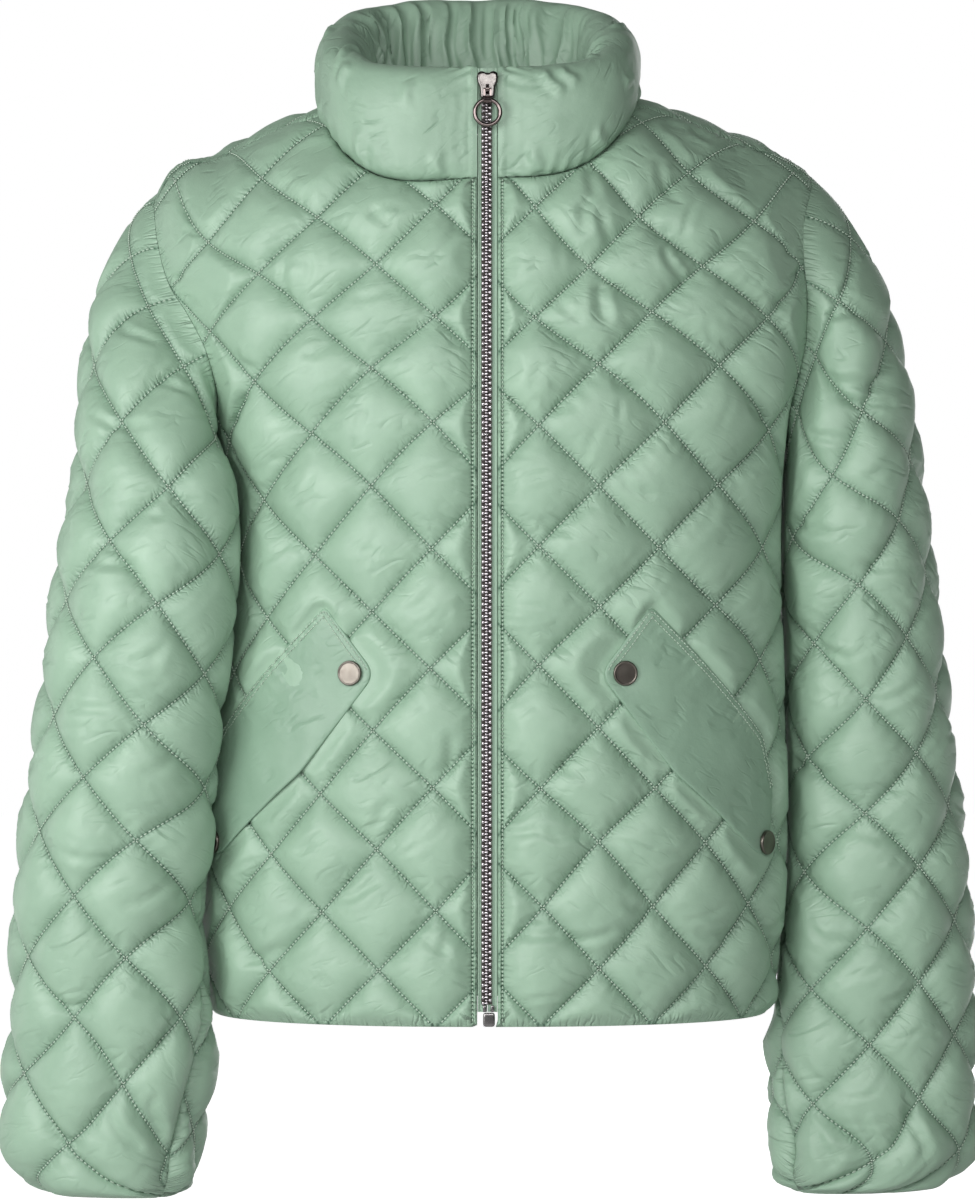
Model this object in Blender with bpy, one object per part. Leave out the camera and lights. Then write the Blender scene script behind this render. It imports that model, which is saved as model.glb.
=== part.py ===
"""Cropped quilted jacket in its worn, hollow form.

Tables and sizes are in millimetres and the finished meshes in metres (MM).  Z is up, the fronts face
-Y and the wearer's left is +X.  The origin lies between the shoulders, in the hollow of the neck.

The torso and each sleeve are smooth form sheets: grids of points over flat cloth coordinates (s across
the cloth, t up it).  A panel is an outline in those coordinates.  Its outer face is quilted by raising
the points inside each stitched diamond, its inner face stays plain, and panels meet at shared seams.
"""
import math
from typing import NamedTuple

import bmesh
import bpy
import numpy as np
from mathutils import Vector
from mathutils.geometry import delaunay_2d_cdt
from mathutils.kdtree import KDTree

MM = 0.001

# Cloth and quilting
WALL = 3.0                  # stitched thickness of shell, wadding and lining
SEAM_GAP = 0.3              # between neighbouring pieces
DIAMOND_HALF_WIDTH = 34.0   # quilting, half diagonal across
DIAMOND_HALF_HEIGHT = 35.5  # quilting, half diagonal up
PUFF = 8.5                  # height of a diamond's middle over its stitch lines
PUFF_FULLNESS = 0.6         # exponent of the pillow profile, lower is squarer
PUFF_RISE = 0.62            # steepest rise of a pillow beside a seam
ROOM_SHARE = 0.42           # share of the room to a facing cloth that a pillow may fill
SEAM_STEP = 15.0            # spacing of points along seams and edges
EDGE_CLEAR = 7.0            # quilt points nearer to an edge are left out
INNER_EDGE_CLEAR = 12.0     # the same on the inner face

# Torso
HEM_Z = -551.0
CHEST_Z = -110.0
FRONT_POWER = 1.9           # exponent of the rise from chest to shoulder, in front
BACK_POWER = 2.7            # the same behind
RIDGE_Y = 4.0
FRONT_EDGE = 6.2            # folded front edge, from the middle of the zip
FRONT_STITCH = 8.9          # top stitching beside the zip


class TorsoRing(NamedTuple):
    """Horizontal section: half widths to the wearer's right and left, depths and superellipse power."""

    z: float
    right: float
    left: float
    front: float
    back: float
    power: float


TORSO_RINGS = (
    TorsoRing(-551, 170, 173, 112, 104, 2.3),
    TorsoRing(-508, 174, 176, 113, 106, 2.3),
    TorsoRing(-456, 174, 180, 114, 108, 2.3),
    TorsoRing(-400, 171, 180, 115, 109, 2.3),
    TorsoRing(-340, 166, 178, 116, 110, 2.3),
    TorsoRing(-290, 161, 177, 117, 110, 2.3),
    TorsoRing(-250, 160, 178, 118, 110, 2.3),
    TorsoRing(-215, 164, 181, 119, 111, 2.3),
    TorsoRing(-185, 176, 190, 119, 112, 2.25),
    TorsoRing(-150, 202, 206, 118, 112, 2.12),
    TorsoRing(-110, 218, 216, 116, 112, 2.0),
)


class RidgePoint(NamedTuple):
    """Highest line of the shoulders."""

    x: float
    z: float


SHOULDER_RIDGE = (
    RidgePoint(-222, -92), RidgePoint(-214, -66), RidgePoint(-207, -50), RidgePoint(-200, -38), RidgePoint(-163, -21),
    RidgePoint(-105, 4), RidgePoint(-60, 12), RidgePoint(0, 17), RidgePoint(60, 15), RidgePoint(104, 7),
    RidgePoint(150, -11), RidgePoint(186, -25), RidgePoint(199, -34), RidgePoint(207, -47),
    RidgePoint(213, -64), RidgePoint(221, -92),
)


class SidePoint(NamedTuple):
    """Point of an armhole seam in side view."""

    y: float
    z: float


ARMPIT_Z = -200.0
ARMHOLE_FRONT = {
    "right": (SidePoint(0, -200), SidePoint(-22, -198), SidePoint(-42, -190), SidePoint(-60, -174),
              SidePoint(-68, -150), SidePoint(-62, -125), SidePoint(-52, -104), SidePoint(-40, -82)),
    "left": (SidePoint(0, -200), SidePoint(-18, -197), SidePoint(-33, -186), SidePoint(-42, -166),
             SidePoint(-46, -142), SidePoint(-49, -118), SidePoint(-51, -96), SidePoint(-46, -74)),
}
ARMHOLE_BACK = (SidePoint(0, -200), SidePoint(22, -198), SidePoint(42, -188), SidePoint(57, -168),
                SidePoint(62, -142), SidePoint(58, -115), SidePoint(50, -90))
SHOULDER_TIP = {"right": (-206.0, -14.0), "left": (200.0, -16.0)}   # plan position of the seam's end
SHOULDER_NECK_Y = -26.0     # the shoulder seam lies in front of the ridge

# Neck seam, in plan
NECK_CENTRE = (-6.0, -9.0)
NECK_HALF_WIDTH = 92.0
NECK_FRONT = 88.0
NECK_BACK = 86.0
NECK_POWER_FRONT = 3.2
NECK_POWER_BACK = 2.6


class SleeveRing(NamedTuple):
    """Horizontal section of a sleeve: middle, half widths along X and Y, and turn of the seam."""

    z: float
    x: float
    y: float
    half_x: float
    half_y: float
    turn: float


SLEEVE_RINGS = {
    "right": (
        SleeveRing(-658, -224.0, -50, 37.0, 31, 44),
        SleeveRing(-650, -229.0, -51, 47.0, 36, 43),
        SleeveRing(-636, -233.0, -51, 53.0, 39, 41),
        SleeveRing(-610, -232.5, -52, 55.5, 42, 36),
        SleeveRing(-550, -227.0, -55, 55.0, 46, 18),
        SleeveRing(-490, -229.0, -58, 52.0, 50, 4),
        SleeveRing(-430, -222.0, -60, 52.0, 54, 0),
        SleeveRing(-370, -215.5, -60, 50.0, 58, 0),
        SleeveRing(-310, -207.0, -58, 50.5, 62, 0),
        SleeveRing(-250, -201.0, -50, 48.0, 64, 0),
        SleeveRing(-215, -198.0, -42, 43.0, 66, 0),
    ),
    "left": (
        SleeveRing(-662, 227.0, 2, 40.0, 32, 30),
        SleeveRing(-653, 233.0, 2, 51.0, 37, 30),
        SleeveRing(-638, 239.5, 3, 56.5, 41, 30),
        SleeveRing(-610, 237.5, 4, 58.0, 43, 26),
        SleeveRing(-550, 238.5, 6, 57.0, 47, 14),
        SleeveRing(-490, 239.0, 8, 52.0, 52, 4),
        SleeveRing(-430, 237.5, 10, 48.5, 56, 0),
        SleeveRing(-370, 234.0, 10, 45.5, 60, 0),
        SleeveRing(-310, 231.0, 10, 43.5, 64, 0),
        SleeveRing(-250, 225.0, 8, 40.0, 68, 0),
        SleeveRing(-215, 222.0, 6, 35.0, 70, 0),
    ),
}
SLEEVE_POWER = 2.2
BICEP_Z = -232.0
CAP_PULL = 0.72             # tangent length of the cap's curves, as a share of their chord
SIDE_CLEAR = 5.0            # a sleeve's form stays this far outside the torso's
FLAP_ROOM = 8.5             # and further where the end of a flap and its snap lie under it
FLAP_END_Z = -425.0
FLAP_END_REACH = 62.0


class QuiltPhase(NamedTuple):
    """Cloth coordinates of one stitch crossing."""

    s: float
    t: float


QUILT = {
    "front": QuiltPhase(31.5, 70.0),
    "back": QuiltPhase(0.0, 70.0),
    "sleeve_right": QuiltPhase(101.0, 74.0),
    "sleeve_left": QuiltPhase(-94.0, 26.0),
}

# Collar
COLLAR_STEPS = 72
COLLAR_RIM_Z = 21.0         # rim at the front
COLLAR_RIM_TILT = 0.372     # rise of the rim per millimetre towards the back
COLLAR_THICK_AT_ZIP = 0.28  # share of the full thickness at the front edges
COLLAR_FILL_LENGTH = 34.0   # length over which the stuffing fills out from the zip


class Station(NamedTuple):
    """Point of the collar's section: outwards from the neck seam, and share of the height."""

    out: float
    up: float


COLLAR_SECTION = (
    Station(-0.5, 0.006), Station(6.5, 0.14), Station(9.5, 0.38), Station(8.5, 0.66), Station(3.0, 0.90),
    Station(-6.5, 1.0), Station(-15.0, 0.97), Station(-19.5, 0.84), Station(-19.5, 0.45),
    Station(-18.0, 0.05),
)
FACING_SECTION = (
    Station(-23.5, 0.82), Station(-27.5, 0.60), Station(-28.0, 0.34), Station(-25.5, 0.06),
    Station(-18.9, 0.05), Station(-20.4, 0.45), Station(-20.4, 0.80),
)
GATHERED_STATIONS = (1, 2, 3)


class Gather(NamedTuple):
    """Fold in the facing: place along the collar from the right front edge, depth and half width."""

    place: float
    depth: float
    half_width: float


GATHERS = (
    Gather(120, 2.0, 10), Gather(176, 3.2, 9), Gather(208, 4.6, 11), Gather(237, 3.4, 8),
    Gather(262, 5.0, 10), Gather(289, 3.0, 9), Gather(315, 4.4, 10), Gather(344, 3.0, 9),
    Gather(372, 3.8, 11), Gather(430, 2.4, 10),
)

# Pocket flaps, outlines in cloth coordinates of the front, distances from the centre front
FLAP_CORNERS = ((97.0, 250.0), (179.0, 171.0), (190.0, 140.0), (183.0, 90.0), (112.0, 149.0), (66.0, 209.0))
FLAP_ROUNDING = (4.0, 10.0, 16.0, 14.0, 60.0, 12.0)
FLAP_BED = 2.8              # quilting is pressed down to this under a flap
FLAP_LIFT = 3.3
FLAP_THICKNESS = 2.4
FLAP_RIM = 3.0              # the pressed quilting reaches this far past the flap

# Snaps, in cloth coordinates of the front
SNAP_PLACES = ((81.0, 209.5), (181.0, 106.0))
SNAP_PROFILE = ((7.5, 0.0), (7.5, 1.7), (6.7, 2.6), (5.5, 2.0))   # radius, height
SNAP_LIFT = 0.4
SNAP_SIDES = 20

# Zip
TAPE_HALF_WIDTH = 5.9
TAPE_THICKNESS = 0.9
TAPE_DEPTH = 1.4            # top of the tape under the front edges' face
CHAIN_HALF_WIDTH = 3.0
CHAIN_RISE = 1.2            # top of the teeth over the front edges' face
ZIP_STEP = 22.0
ZIP_TOP_Z = 20.5
ZIP_COLLAR_BULGE = 2.0      # the zip follows the collar's front this far out
BOX_CENTRE_X = 0.9
BOX_SIZE = (7.2, 3.6, 8.4)
PIN_SIZE = (2.3, 2.2, 4.2)
PIN_X = (-1.7, 2.9)
SLIDER_BOTTOM_Z = 1.5
SLIDER_HEIGHT = 16.5
SLIDER_LIFT = 1.6           # gap from the front edges' face to the slider
SLIDER_DEPTH = 3.2
SLIDER_HALF_TOP = 6.5
SLIDER_HALF_BOTTOM = 4.2
BRIDGE_OUTER = (4.4, 3.2)   # depth and half height of the arch
BRIDGE_INNER = (3.65, 2.3)
BRIDGE_HALF_WIDTH = 1.0
PULL_AXIS_Z = 7.0
PULL_AXIS_LIFT = 2.7        # axis of the link over the slider's face
PULL_BAR_RADIUS = 0.7
PULL_ARM = (1.0, 1.3)       # width and thickness
PULL_HALF_WIDTH = 2.4
PULL_LENGTH = 6.4           # from the link's axis to the ring's
BARREL_RADIUS = 2.4
BARREL_HOLE = 1.85
RING_RADIUS = 7.6
RING_WIRE = 1.18
RING_SIDES = (28, 8)

SIDES = {"right": -1.0, "left": 1.0}
SHEET_STEP = 4.0

CLOTH_COLOUR = (150, 187, 162)
FACING_COLOUR = (128, 162, 138)
TAPE_COLOUR = (156, 180, 158)
NICKEL_COLOUR = (196, 196, 198)
SNAP_COLOUR = (206, 202, 190)


# ---------------------------------------------------------------- curves and tables

def column(table, name):
    """One named column of a table as an array."""
    return np.array([getattr(row, name) for row in table], dtype=float)


def smooth(x, xs, ys):
    """Cubic Hermite curve through a table's points, held level beyond its ends."""
    x = np.clip(x, xs[0], xs[-1])
    slopes = np.gradient(ys, xs)
    i = np.clip(np.searchsorted(xs, x, side="right") - 1, 0, len(xs) - 2)
    step = xs[i + 1] - xs[i]
    u = (x - xs[i]) / step
    rise = ys[i] * (1 + 2 * u) * (1 - u) ** 2 + ys[i + 1] * u * u * (3 - 2 * u)
    return rise + step * (slopes[i] * u * (1 - u) ** 2 - slopes[i + 1] * u * u * (1 - u))


def along(points):
    """Length along a polyline at each of its points."""
    steps = np.linalg.norm(np.diff(points, axis=0), axis=1)
    return np.concatenate(([0.0], np.cumsum(steps)))


def resample(points, count):
    """The same polyline with evenly spaced points."""
    length = along(points)
    places = np.linspace(0, length[-1], count)
    return np.stack([np.interp(places, length, points[:, k]) for k in range(points.shape[1])], axis=1)


def evenly(points, step=SEAM_STEP):
    """A polyline resampled at about the given spacing."""
    return resample(points, max(2, round(along(points)[-1] / step) + 1))


def unit(vectors):
    """Vectors of length one."""
    return vectors / np.maximum(np.linalg.norm(vectors, axis=-1, keepdims=True), 1e-9)


def ease(x):
    """Smooth step from 0 to 1."""
    x = np.clip(x, 0, 1)
    return x * x * (3 - 2 * x)


# ---------------------------------------------------------------- form sheets

class Sheet:
    """Smooth surface over cloth coordinates, kept as a grid of points."""

    def __init__(self, s_values, t_values, points, doubled=None):
        self.s = s_values
        self.t = t_values
        self.points = points
        self.doubled = doubled      # True where a place is repeated, beyond the side line

    def at(self, s, t):
        """Points of the surface at cloth coordinates."""
        s_place = np.clip((np.asarray(s, float) - self.s[0]) / (self.s[1] - self.s[0]), 0, len(self.s) - 1.001)
        t_place = np.clip((np.asarray(t, float) - self.t[0]) / (self.t[1] - self.t[0]), 0, len(self.t) - 1.001)
        i, j = t_place.astype(int), s_place.astype(int)
        v, u = (t_place - i)[..., None], (s_place - j)[..., None]
        low = self.points[i, j] * (1 - u) + self.points[i, j + 1] * u
        high = self.points[i + 1, j] * (1 - u) + self.points[i + 1, j + 1] * u
        return low * (1 - v) + high * v

    def normal(self, s, t, reach=3.0):
        """Outward normals, from differences over a short reach."""
        s, t = np.asarray(s, float), np.asarray(t, float)
        across = self.at(s + reach, t) - self.at(s - reach, t)
        up = self.at(s, t + reach) - self.at(s, t - reach)
        return unit(np.cross(across, up))

    def find(self, axes, target, near=None):
        """Cloth coordinates where two of the coordinates reach a target."""
        flat = np.linalg.norm(self.points[..., axes] - np.asarray(target), axis=2)
        if near is not None:
            flat = flat + near
        i, j = np.unravel_index(np.argmin(flat), flat.shape)
        place = np.array([self.s[j], self.t[i]])
        for _ in range(12):
            here = self.at(place[0], place[1])
            ds = (self.at(place[0] + 1, place[1]) - self.at(place[0] - 1, place[1]))[list(axes)] / 2
            dt = (self.at(place[0], place[1] + 1) - self.at(place[0], place[1] - 1))[list(axes)] / 2
            step = np.linalg.lstsq(np.stack([ds, dt], axis=1), target - here[list(axes)], rcond=0.02)[0]
            place = place + np.clip(step, -SHEET_STEP, SHEET_STEP)
        return place


def torso_half_ring(z, side, samples=240):
    """Outline at height z from the centre front round one side to the centre back."""
    heights = column(TORSO_RINGS, "z")
    width = smooth(z, heights, column(TORSO_RINGS, side))
    front = smooth(z, heights, column(TORSO_RINGS, "front"))
    back = smooth(z, heights, column(TORSO_RINGS, "back"))
    power = smooth(z, heights, column(TORSO_RINGS, "power"))
    turn = np.linspace(0, math.pi, samples)
    x = SIDES[side] * width * np.abs(np.sin(turn)) ** (2 / power)
    y = np.where(turn < math.pi / 2, -front, back) * np.abs(np.cos(turn)) ** (2 / power)
    return np.stack([x, y, np.full(samples, float(z))], axis=1)


def shoulder_hoop(x, side, from_front, samples=160):
    """Curve over the shoulder in a plane of constant x, from one chest line to the other."""
    ring = torso_half_ring(CHEST_Z, side)
    width = abs(ring[:, 0]).max()
    power = TORSO_RINGS[-1].power
    share = max(0.0, 1 - min(1.0, abs(x) / width) ** power) ** (1 / power)
    front, back = ring[0, 1] * share, ring[-1, 1] * share
    top = float(smooth(x, column(SHOULDER_RIDGE, "x"), column(SHOULDER_RIDGE, "z")))
    turn = np.linspace(0, math.pi, samples)
    power = np.where(turn < math.pi / 2, FRONT_POWER, BACK_POWER)
    rise = np.abs(np.sin(turn)) ** (2 / power)
    reach = np.abs(np.cos(turn)) ** (2 / power)
    y = RIDGE_Y + np.where(turn < math.pi / 2, front - RIDGE_Y, back - RIDGE_Y) * reach
    hoop = np.stack([np.full(samples, float(x)), y, CHEST_Z + (top - CHEST_Z) * rise], axis=1)
    return hoop if from_front else hoop[::-1]


def torso_sheet(from_front):
    """Sheet of the torso's front or back, with s measured from its centre line."""
    s_side = np.arange(0, 330, SHEET_STEP)
    t_rings = np.arange(0, CHEST_Z - HEM_Z + 0.5, SHEET_STEP)
    t_rings = t_rings * (CHEST_Z - HEM_Z) / t_rings[-1]
    t_step = t_rings[1]
    t_over = np.arange(1, 70) * t_step
    halves = {}
    for side in SIDES:
        rows = []
        for z in HEM_Z + t_rings:
            ring = torso_half_ring(z, side)
            ring = ring if from_front else ring[::-1]
            length = along(ring)
            rows.append(np.stack([np.interp(s_side, length, ring[:, k]) for k in range(3)], axis=1))
        lower = np.array(rows)
        columns = []
        for x in lower[-1, :, 0]:
            hoop = shoulder_hoop(x, side, from_front)
            length = along(hoop)
            columns.append(np.stack([np.interp(t_over, length, hoop[:, k]) for k in range(3)], axis=1))
        upper = np.array(columns).transpose(1, 0, 2)
        halves[side] = np.concatenate([lower, upper])
    first, second = ("right", "left") if from_front else ("left", "right")
    points = np.concatenate([halves[first][:, :0:-1], halves[second]], axis=1)
    s_values = np.concatenate([-s_side[:0:-1], s_side])
    t_values = np.concatenate([t_rings, t_rings[-1] + t_over])
    chest = points[len(t_rings) - 1, :, 1]
    past_side = chest > 0 if from_front else chest < 0
    return Sheet(s_values, t_values, points, (t_values[:, None] > t_rings[-1]) & past_side[None, :])


def torso_width_share(points, side):
    """Superellipse radius of points about the torso's sections, 1 on the form itself."""
    heights = column(TORSO_RINGS, "z")
    width = smooth(points[..., 2], heights, column(TORSO_RINGS, side))
    front = smooth(points[..., 2], heights, column(TORSO_RINGS, "front"))
    back = smooth(points[..., 2], heights, column(TORSO_RINGS, "back"))
    power = smooth(points[..., 2], heights, column(TORSO_RINGS, "power"))
    depth = np.where(points[..., 1] < 0, front, back)
    total = np.abs(points[..., 0] / width) ** power + np.abs(points[..., 1] / depth) ** power
    return total ** (1 / power), width


def clear_of_torso(points, side):
    """Push the points of a sleeve out of the torso, below the armhole."""
    share, width = torso_width_share(points, side)
    beside_flap = np.exp(-((points[..., 2] - FLAP_END_Z) / FLAP_END_REACH) ** 4)
    beside_flap = beside_flap * ease((-points[..., 1] - 15) / 25)
    wanted = 1 + (SIDE_CLEAR + FLAP_ROOM * beside_flap) / width
    below = ease((ARMPIT_Z + 8 - points[..., 2]) / 30)
    push = np.maximum(1, wanted / np.maximum(share, 0.2))
    push = 1 + (push - 1) * below
    moved = points.copy()
    moved[..., :2] = points[..., :2] * push[..., None]
    return moved


def sleeve_ring(z, side, samples=361):
    """Section of a sleeve from its underarm seam round to it again, to the right seen from outside."""
    table = SLEEVE_RINGS[side]
    heights = column(table, "z")
    row = {name: float(smooth(z, heights, column(table, name))) for name in SleeveRing._fields[1:]}
    start = math.radians(180 - row["turn"])
    turn = np.linspace(start - math.tau, start, samples)
    x = np.sign(np.cos(turn)) * np.abs(np.cos(turn)) ** (2 / SLEEVE_POWER) * row["half_x"]
    y = -np.sign(np.sin(turn)) * np.abs(np.sin(turn)) ** (2 / SLEEVE_POWER) * row["half_y"]
    ring = np.stack([row["x"] + SIDES[side] * x, row["y"] + y, np.full(samples, float(z))], axis=1)
    ring = ring if side == "right" else ring[::-1]
    return clear_of_torso(ring, side)


def arm_column(foot, seam, side):
    """Curve of the sleeve's cap from a point of the bicep ring up to the armhole."""
    inward = -SIDES[side]
    chord = np.linalg.norm(seam - foot)
    low = np.clip((seam[2] - ARMPIT_Z) / 120, 0, 1)
    arrive = unit(np.array([inward * (0.35 * ease(low / 0.15) + 0.5 * low), 0.0, 0.9 - 0.25 * low]))
    pull = chord * CAP_PULL
    v = np.linspace(0, 1, 40)[:, None]
    start, end = np.array([0.0, 0.0, 1.0]) * pull, arrive * pull
    return (foot * (1 + 2 * v) * (1 - v) ** 2 + seam * v * v * (3 - 2 * v)
            + start * v * (1 - v) ** 2 - end * v * v * (1 - v))


def sleeve_sheet(side, armhole):
    """Sheet of a sleeve and the cloth coordinates of its armhole seam."""
    table = SLEEVE_RINGS[side]
    cuff_z = table[0].z
    t_rings = np.arange(0, BICEP_Z - cuff_z + 0.5, SHEET_STEP)
    t_rings = t_rings * (BICEP_Z - cuff_z) / t_rings[-1]
    t_step = t_rings[1]
    rings = [sleeve_ring(z, side) for z in cuff_z + t_rings]
    girths = np.array([along(ring)[-1] for ring in rings])
    reach = girths.max() / 2 + 2 * SHEET_STEP
    s_values = np.arange(-math.ceil(reach / SHEET_STEP), math.ceil(reach / SHEET_STEP) + 1) * SHEET_STEP
    rows = []
    for ring, girth in zip(rings, girths):
        place = np.clip(s_values + girth / 2, 0, girth)
        length = along(ring)
        rows.append(np.stack([np.interp(place, length, ring[:, k]) for k in range(3)], axis=1))
    lower = np.array(rows)
    bicep = girths[-1]
    loop_length = along(armhole)
    t_over = np.arange(1, 60) * t_step
    columns = []
    for s, foot in zip(s_values, lower[-1]):
        place = np.clip(s / bicep + 0.5, 0, 1) * loop_length[-1]
        seam = np.array([np.interp(place, loop_length, armhole[:, k]) for k in range(3)])
        curve = arm_column(foot, seam, side)
        length = along(curve)
        beyond = np.maximum(t_over - length[-1], 0)[:, None] * unit(curve[-1] - curve[-3])
        columns.append(np.stack([np.interp(t_over, length, curve[:, k]) for k in range(3)], axis=1) + beyond)
    upper = np.array(columns).transpose(1, 0, 2)
    points = clear_of_torso(np.concatenate([lower, upper]), side)
    sheet = Sheet(s_values, np.concatenate([t_rings, t_rings[-1] + t_over]), points)
    seam_st = []
    ring = rings[-1]
    for place, seam in zip(loop_length / loop_length[-1], armhole):
        length = along(ring)
        foot = np.array([np.interp(place * bicep, length, ring[:, k]) for k in range(3)])
        seam_st.append((place * bicep - bicep / 2, t_rings[-1] + along(arm_column(foot, seam, side))[-1]))
    return sheet, np.array(seam_st), girths, t_rings


# ---------------------------------------------------------------- panel outlines

class Panel:
    """A flat outline on a sheet, with the shared seam points in space."""

    def __init__(self, name, sheet, phase, edges):
        self.name = name
        self.sheet = sheet
        self.phase = phase
        self.flat = np.concatenate([flat[:-1] for flat, _ in edges])
        self.space = np.concatenate([space[:-1] for _, space in edges])

    def own_normals(self):
        """The sheet's normals at the outline."""
        return self.sheet.normal(self.flat[:, 0], self.flat[:, 1])


def seam_key(point):
    """Rounded place of a seam point, the same for all pieces that share it."""
    return tuple(int(round(value * 20)) for value in point)


def shared_normals(panels):
    """Mean normal of all the cloth that meets at each seam point."""
    totals = {}
    for panel in panels:
        for point, normal in zip(panel.space, panel.own_normals()):
            totals[seam_key(point)] = totals.get(seam_key(point), 0) + normal
    return {key: total / np.linalg.norm(total) for key, total in totals.items()}


def edge_distance(points, outline):
    """Distance of flat points from a closed outline."""
    start, end = outline, np.roll(outline, -1, axis=0)
    direction = end - start
    length = np.maximum((direction ** 2).sum(axis=1), 1e-9)
    offset = points[:, None] - start[None]
    share = np.clip((offset * direction).sum(axis=2) / length, 0, 1)
    return np.linalg.norm(offset - share[..., None] * direction, axis=2).min(axis=1)


def inside(points, outline):
    """True for the flat points inside a closed outline."""
    x, y = points[:, 0][:, None], points[:, 1][:, None]
    x0, y0 = outline[:, 0], outline[:, 1]
    x1, y1 = np.roll(x0, -1), np.roll(y0, -1)
    spans = (y0 > y) != (y1 > y)
    cross = x0 + (y - y0) * (x1 - x0) / np.where(y1 == y0, 1e-9, y1 - y0)
    return (spans & (x < cross)).sum(axis=1) % 2 == 1


def rounded(corners, radii, steps=4):
    """Closed outline with rounded corners."""
    corners = np.array(corners)
    outline = []
    for k, corner in enumerate(corners):
        before, after = unit(corners[k - 1] - corner), unit(corners[(k + 1) % len(corners)] - corner)
        half = math.acos(np.clip(before @ after, -1, 1)) / 2
        cut = min(radii[k] / math.tan(half), 0.45 * np.linalg.norm(corners[k - 1] - corner),
                  0.45 * np.linalg.norm(corners[(k + 1) % len(corners)] - corner))
        for u in np.linspace(0, 1, steps):
            a, b = corner + before * cut * (1 - u), corner + after * cut * u
            outline.append(a * (1 - u) + b * u)
    return np.array(outline)


def torso_panels(front, back):
    """Outlines of the two fronts and the back, and the armhole loops in space."""
    edges = {"right": {}, "left": {}}
    loops = {}
    for side, sign in SIDES.items():
        part = edges[side]
        t_pit = ARMPIT_Z - HEM_Z
        t_seam = np.linspace(0, t_pit, round(t_pit / SEAM_STEP) + 1)
        rings = [torso_half_ring(HEM_Z + t, side) for t in t_seam]
        lengths = [along(ring) for ring in rings]
        quarter = np.array([np.interp(0, ring[:, 1], length) for ring, length in zip(rings, lengths)])
        total = np.array([length[-1] for length in lengths])
        side_front = np.stack([sign * quarter, t_seam], axis=1)
        side_back = np.stack([-sign * (total - quarter), t_seam], axis=1)
        side_space = front.at(side_front[:, 0], side_front[:, 1])
        side_space[:, 1] = 0.0
        part["side"] = (side_front, side_back, side_space)

        tip = front.find((0, 1), np.array(SHOULDER_TIP[side]), near=hide_other(front, sign, upper=True))
        part["arm_front"] = arm_edge(front, ARMHOLE_FRONT[side], side_front[-1], tip, sign)
        tip_space = front.at(*tip)
        tip_back = back.find((1, 2), tip_space[1:], near=hide_other(back, -sign, upper=True, target=tip_space))
        part["arm_back"] = arm_edge(back, ARMHOLE_BACK, side_back[-1], tip_back, -sign)

        neck_x = NECK_CENTRE[0] + sign * NECK_HALF_WIDTH
        xs = np.linspace(SHOULDER_TIP[side][0], neck_x, 9)
        ys = np.linspace(SHOULDER_TIP[side][1], SHOULDER_NECK_Y, 9)
        plan = np.stack([xs, ys], axis=1)
        shoulder_front = np.array([front.find((0, 1), p, hide_other(front, sign, upper=True)) for p in plan])
        shoulder_space = front.at(shoulder_front[:, 0], shoulder_front[:, 1])
        shoulder_back = np.array([over_the_ridge(back, p, -sign) for p in shoulder_space])
        part["shoulder"] = (shoulder_front, shoulder_back, shoulder_space)

        neck_plan = neck_curve(neck_x, SHOULDER_NECK_Y, sign)
        neck = np.array([front.find((0, 1), p, hide_other(front, sign, upper=True)) for p in neck_plan])
        part["neck"] = (neck, front.at(neck[:, 0], neck[:, 1]))

        arm_front_space = front.at(part["arm_front"][:, 0], part["arm_front"][:, 1])
        arm_back_space = back.at(part["arm_back"][:, 0], part["arm_back"][:, 1])
        arm_front_space[0] = arm_back_space[0] = side_space[-1]
        arm_front_space[-1] = arm_back_space[-1] = shoulder_space[0]
        part["arm_front_space"], part["arm_back_space"] = arm_front_space, arm_back_space
        loop = np.concatenate([arm_back_space, arm_front_space[-2::-1]])
        loops[side] = loop if side == "right" else loop[::-1]
    panels = {f"front_{side}": front_panel(front, side, edges[side]) for side in SIDES}
    panels["back"] = back_panel(back, edges)
    return panels, loops, edges


def hide_other(sheet, sign, upper, target=None):
    """Penalty that keeps a search on one side of the sheet and near a point."""
    penalty = np.where(sheet.s[None, :] * sign < 2, 1e4, 0.0) + np.where(sheet.doubled, 1e4, 0.0)
    if upper:
        penalty = penalty + np.where(sheet.t[:, None] < CHEST_Z - HEM_Z, 1e4, 0.0)
    if target is not None:
        penalty = penalty + np.abs(sheet.points[..., 0] - target[0])
    return penalty


def over_the_ridge(back, point, sign):
    """Cloth coordinates on the back sheet of a point in front of the shoulder ridge."""
    far = np.linalg.norm(back.points - point, axis=2) + hide_other(back, sign, upper=True)
    i, j = np.unravel_index(np.argmin(far), far.shape)
    place = np.array([back.s[j], back.t[i]])
    for _ in range(12):
        ds = (back.at(place[0] + 1, place[1]) - back.at(place[0] - 1, place[1])) / 2
        dt = (back.at(place[0], place[1] + 1) - back.at(place[0], place[1] - 1)) / 2
        step = np.linalg.lstsq(np.stack([ds, dt], axis=1), point - back.at(*place), rcond=0.02)[0]
        place = place + np.clip(step, -SHEET_STEP, SHEET_STEP)
    return place


def arm_edge(sheet, table, pit, tip, sign):
    """Armhole edge in cloth coordinates from the armpit to the shoulder."""
    places = [pit]
    for point in table[1:]:
        near = hide_other(sheet, sign, upper=False)
        near = near + np.where(np.abs(sheet.points[..., 0]) < 140, 1e4, 0.0)
        near = near + np.where(sheet.points[..., 1] * point.y < 0, 1e4, 0.0)
        places.append(sheet.find((1, 2), np.array([point.y, point.z]), near))
    places.append(tip)
    places = np.array(places)
    length = along(places)
    fine = np.linspace(0, length[-1], 80)
    curve = np.stack([smooth(fine, length, places[:, k]) for k in range(2)], axis=1)
    return evenly(curve)


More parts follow.
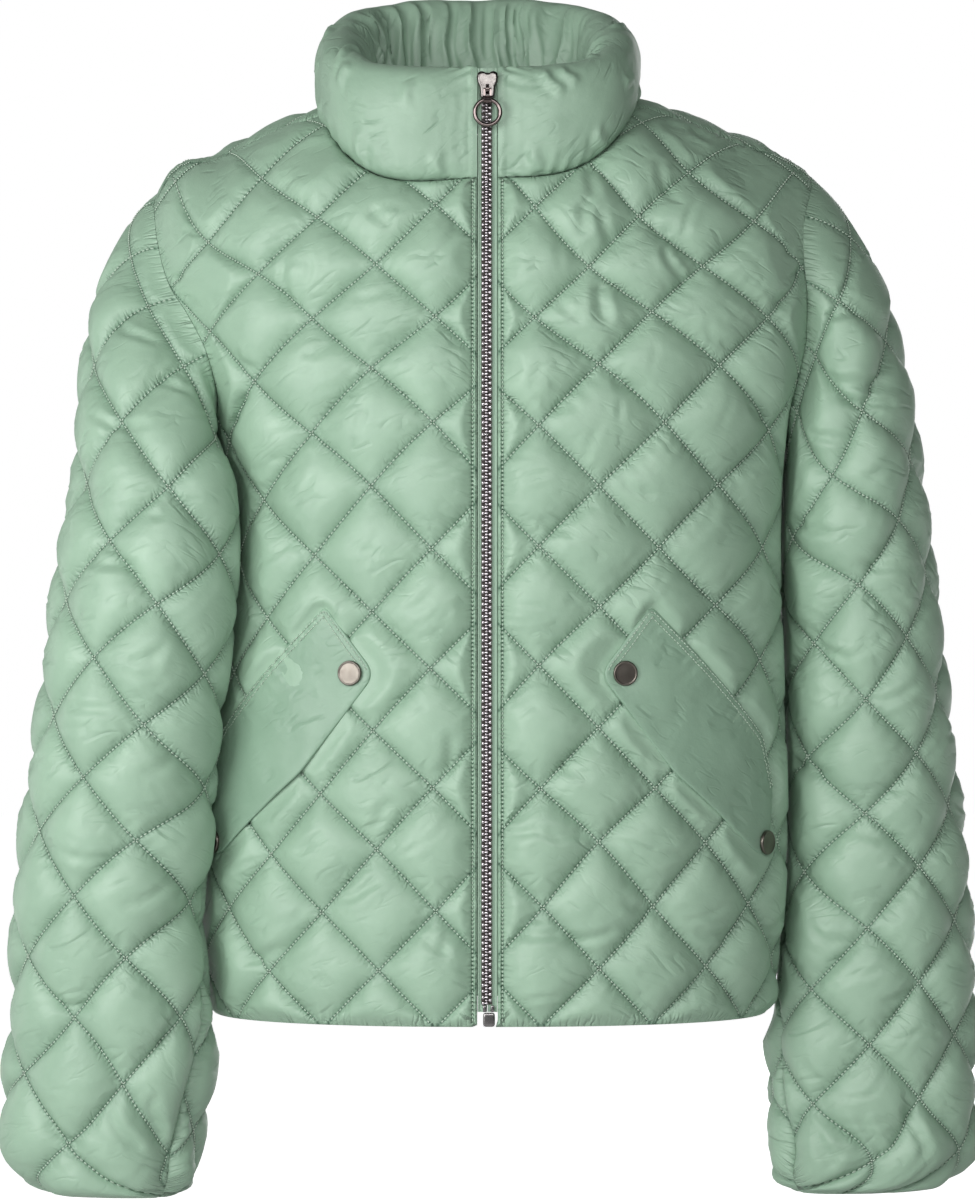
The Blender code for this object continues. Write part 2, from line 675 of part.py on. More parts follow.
def neck_curve(neck_x, start_y, sign):
    """Plan of the neck seam from the shoulder seam to the front edge."""
    turn = np.linspace(0, math.pi / 2, 60)
    x = NECK_CENTRE[0] + sign * NECK_HALF_WIDTH * np.cos(turn) ** (2 / NECK_POWER_FRONT)
    y = NECK_CENTRE[1] - NECK_FRONT * np.sin(turn) ** (2 / NECK_POWER_FRONT)
    edge_x = sign * FRONT_EDGE
    keep = (y < start_y - 1) & (sign * x > sign * edge_x + 2)
    rising = slice(None, None, -1 if sign > 0 else 1)
    end_y = np.interp(edge_x, x[rising], y[rising])
    plan = np.concatenate([[[neck_x, start_y]], np.stack([x[keep], y[keep]], axis=1), [[edge_x, end_y]]])
    return evenly(plan)


def front_panel(front, side, part):
    """Outline of one front, counter-clockwise seen from outside."""
    sign = SIDES[side]
    side_front, _, side_space = part["side"]
    shoulder_front, _, shoulder_space = part["shoulder"]
    neck, neck_space = part["neck"]
    hem_s = np.linspace(sign * FRONT_EDGE, side_front[0, 0], 13)
    hem = np.stack([hem_s, np.zeros_like(hem_s)], axis=1)
    hem_space = front.at(hem[:, 0], hem[:, 1])
    hem_space[-1] = side_space[0]
    edge_t = np.linspace(neck[-1, 1], 0, round(neck[-1, 1] / SEAM_STEP) + 1)
    edge = np.stack([np.full_like(edge_t, sign * FRONT_EDGE), edge_t], axis=1)
    edge_space = front.at(edge[:, 0], edge[:, 1])
    edge_space[0] = neck_space[-1]
    edges = [
        (hem, hem_space),
        (side_front, side_space),
        (part["arm_front"], part["arm_front_space"]),
        (shoulder_front, shoulder_space),
        (neck, neck_space),
        (edge, edge_space),
    ]
    if sign < 0:
        edges = [(flat[::-1], space[::-1]) for flat, space in reversed(edges)]
    return Panel(f"front_{side}", front, QUILT["front"], edges)


def back_panel(back, edges):
    """Outline of the back, counter-clockwise seen from outside."""
    left, right = edges["left"], edges["right"]
    hem_s = np.linspace(left["side"][1][0, 0], right["side"][1][0, 0], 25)
    hem = np.stack([hem_s, np.zeros_like(hem_s)], axis=1)
    hem_space = back.at(hem[:, 0], hem[:, 1])
    hem_space[0], hem_space[-1] = left["side"][2][0], right["side"][2][0]
    turn = np.linspace(0, math.pi, 90)
    x = NECK_CENTRE[0] + NECK_HALF_WIDTH * np.cos(turn[::-1]) * np.abs(np.cos(turn)) ** (
        2 / NECK_POWER_BACK - 1)
    y = NECK_CENTRE[1] + NECK_BACK * np.sin(turn) ** (2 / NECK_POWER_BACK)
    start, end = right["shoulder"][2][-1], left["shoulder"][2][-1]
    plan = evenly(np.concatenate([[start[:2]], np.stack([x, y], axis=1), [end[:2]]]))
    flat = []
    for k, point in enumerate(plan):
        near = np.zeros((len(back.t), 1)) + np.where(back.t[:, None] < CHEST_Z - HEM_Z + 40, 1e4, 0.0)
        flat.append(back.find((0, 1), point, near))
    neck = np.array(flat)
    neck[0], neck[-1] = right["shoulder"][1][-1], left["shoulder"][1][-1]
    neck_space = back.at(neck[:, 0], neck[:, 1])
    neck_space[0], neck_space[-1] = start, end
    edges["back_neck"] = neck_space
    loop = [
        (hem, hem_space),
        (right["side"][1], right["side"][2]),
        (right["arm_back"], right["arm_back_space"]),
        (right["shoulder"][1], right["shoulder"][2]),
        (neck, neck_space),
        (left["shoulder"][1][::-1], left["shoulder"][2][::-1]),
        (left["arm_back"][::-1], left["arm_back_space"][::-1]),
        (left["side"][1][::-1], left["side"][2][::-1]),
    ]
    return Panel("back", back, QUILT["back"], loop)


def sleeve_panel(side, armhole):
    """Outline of a sleeve, counter-clockwise seen from outside."""
    sheet, seam_st, girths, t_rings = sleeve_sheet(side, armhole)
    t_top = seam_st[0, 1]
    t_seam = np.linspace(0, t_top, round(t_top / SEAM_STEP) + 1)
    half = np.where(t_seam <= t_rings[-1], np.interp(t_seam, t_rings, girths), girths[-1]) / 2
    low_s = np.stack([-half, t_seam], axis=1)
    high_s = np.stack([half, t_seam], axis=1)
    seam_space = (sheet.at(-half, t_seam) + sheet.at(half, t_seam)) / 2
    seam_space[-1] = armhole[0]
    cuff_s = np.linspace(-half[0], half[0], round(2 * half[0] / SEAM_STEP) + 1)
    cuff = np.stack([cuff_s, np.zeros_like(cuff_s)], axis=1)
    cuff_space = sheet.at(cuff[:, 0], cuff[:, 1])
    cuff_space[0] = cuff_space[-1] = seam_space[0]
    edges = [
        (cuff, cuff_space),
        (high_s, seam_space),
        (seam_st[::-1], armhole[::-1]),
        (low_s[::-1], seam_space[::-1]),
    ]
    return Panel(f"sleeve_{side}", sheet, QUILT[f"sleeve_{side}"], edges)


# ---------------------------------------------------------------- quilting

def pillow(s, t, phase):
    """Height of the quilting over its stitch lines."""
    across, up = (s - phase.s) / DIAMOND_HALF_WIDTH, (t - phase.t) / DIAMOND_HALF_HEIGHT
    u, v = (across + up) / 2, (across - up) / 2
    u, v = u - np.floor(u), v - np.floor(v)
    return PUFF * (16 * u * (1 - u) * v * (1 - v)) ** PUFF_FULLNESS


def quilt_points(outline, phase, edges=True, crowns=True):
    """Points of the diamonds: crossings and middles, and where wanted their edges' middles and crowns."""
    low, high = outline.min(axis=0), outline.max(axis=0)
    pitch = np.array([DIAMOND_HALF_WIDTH, DIAMOND_HALF_HEIGHT])
    first = np.floor((low - phase) / pitch).astype(int) - 1
    last = np.ceil((high - phase) / pitch).astype(int) + 1
    points = []
    for i in range(first[0], last[0]):
        for j in range(first[1], last[1]):
            points.append((i, j))
            if edges:
                points.append((i + 0.5, j + 0.5))
            if crowns and (i + j) % 2:
                points += [(i + a, j + b) for a in (-0.25, 0.25) for b in (-0.25, 0.25)]
    return np.array(points) * pitch + phase


def flap_outline(sign):
    """Outline of a pocket flap in the cloth coordinates of its front."""
    outline = rounded(FLAP_CORNERS, FLAP_ROUNDING)
    return outline * np.array([sign, 1.0])


def swollen(outline, amount):
    """Closed outline moved outwards."""
    ahead = unit(np.roll(outline, -1, axis=0) - np.roll(outline, 1, axis=0))
    out = np.stack([ahead[:, 1], -ahead[:, 0]], axis=1)
    centre = outline.mean(axis=0)
    turn = np.where(((outline - centre) * out).sum(axis=1) > 0, 1.0, -1.0)
    return outline + out * turn[:, None] * amount


class Relief:
    """Height of a panel's outer face over its form."""

    def __init__(self, panel, neighbours):
        self.panel = panel
        self.fronts = panel.name.startswith("front")
        self.sign = SIDES["right"] if panel.name.endswith("right") else SIDES["left"]
        self.tree = None
        if neighbours:
            points = np.concatenate([sheet.points.reshape(-1, 3) for sheet in neighbours])
            self.tree = KDTree(len(points))
            for k, point in enumerate(points):
                self.tree.insert(Vector(point), k)
            self.tree.balance()

    def room(self, points):
        """Distance of points in space from the facing cloth."""
        if self.tree is None:
            return np.full(len(points), 1e3)
        return np.array([self.tree.find(Vector(point))[2] for point in points])

    def height(self, flat):
        """Raised height at cloth coordinates."""
        s, t = flat[:, 0], flat[:, 1]
        phase = self.panel.phase
        height = pillow(np.abs(s) if self.fronts else s, t, phase)
        edge = edge_distance(flat, self.panel.flat)
        height = np.minimum(height, PUFF_RISE * edge)
        if self.fronts:
            height = np.where(np.abs(s) < FRONT_STITCH + 0.5, 0.0, height)
            outline = flap_outline(self.sign)
            away = np.where(inside(flat, outline), 0.0, edge_distance(flat, outline))
            height = np.minimum(height, FLAP_BED + 0.8 * np.maximum(0, away - FLAP_RIM))
        room = self.room(self.panel.sheet.at(s, t))
        return np.minimum(height, np.maximum(0, ROOM_SHARE * (room - 2.0)))


# ---------------------------------------------------------------- solids

def triangles(outline, points, creases=()):
    """Constrained Delaunay triangles of an outline with points inside it."""
    flat = [Vector(p) for p in np.concatenate([outline, points])] if len(points) else [Vector(p) for p in outline]
    loop = list(range(len(outline)))
    _, _, faces, *_ = delaunay_2d_cdt(flat, list(creases), [loop], 1, 1e-4)
    result = []
    for face in faces:
        a, b, c = (flat[k] for k in face)
        turn = (b - a).cross(c - a)
        result.append(tuple(face) if turn > 0 else tuple(reversed(face)))
    return result


def inward(space, normals):
    """Directions along the cloth from its outline towards its inside, longer at corners."""
    before = unit(np.cross(normals, unit(space - np.roll(space, 1, axis=0))))
    after = unit(np.cross(normals, unit(np.roll(space, -1, axis=0) - space)))
    share = 1 + (before * after).sum(axis=1, keepdims=True)
    return (before + after) / np.maximum(share, 0.5)


def new_object(name, points, faces, colour, metallic=0.0, roughness=0.5, origin=(0.0, 0.0, 0.0)):
    """Object with a material, from points in millimetres; its origin is where it turns."""
    mesh = bpy.data.meshes.new(name)
    origin = np.array(origin, dtype=float)
    mesh.from_pydata([tuple((np.asarray(p) - origin) * MM) for p in points], [], [tuple(f) for f in faces])
    mesh.materials.append(material(name, colour, metallic, roughness))
    mesh.shade_smooth()
    mesh.set_sharp_from_angle(angle=math.radians(35))
    obj = bpy.data.objects.new(name, mesh)
    obj.location = Vector(origin * MM)
    bpy.context.scene.collection.objects.link(obj)
    return obj


def material(name, colour, metallic, roughness):
    """Principled material from an 8-bit sRGB colour."""
    made = bpy.data.materials.new(name)
    made.use_nodes = True
    shader = made.node_tree.nodes["Principled BSDF"]
    linear = [((c / 255 + 0.055) / 1.055) ** 2.4 for c in colour]
    shader.inputs["Base Color"].default_value = (*linear, 1.0)
    shader.inputs["Metallic"].default_value = metallic
    shader.inputs["Roughness"].default_value = roughness
    return made


def closed_wall(outer_edge, inner_edge, outer, inner, outer_faces, inner_faces):
    """Points and faces of a wall: outer sheet, inner sheet and the strip round their edge."""
    count = len(outer_edge)
    points = np.concatenate([outer_edge, outer, inner_edge, inner])
    shift = count + len(outer)
    faces = [tuple(face) for face in outer_faces]
    faces += [tuple(shift + k for k in reversed(face)) for face in inner_faces]
    for k in range(count):
        after = (k + 1) % count
        faces.append((k, shift + k, shift + after, after))
    return points, faces


def quilted_wall(panel, normals, neighbours):
    """Solid of a quilted panel: raised diamonds outside, plain inside."""
    relief = Relief(panel, neighbours)
    at_edge = np.array([normals[seam_key(point)] for point in panel.space])
    outer_edge = panel.space + inward(panel.space, at_edge) * SEAM_GAP / 2
    own = panel.own_normals()
    alike = np.clip((own * at_edge).sum(axis=1, keepdims=True), 0, 1) ** 2
    inner_edge = outer_edge - WALL * unit(at_edge * alike + own * (1 - alike))
    phase = np.array(panel.phase)
    if relief.fronts:
        phase[0] *= relief.sign
    fine = keep_inside(quilt_points(panel.flat, phase), panel.flat, EDGE_CLEAR)
    coarse = quilt_points(panel.flat, phase, edges=panel.name.startswith("sleeve"), crowns=False)
    coarse = keep_inside(coarse, panel.flat, INNER_EDGE_CLEAR)
    creases = []
    if relief.fronts:
        fine, creases = front_creases(panel, relief, fine)
    heights = relief.height(fine)
    outer = panel.sheet.at(fine[:, 0], fine[:, 1])
    outer = outer + panel.sheet.normal(fine[:, 0], fine[:, 1]) * heights[:, None]
    inner = panel.sheet.at(coarse[:, 0], coarse[:, 1])
    inner = inner - WALL * panel.sheet.normal(coarse[:, 0], coarse[:, 1], reach=INNER_EDGE_CLEAR)
    outer_faces = triangles(panel.flat, fine, creases)
    inner_faces = triangles(panel.flat, coarse)
    points, faces = closed_wall(outer_edge, inner_edge, outer, inner, outer_faces, inner_faces)
    return new_object(panel.name, points, faces, CLOTH_COLOUR, roughness=0.42)


def keep_inside(points, outline, clear):
    """The points that lie inside an outline and clear of it."""
    points = points[inside(points, outline)]
    return points[edge_distance(points, outline) > clear]


def front_creases(panel, relief, fine):
    """Add the top stitching beside the zip and the pressed rim round the flap to a front's points."""
    count = len(panel.flat)
    t_values = np.arange(SEAM_STEP / 2, panel.flat[:, 1].max(), SEAM_STEP)
    stitch = np.stack([np.full_like(t_values, relief.sign * FRONT_STITCH), t_values], axis=1)
    stitch = stitch[inside(stitch, panel.flat)]
    stitch = stitch[edge_distance(stitch, panel.flat) > FRONT_STITCH - FRONT_EDGE - 0.2]
    rim = evenly(close(swollen(flap_outline(relief.sign), FLAP_RIM)), 13.0)[:-1]
    rim = keep_inside(rim, panel.flat, 3.0)
    fine = fine[edge_distance(fine, rim) > 5.0]
    fine = fine[np.abs(np.abs(fine[:, 0]) - FRONT_STITCH) > 6.0]
    base = count + len(fine)
    creases = [(base + k, base + k + 1) for k in range(len(stitch) - 1)]
    base += len(stitch)
    creases += [(base + k, base + (k + 1) % len(rim)) for k in range(len(rim))]
    return np.concatenate([fine, stitch, rim]), creases


def close(points):
    """A polyline led back to its first point."""
    return np.concatenate([points, points[:1]])


def flap(side, sheet):
    """Smooth cloth flap on its front, moved out from the front's form."""
    sign = SIDES[side]
    outline = evenly(close(flap_outline(sign)), 9.0)[:-1]
    area = (outline[:, 0] * np.roll(outline[:, 1], -1) - np.roll(outline[:, 0], -1) * outline[:, 1]).sum()
    outline = outline if area > 0 else outline[::-1]
    grid = np.array([(s, t) for s in np.arange(-240, 241, 15.0) for t in np.arange(60, 280, 15.0)])
    grid = keep_inside(grid, outline, 6.0)
    faces = triangles(outline, grid)
    flat = np.concatenate([outline, grid])
    form, normal = sheet.at(flat[:, 0], flat[:, 1]), sheet.normal(flat[:, 0], flat[:, 1])
    low, high = form + normal * FLAP_LIFT, form + normal * (FLAP_LIFT + FLAP_THICKNESS)
    count = len(outline)
    points, solid = closed_wall(high[:count], low[:count], high[count:], low[count:], faces, faces)
    return new_object(f"flap_{side}", points, solid, CLOTH_COLOUR, roughness=0.42)


def snap(side, number, sheet):
    """Round cap of a snap on the flap."""
    s, t = SNAP_PLACES[number]
    foot, normal = sheet.at(SIDES[side] * s, t), sheet.normal(SIDES[side] * s, t)
    foot = foot + normal * (FLAP_LIFT + FLAP_THICKNESS + SNAP_LIFT)
    first = unit(np.cross([0.0, 0.0, 1.0], normal))
    second = np.cross(normal, first)
    points, faces = [], []
    turns = np.arange(SNAP_SIDES) * math.tau / SNAP_SIDES
    for radius, height in SNAP_PROFILE:
        for turn in turns:
            points.append(foot + normal * height + radius * (first * math.cos(turn) + second * math.sin(turn)))
    for ring in range(len(SNAP_PROFILE) - 1):
        for k in range(SNAP_SIDES):
            a, b = ring * SNAP_SIDES + k, ring * SNAP_SIDES + (k + 1) % SNAP_SIDES
            faces.append((a, b, b + SNAP_SIDES, a + SNAP_SIDES))
    faces.append(tuple(range(SNAP_SIDES))[::-1])
    faces.append(tuple(range(len(points) - SNAP_SIDES, len(points))))
    return new_object(f"snap_{number + 1}_{side}", points, faces, SNAP_COLOUR, 1.0, 0.25)


# ---------------------------------------------------------------- collar

def collar_frames(edges):
    """Neck seam from the right front edge round the back, with directions outwards."""
    seam = np.concatenate([edges["right"]["neck"][1][::-1], edges["back_neck"][1:],
                           edges["left"]["neck"][1][1:]])
    base = resample(seam, COLLAR_STEPS + 1)
    ahead = np.gradient(base[:, :2], axis=0)
    across = unit(np.stack([-ahead[:, 1], ahead[:, 0]], axis=1))
    radial = unit(base[:, :2] - np.array(NECK_CENTRE))
    out = unit(across + radial)
    out[0] = out[-1] = (0.0, -1.0)
    return base, out, along(base)


def collar_part(name, section, frames, colour, gathers=()):
    """Solid of the collar or its facing: one section carried round the neck."""
    base, out, place = frames
    from_zip = np.minimum(place, place[-1] - place)
    fill = COLLAR_THICK_AT_ZIP + (1 - COLLAR_THICK_AT_ZIP) * ease(from_zip / COLLAR_FILL_LENGTH)
    rim = COLLAR_RIM_Z + COLLAR_RIM_TILT * (base[:, 1] - base[0, 1])
    points = []
    for k, foot in enumerate(base):
        folds = sum(g.depth * math.exp(-((place[k] - g.place) / g.half_width) ** 2) for g in gathers)
        for index, station in enumerate(section):
            reach = station.out * fill[k] - (folds if index in GATHERED_STATIONS else 0.0)
            height = foot[2] + station.up * (rim[k] - foot[2])
            points.append((foot[0] + out[k, 0] * reach, foot[1] + out[k, 1] * reach, height))
    count = len(section)
    faces = [tuple(range(count))[::-1], tuple(range(len(points) - count, len(points)))]
    for k in range(len(base) - 1):
        for index in range(count):
            a, b = k * count + index, k * count + (index + 1) % count
            faces.append((a, b, b + count, a + count))
    return new_object(name, points, faces, colour, roughness=0.42)


# ---------------------------------------------------------------- zip

def zip_path(front, edges):
    """Side view of the zip line, as y and z, from the hem to the collar's rim."""
    neck_t = edges["left"]["neck"][0][-1, 1]
    body = front.at(np.zeros(60), np.linspace(0, neck_t, 60))[:, 1:]
    top_z = np.linspace(body[-1, 1], ZIP_TOP_Z, 8)[1:]
    share = (top_z - body[-1, 1]) / (ZIP_TOP_Z - body[-1, 1])
    collar = np.stack([body[-1, 0] - ZIP_COLLAR_BULGE * np.sin(math.pi * share ** 0.8), top_z], axis=1)
    return np.concatenate([body, collar])


def strip(name, path, x_low, x_high, depth_low, depth_high, colour, metallic=0.0, roughness=0.6):
    """Flat bar along the zip line; depths are outwards from the front edges' face."""
    ahead = unit(np.gradient(path, axis=0))
    out = np.stack([-ahead[:, 1], ahead[:, 0]], axis=1)
    points, faces = [], []
    for place, direction in zip(path, out):
        for x, depth in ((x_low, depth_low), (x_high, depth_low), (x_high, depth_high), (x_low, depth_high)):
            points.append((x, place[0] + direction[0] * depth, place[1] + direction[1] * depth))
    for k in range(len(path) - 1):
        for index in range(4):
            a, b = 4 * k + index, 4 * k + (index + 1) % 4
            faces.append((a, a + 4, b + 4, b))
    faces += [(0, 1, 2, 3), tuple(len(points) - 1 - k for k in range(4))]
    return new_object(name, points, faces, colour, metallic, roughness)


def cut_path(path, z_low, z_high):
    """The part of the zip line between two heights, evenly stepped."""
    heights = np.linspace(z_low, z_high, max(2, round((z_high - z_low) / ZIP_STEP) + 1))
    return np.stack([np.interp(heights, path[:, 1], path[:, 0]), heights], axis=1)


def box(name, centre, size, colour, metallic=1.0, roughness=0.35, bevel=0.0, origin=None):
    """Block with sides along the axes and, where wanted, rounded edges."""
    half = np.array(size) / 2
    corners = [np.array(centre) + half * (x, y, z) for x in (-1, 1) for y in (-1, 1) for z in (-1, 1)]
    faces = [(0, 1, 3, 2), (4, 6, 7, 5), (0, 4, 5, 1), (2, 3, 7, 6), (0, 2, 6, 4), (1, 5, 7, 3)]
    obj = new_object(name, corners, faces, colour, metallic, roughness, origin if origin is not None else centre)
    if bevel:
        modifier = obj.modifiers.new("rounding", "BEVEL")
        modifier.width = bevel * MM
        modifier.segments = 2
    return obj


def rod(name, centre, radius, length, origin, sides=16):
    """Round metal bar along X."""
    x, y, z = centre
    points = []
    for end in (x - length / 2, x + length / 2):
        for turn in np.arange(sides) * math.tau / sides:
            points.append((end, y + radius * math.cos(turn), z + radius * math.sin(turn)))
    faces = [(k, (k + 1) % sides, sides + (k + 1) % sides, sides + k) for k in range(sides)]
    faces += [tuple(range(sides)), tuple(range(2 * sides - 1, sides - 1, -1))]
    obj = new_object(name, points, faces, NICKEL_COLOUR, 1.0, 0.25, origin)
    fix_normals(obj)
    return obj


def combine(obj, other, operation):
    """Boolean with another object, which stays as a hidden guide."""
    modifier = obj.modifiers.new(operation.lower(), "BOOLEAN")
    modifier.operation = operation
    modifier.solver = "EXACT"
    modifier.object = other
    other.hide_render = True
    other.display_type = "WIRE"


def slider(path):
    """Zip slider: a tapered body with an arched bridge for the link."""
    face_y = slider_face(path)
    back_y = face_y + SLIDER_DEPTH
    top_z = SLIDER_BOTTOM_Z + SLIDER_HEIGHT
    outline = [(-SLIDER_HALF_BOTTOM, SLIDER_BOTTOM_Z), (SLIDER_HALF_BOTTOM, SLIDER_BOTTOM_Z),
               (SLIDER_HALF_BOTTOM + 0.6, SLIDER_BOTTOM_Z + 7), (SLIDER_HALF_TOP, top_z - 4),
               (SLIDER_HALF_TOP - 1.0, top_z), (1.6, top_z), (0.0, top_z - 1.6), (-1.6, top_z),
               (1.0 - SLIDER_HALF_TOP, top_z), (-SLIDER_HALF_TOP, top_z - 4),
               (-SLIDER_HALF_BOTTOM - 0.6, SLIDER_BOTTOM_Z + 7)]
    count = len(outline)
    points = [(x, face_y, z) for x, z in outline] + [(x, back_y, z) for x, z in outline]
    faces = [tuple(range(count)), tuple(range(2 * count - 1, count - 1, -1))]
    faces += [(k, count + k, count + (k + 1) % count, (k + 1) % count) for k in range(count)]
    body = new_object("zip_slider", points, faces, NICKEL_COLOUR, 1.0, 0.25)
    turns = np.linspace(-math.pi / 2, math.pi / 2, 11)
    sink = 0.4
    arch = []
    for (depth, half), order in ((BRIDGE_OUTER, turns), (BRIDGE_INNER, turns[::-1])):
        arch += [(face_y + sink - (depth + sink) * math.cos(t), PULL_AXIS_Z + half * math.sin(t)) for t in order]
    count = len(arch)
    points = [(x, y, z) for x in (-BRIDGE_HALF_WIDTH, BRIDGE_HALF_WIDTH) for y, z in arch]
    quads = [(k, 2 * len(turns) - 1 - k) for k in range(len(turns))]
    faces = []
    for (a, d), (b, c) in zip(quads, quads[1:]):
        faces.append((a, d, c, b))
        faces.append((count + a, count + b, count + c, count + d))
    faces += [(k, (k + 1) % count, count + (k + 1) % count, count + k) for k in range(count)]
    bridge = new_object("bridge_guide", points, faces, NICKEL_COLOUR, 1.0, 0.25)
    fix_normals(bridge)
    combine(body, bridge, "UNION")
    return body


def slider_face(path):
    """Depth of the slider's outer face."""
    return float(np.interp(PULL_AXIS_Z, path[:, 1], path[:, 0])) - SLIDER_LIFT - SLIDER_DEPTH


def fix_normals(obj):
    """Turn a closed mesh's faces outwards."""
    work = bmesh.new()
    work.from_mesh(obj.data)
    bmesh.ops.recalc_face_normals(work, faces=work.faces)
    work.to_mesh(obj.data)
    work.free()


def pull_link(path):
    """Link that hangs on the slider's bridge and holds the ring in a barrel."""
    axis = np.array([0.0, slider_face(path) - PULL_AXIS_LIFT, PULL_AXIS_Z])
    eye = axis - np.array([0.0, 0.0, PULL_LENGTH])
    link = rod("zip_pull", eye, BARREL_RADIUS, 2 * PULL_HALF_WIDTH, axis, sides=20)
    bar = rod("pull_bar_guide", axis, PULL_BAR_RADIUS, 2 * PULL_HALF_WIDTH, axis, sides=12)
    combine(link, bar, "UNION")
    arm_width, arm_depth = PULL_ARM
    height = PULL_LENGTH - BARREL_RADIUS * 0.8
    for sign in (-1, 1):
        centre = axis + np.array([sign * (PULL_HALF_WIDTH - arm_width / 2 - 0.02), 0.0, -height / 2])
        arm = box(f"pull_arm_guide_{sign + 1}", centre, (arm_width, arm_depth, height), NICKEL_COLOUR, origin=axis)
        fix_normals(arm)
        combine(link, arm, "UNION")
    hole = rod("barrel_hole_guide", eye, BARREL_HOLE, 4 * PULL_HALF_WIDTH, axis, sides=20)
    combine(link, hole, "DIFFERENCE")
    return link, eye


def ring(eye):
    """Round ring that hangs in the link's barrel."""
    centre = np.array(eye) - np.array([0.0, 0.0, RING_RADIUS])
    around, wire = RING_SIDES
    points, faces = [], []
    for k in range(around):
        turn = math.tau * k / around
        out = np.array([math.sin(turn), 0.0, math.cos(turn)])
        for index in range(wire):
            roll = math.tau * index / wire
            points.append(centre + out * (RING_RADIUS + RING_WIRE * math.cos(roll))
                          + np.array([0.0, RING_WIRE * math.sin(roll), 0.0]))
    for k in range(around):
        for index in range(wire):
            a, b = k * wire + index, k * wire + (index + 1) % wire
            c, d = ((k + 1) % around) * wire + (index + 1) % wire, ((k + 1) % around) * wire + index
            faces.append((a, b, c, d))
    obj = new_object("zip_ring", points, faces, NICKEL_COLOUR, 1.0, 0.2, eye)
    fix_normals(obj)
    return obj


def zip_parts(front, edges):
    """Tapes, chain, retaining box, pins, slider, link and ring."""
    path = zip_path(front, edges)
    box_top = HEM_Z + BOX_SIZE[2] - 1.0
    box_y = float(np.interp(box_top, path[:, 1], path[:, 0]))
    tape = cut_path(path, box_top + SEAM_GAP, ZIP_TOP_Z)
    low, high = -TAPE_DEPTH - TAPE_THICKNESS, -TAPE_DEPTH
    strip("zip_tape_right", tape, -TAPE_HALF_WIDTH, -SEAM_GAP / 2, low, high, TAPE_COLOUR)
    strip("zip_tape_left", tape, SEAM_GAP / 2, TAPE_HALF_WIDTH, low, high, TAPE_COLOUR)
    pin_top = box_top + SEAM_GAP + PIN_SIZE[2]
    chain = cut_path(path, pin_top + SEAM_GAP, SLIDER_BOTTOM_Z - SEAM_GAP)
    strip("zip_chain", chain, -CHAIN_HALF_WIDTH, CHAIN_HALF_WIDTH, SEAM_GAP - TAPE_DEPTH, CHAIN_RISE,
          NICKEL_COLOUR, 1.0, 0.3)
    centre = (BOX_CENTRE_X, box_y, box_top - BOX_SIZE[2] / 2)
    block = box("zip_box", centre, BOX_SIZE, NICKEL_COLOUR, bevel=1.1)
    fix_normals(block)
    for side, x in zip(SIDES, PIN_X):
        depth = box_y + TAPE_DEPTH - SEAM_GAP - PIN_SIZE[1] / 2
        pin_centre = (x, depth, box_top + SEAM_GAP + PIN_SIZE[2] / 2)
        pin = box(f"zip_pin_{side}", pin_centre, PIN_SIZE, NICKEL_COLOUR, bevel=0.5)
        fix_normals(pin)
    slider(path)
    _, eye = pull_link(path)
    ring(eye)


def main():
    """Clear the scene and build the jacket."""
    for obj in list(bpy.data.objects):
        bpy.data.objects.remove(obj)
    front, back = torso_sheet(True), torso_sheet(False)
    panels, armholes, edges = torso_panels(front, back)
    sleeves = {side: sleeve_panel(side, armholes[side]) for side in SIDES}
    everything = [*panels.values(), *sleeves.values()]
    normals = shared_normals(everything)
    arm_sheets = {side: sleeves[side].sheet for side in SIDES}
    for name, panel in panels.items():
        near = list(arm_sheets.values()) if name == "back" else [arm_sheets[name.split("_")[1]]]
        quilted_wall(panel, normals, near)
    for side in SIDES:
        quilted_wall(sleeves[side], normals, [front, back])
        flap(side, front)
        for number in range(len(SNAP_PLACES)):
            snap(side, number, front)
    frames = collar_frames(edges)
    collar_part("collar", COLLAR_SECTION, frames, CLOTH_COLOUR)
    collar_part("collar_facing", FACING_SECTION, frames, FACING_COLOUR, GATHERS)
    zip_parts(front, edges)


main()
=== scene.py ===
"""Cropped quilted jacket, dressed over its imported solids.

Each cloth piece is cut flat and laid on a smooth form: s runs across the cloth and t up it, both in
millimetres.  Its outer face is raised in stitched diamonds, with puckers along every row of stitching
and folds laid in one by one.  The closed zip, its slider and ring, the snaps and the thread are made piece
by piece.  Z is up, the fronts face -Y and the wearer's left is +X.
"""

import logging
import math
from dataclasses import dataclass, field
from enum import Enum
from typing import Callable, Iterable, NamedTuple, Optional, Sequence, Union

import bpy
import numpy as np
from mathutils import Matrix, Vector
from mathutils.geometry import delaunay_2d_cdt
from mathutils.kdtree import KDTree

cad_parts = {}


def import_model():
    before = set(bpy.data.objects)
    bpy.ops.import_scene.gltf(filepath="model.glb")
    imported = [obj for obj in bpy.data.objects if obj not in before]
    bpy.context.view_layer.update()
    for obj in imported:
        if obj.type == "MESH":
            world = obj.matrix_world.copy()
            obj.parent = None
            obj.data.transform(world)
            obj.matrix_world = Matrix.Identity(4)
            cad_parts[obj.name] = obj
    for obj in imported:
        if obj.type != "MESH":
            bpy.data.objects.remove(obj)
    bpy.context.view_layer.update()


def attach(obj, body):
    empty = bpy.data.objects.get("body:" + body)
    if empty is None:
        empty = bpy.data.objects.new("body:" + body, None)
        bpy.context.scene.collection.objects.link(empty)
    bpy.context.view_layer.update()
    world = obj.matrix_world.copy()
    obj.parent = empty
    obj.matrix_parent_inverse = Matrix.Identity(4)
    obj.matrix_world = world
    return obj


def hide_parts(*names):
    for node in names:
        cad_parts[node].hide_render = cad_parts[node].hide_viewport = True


MM = 0.001
LOG = logging.getLogger("jacket")
Array = np.ndarray
Colour = tuple[float, float, float]
Flat = Sequence[tuple[float, float]]
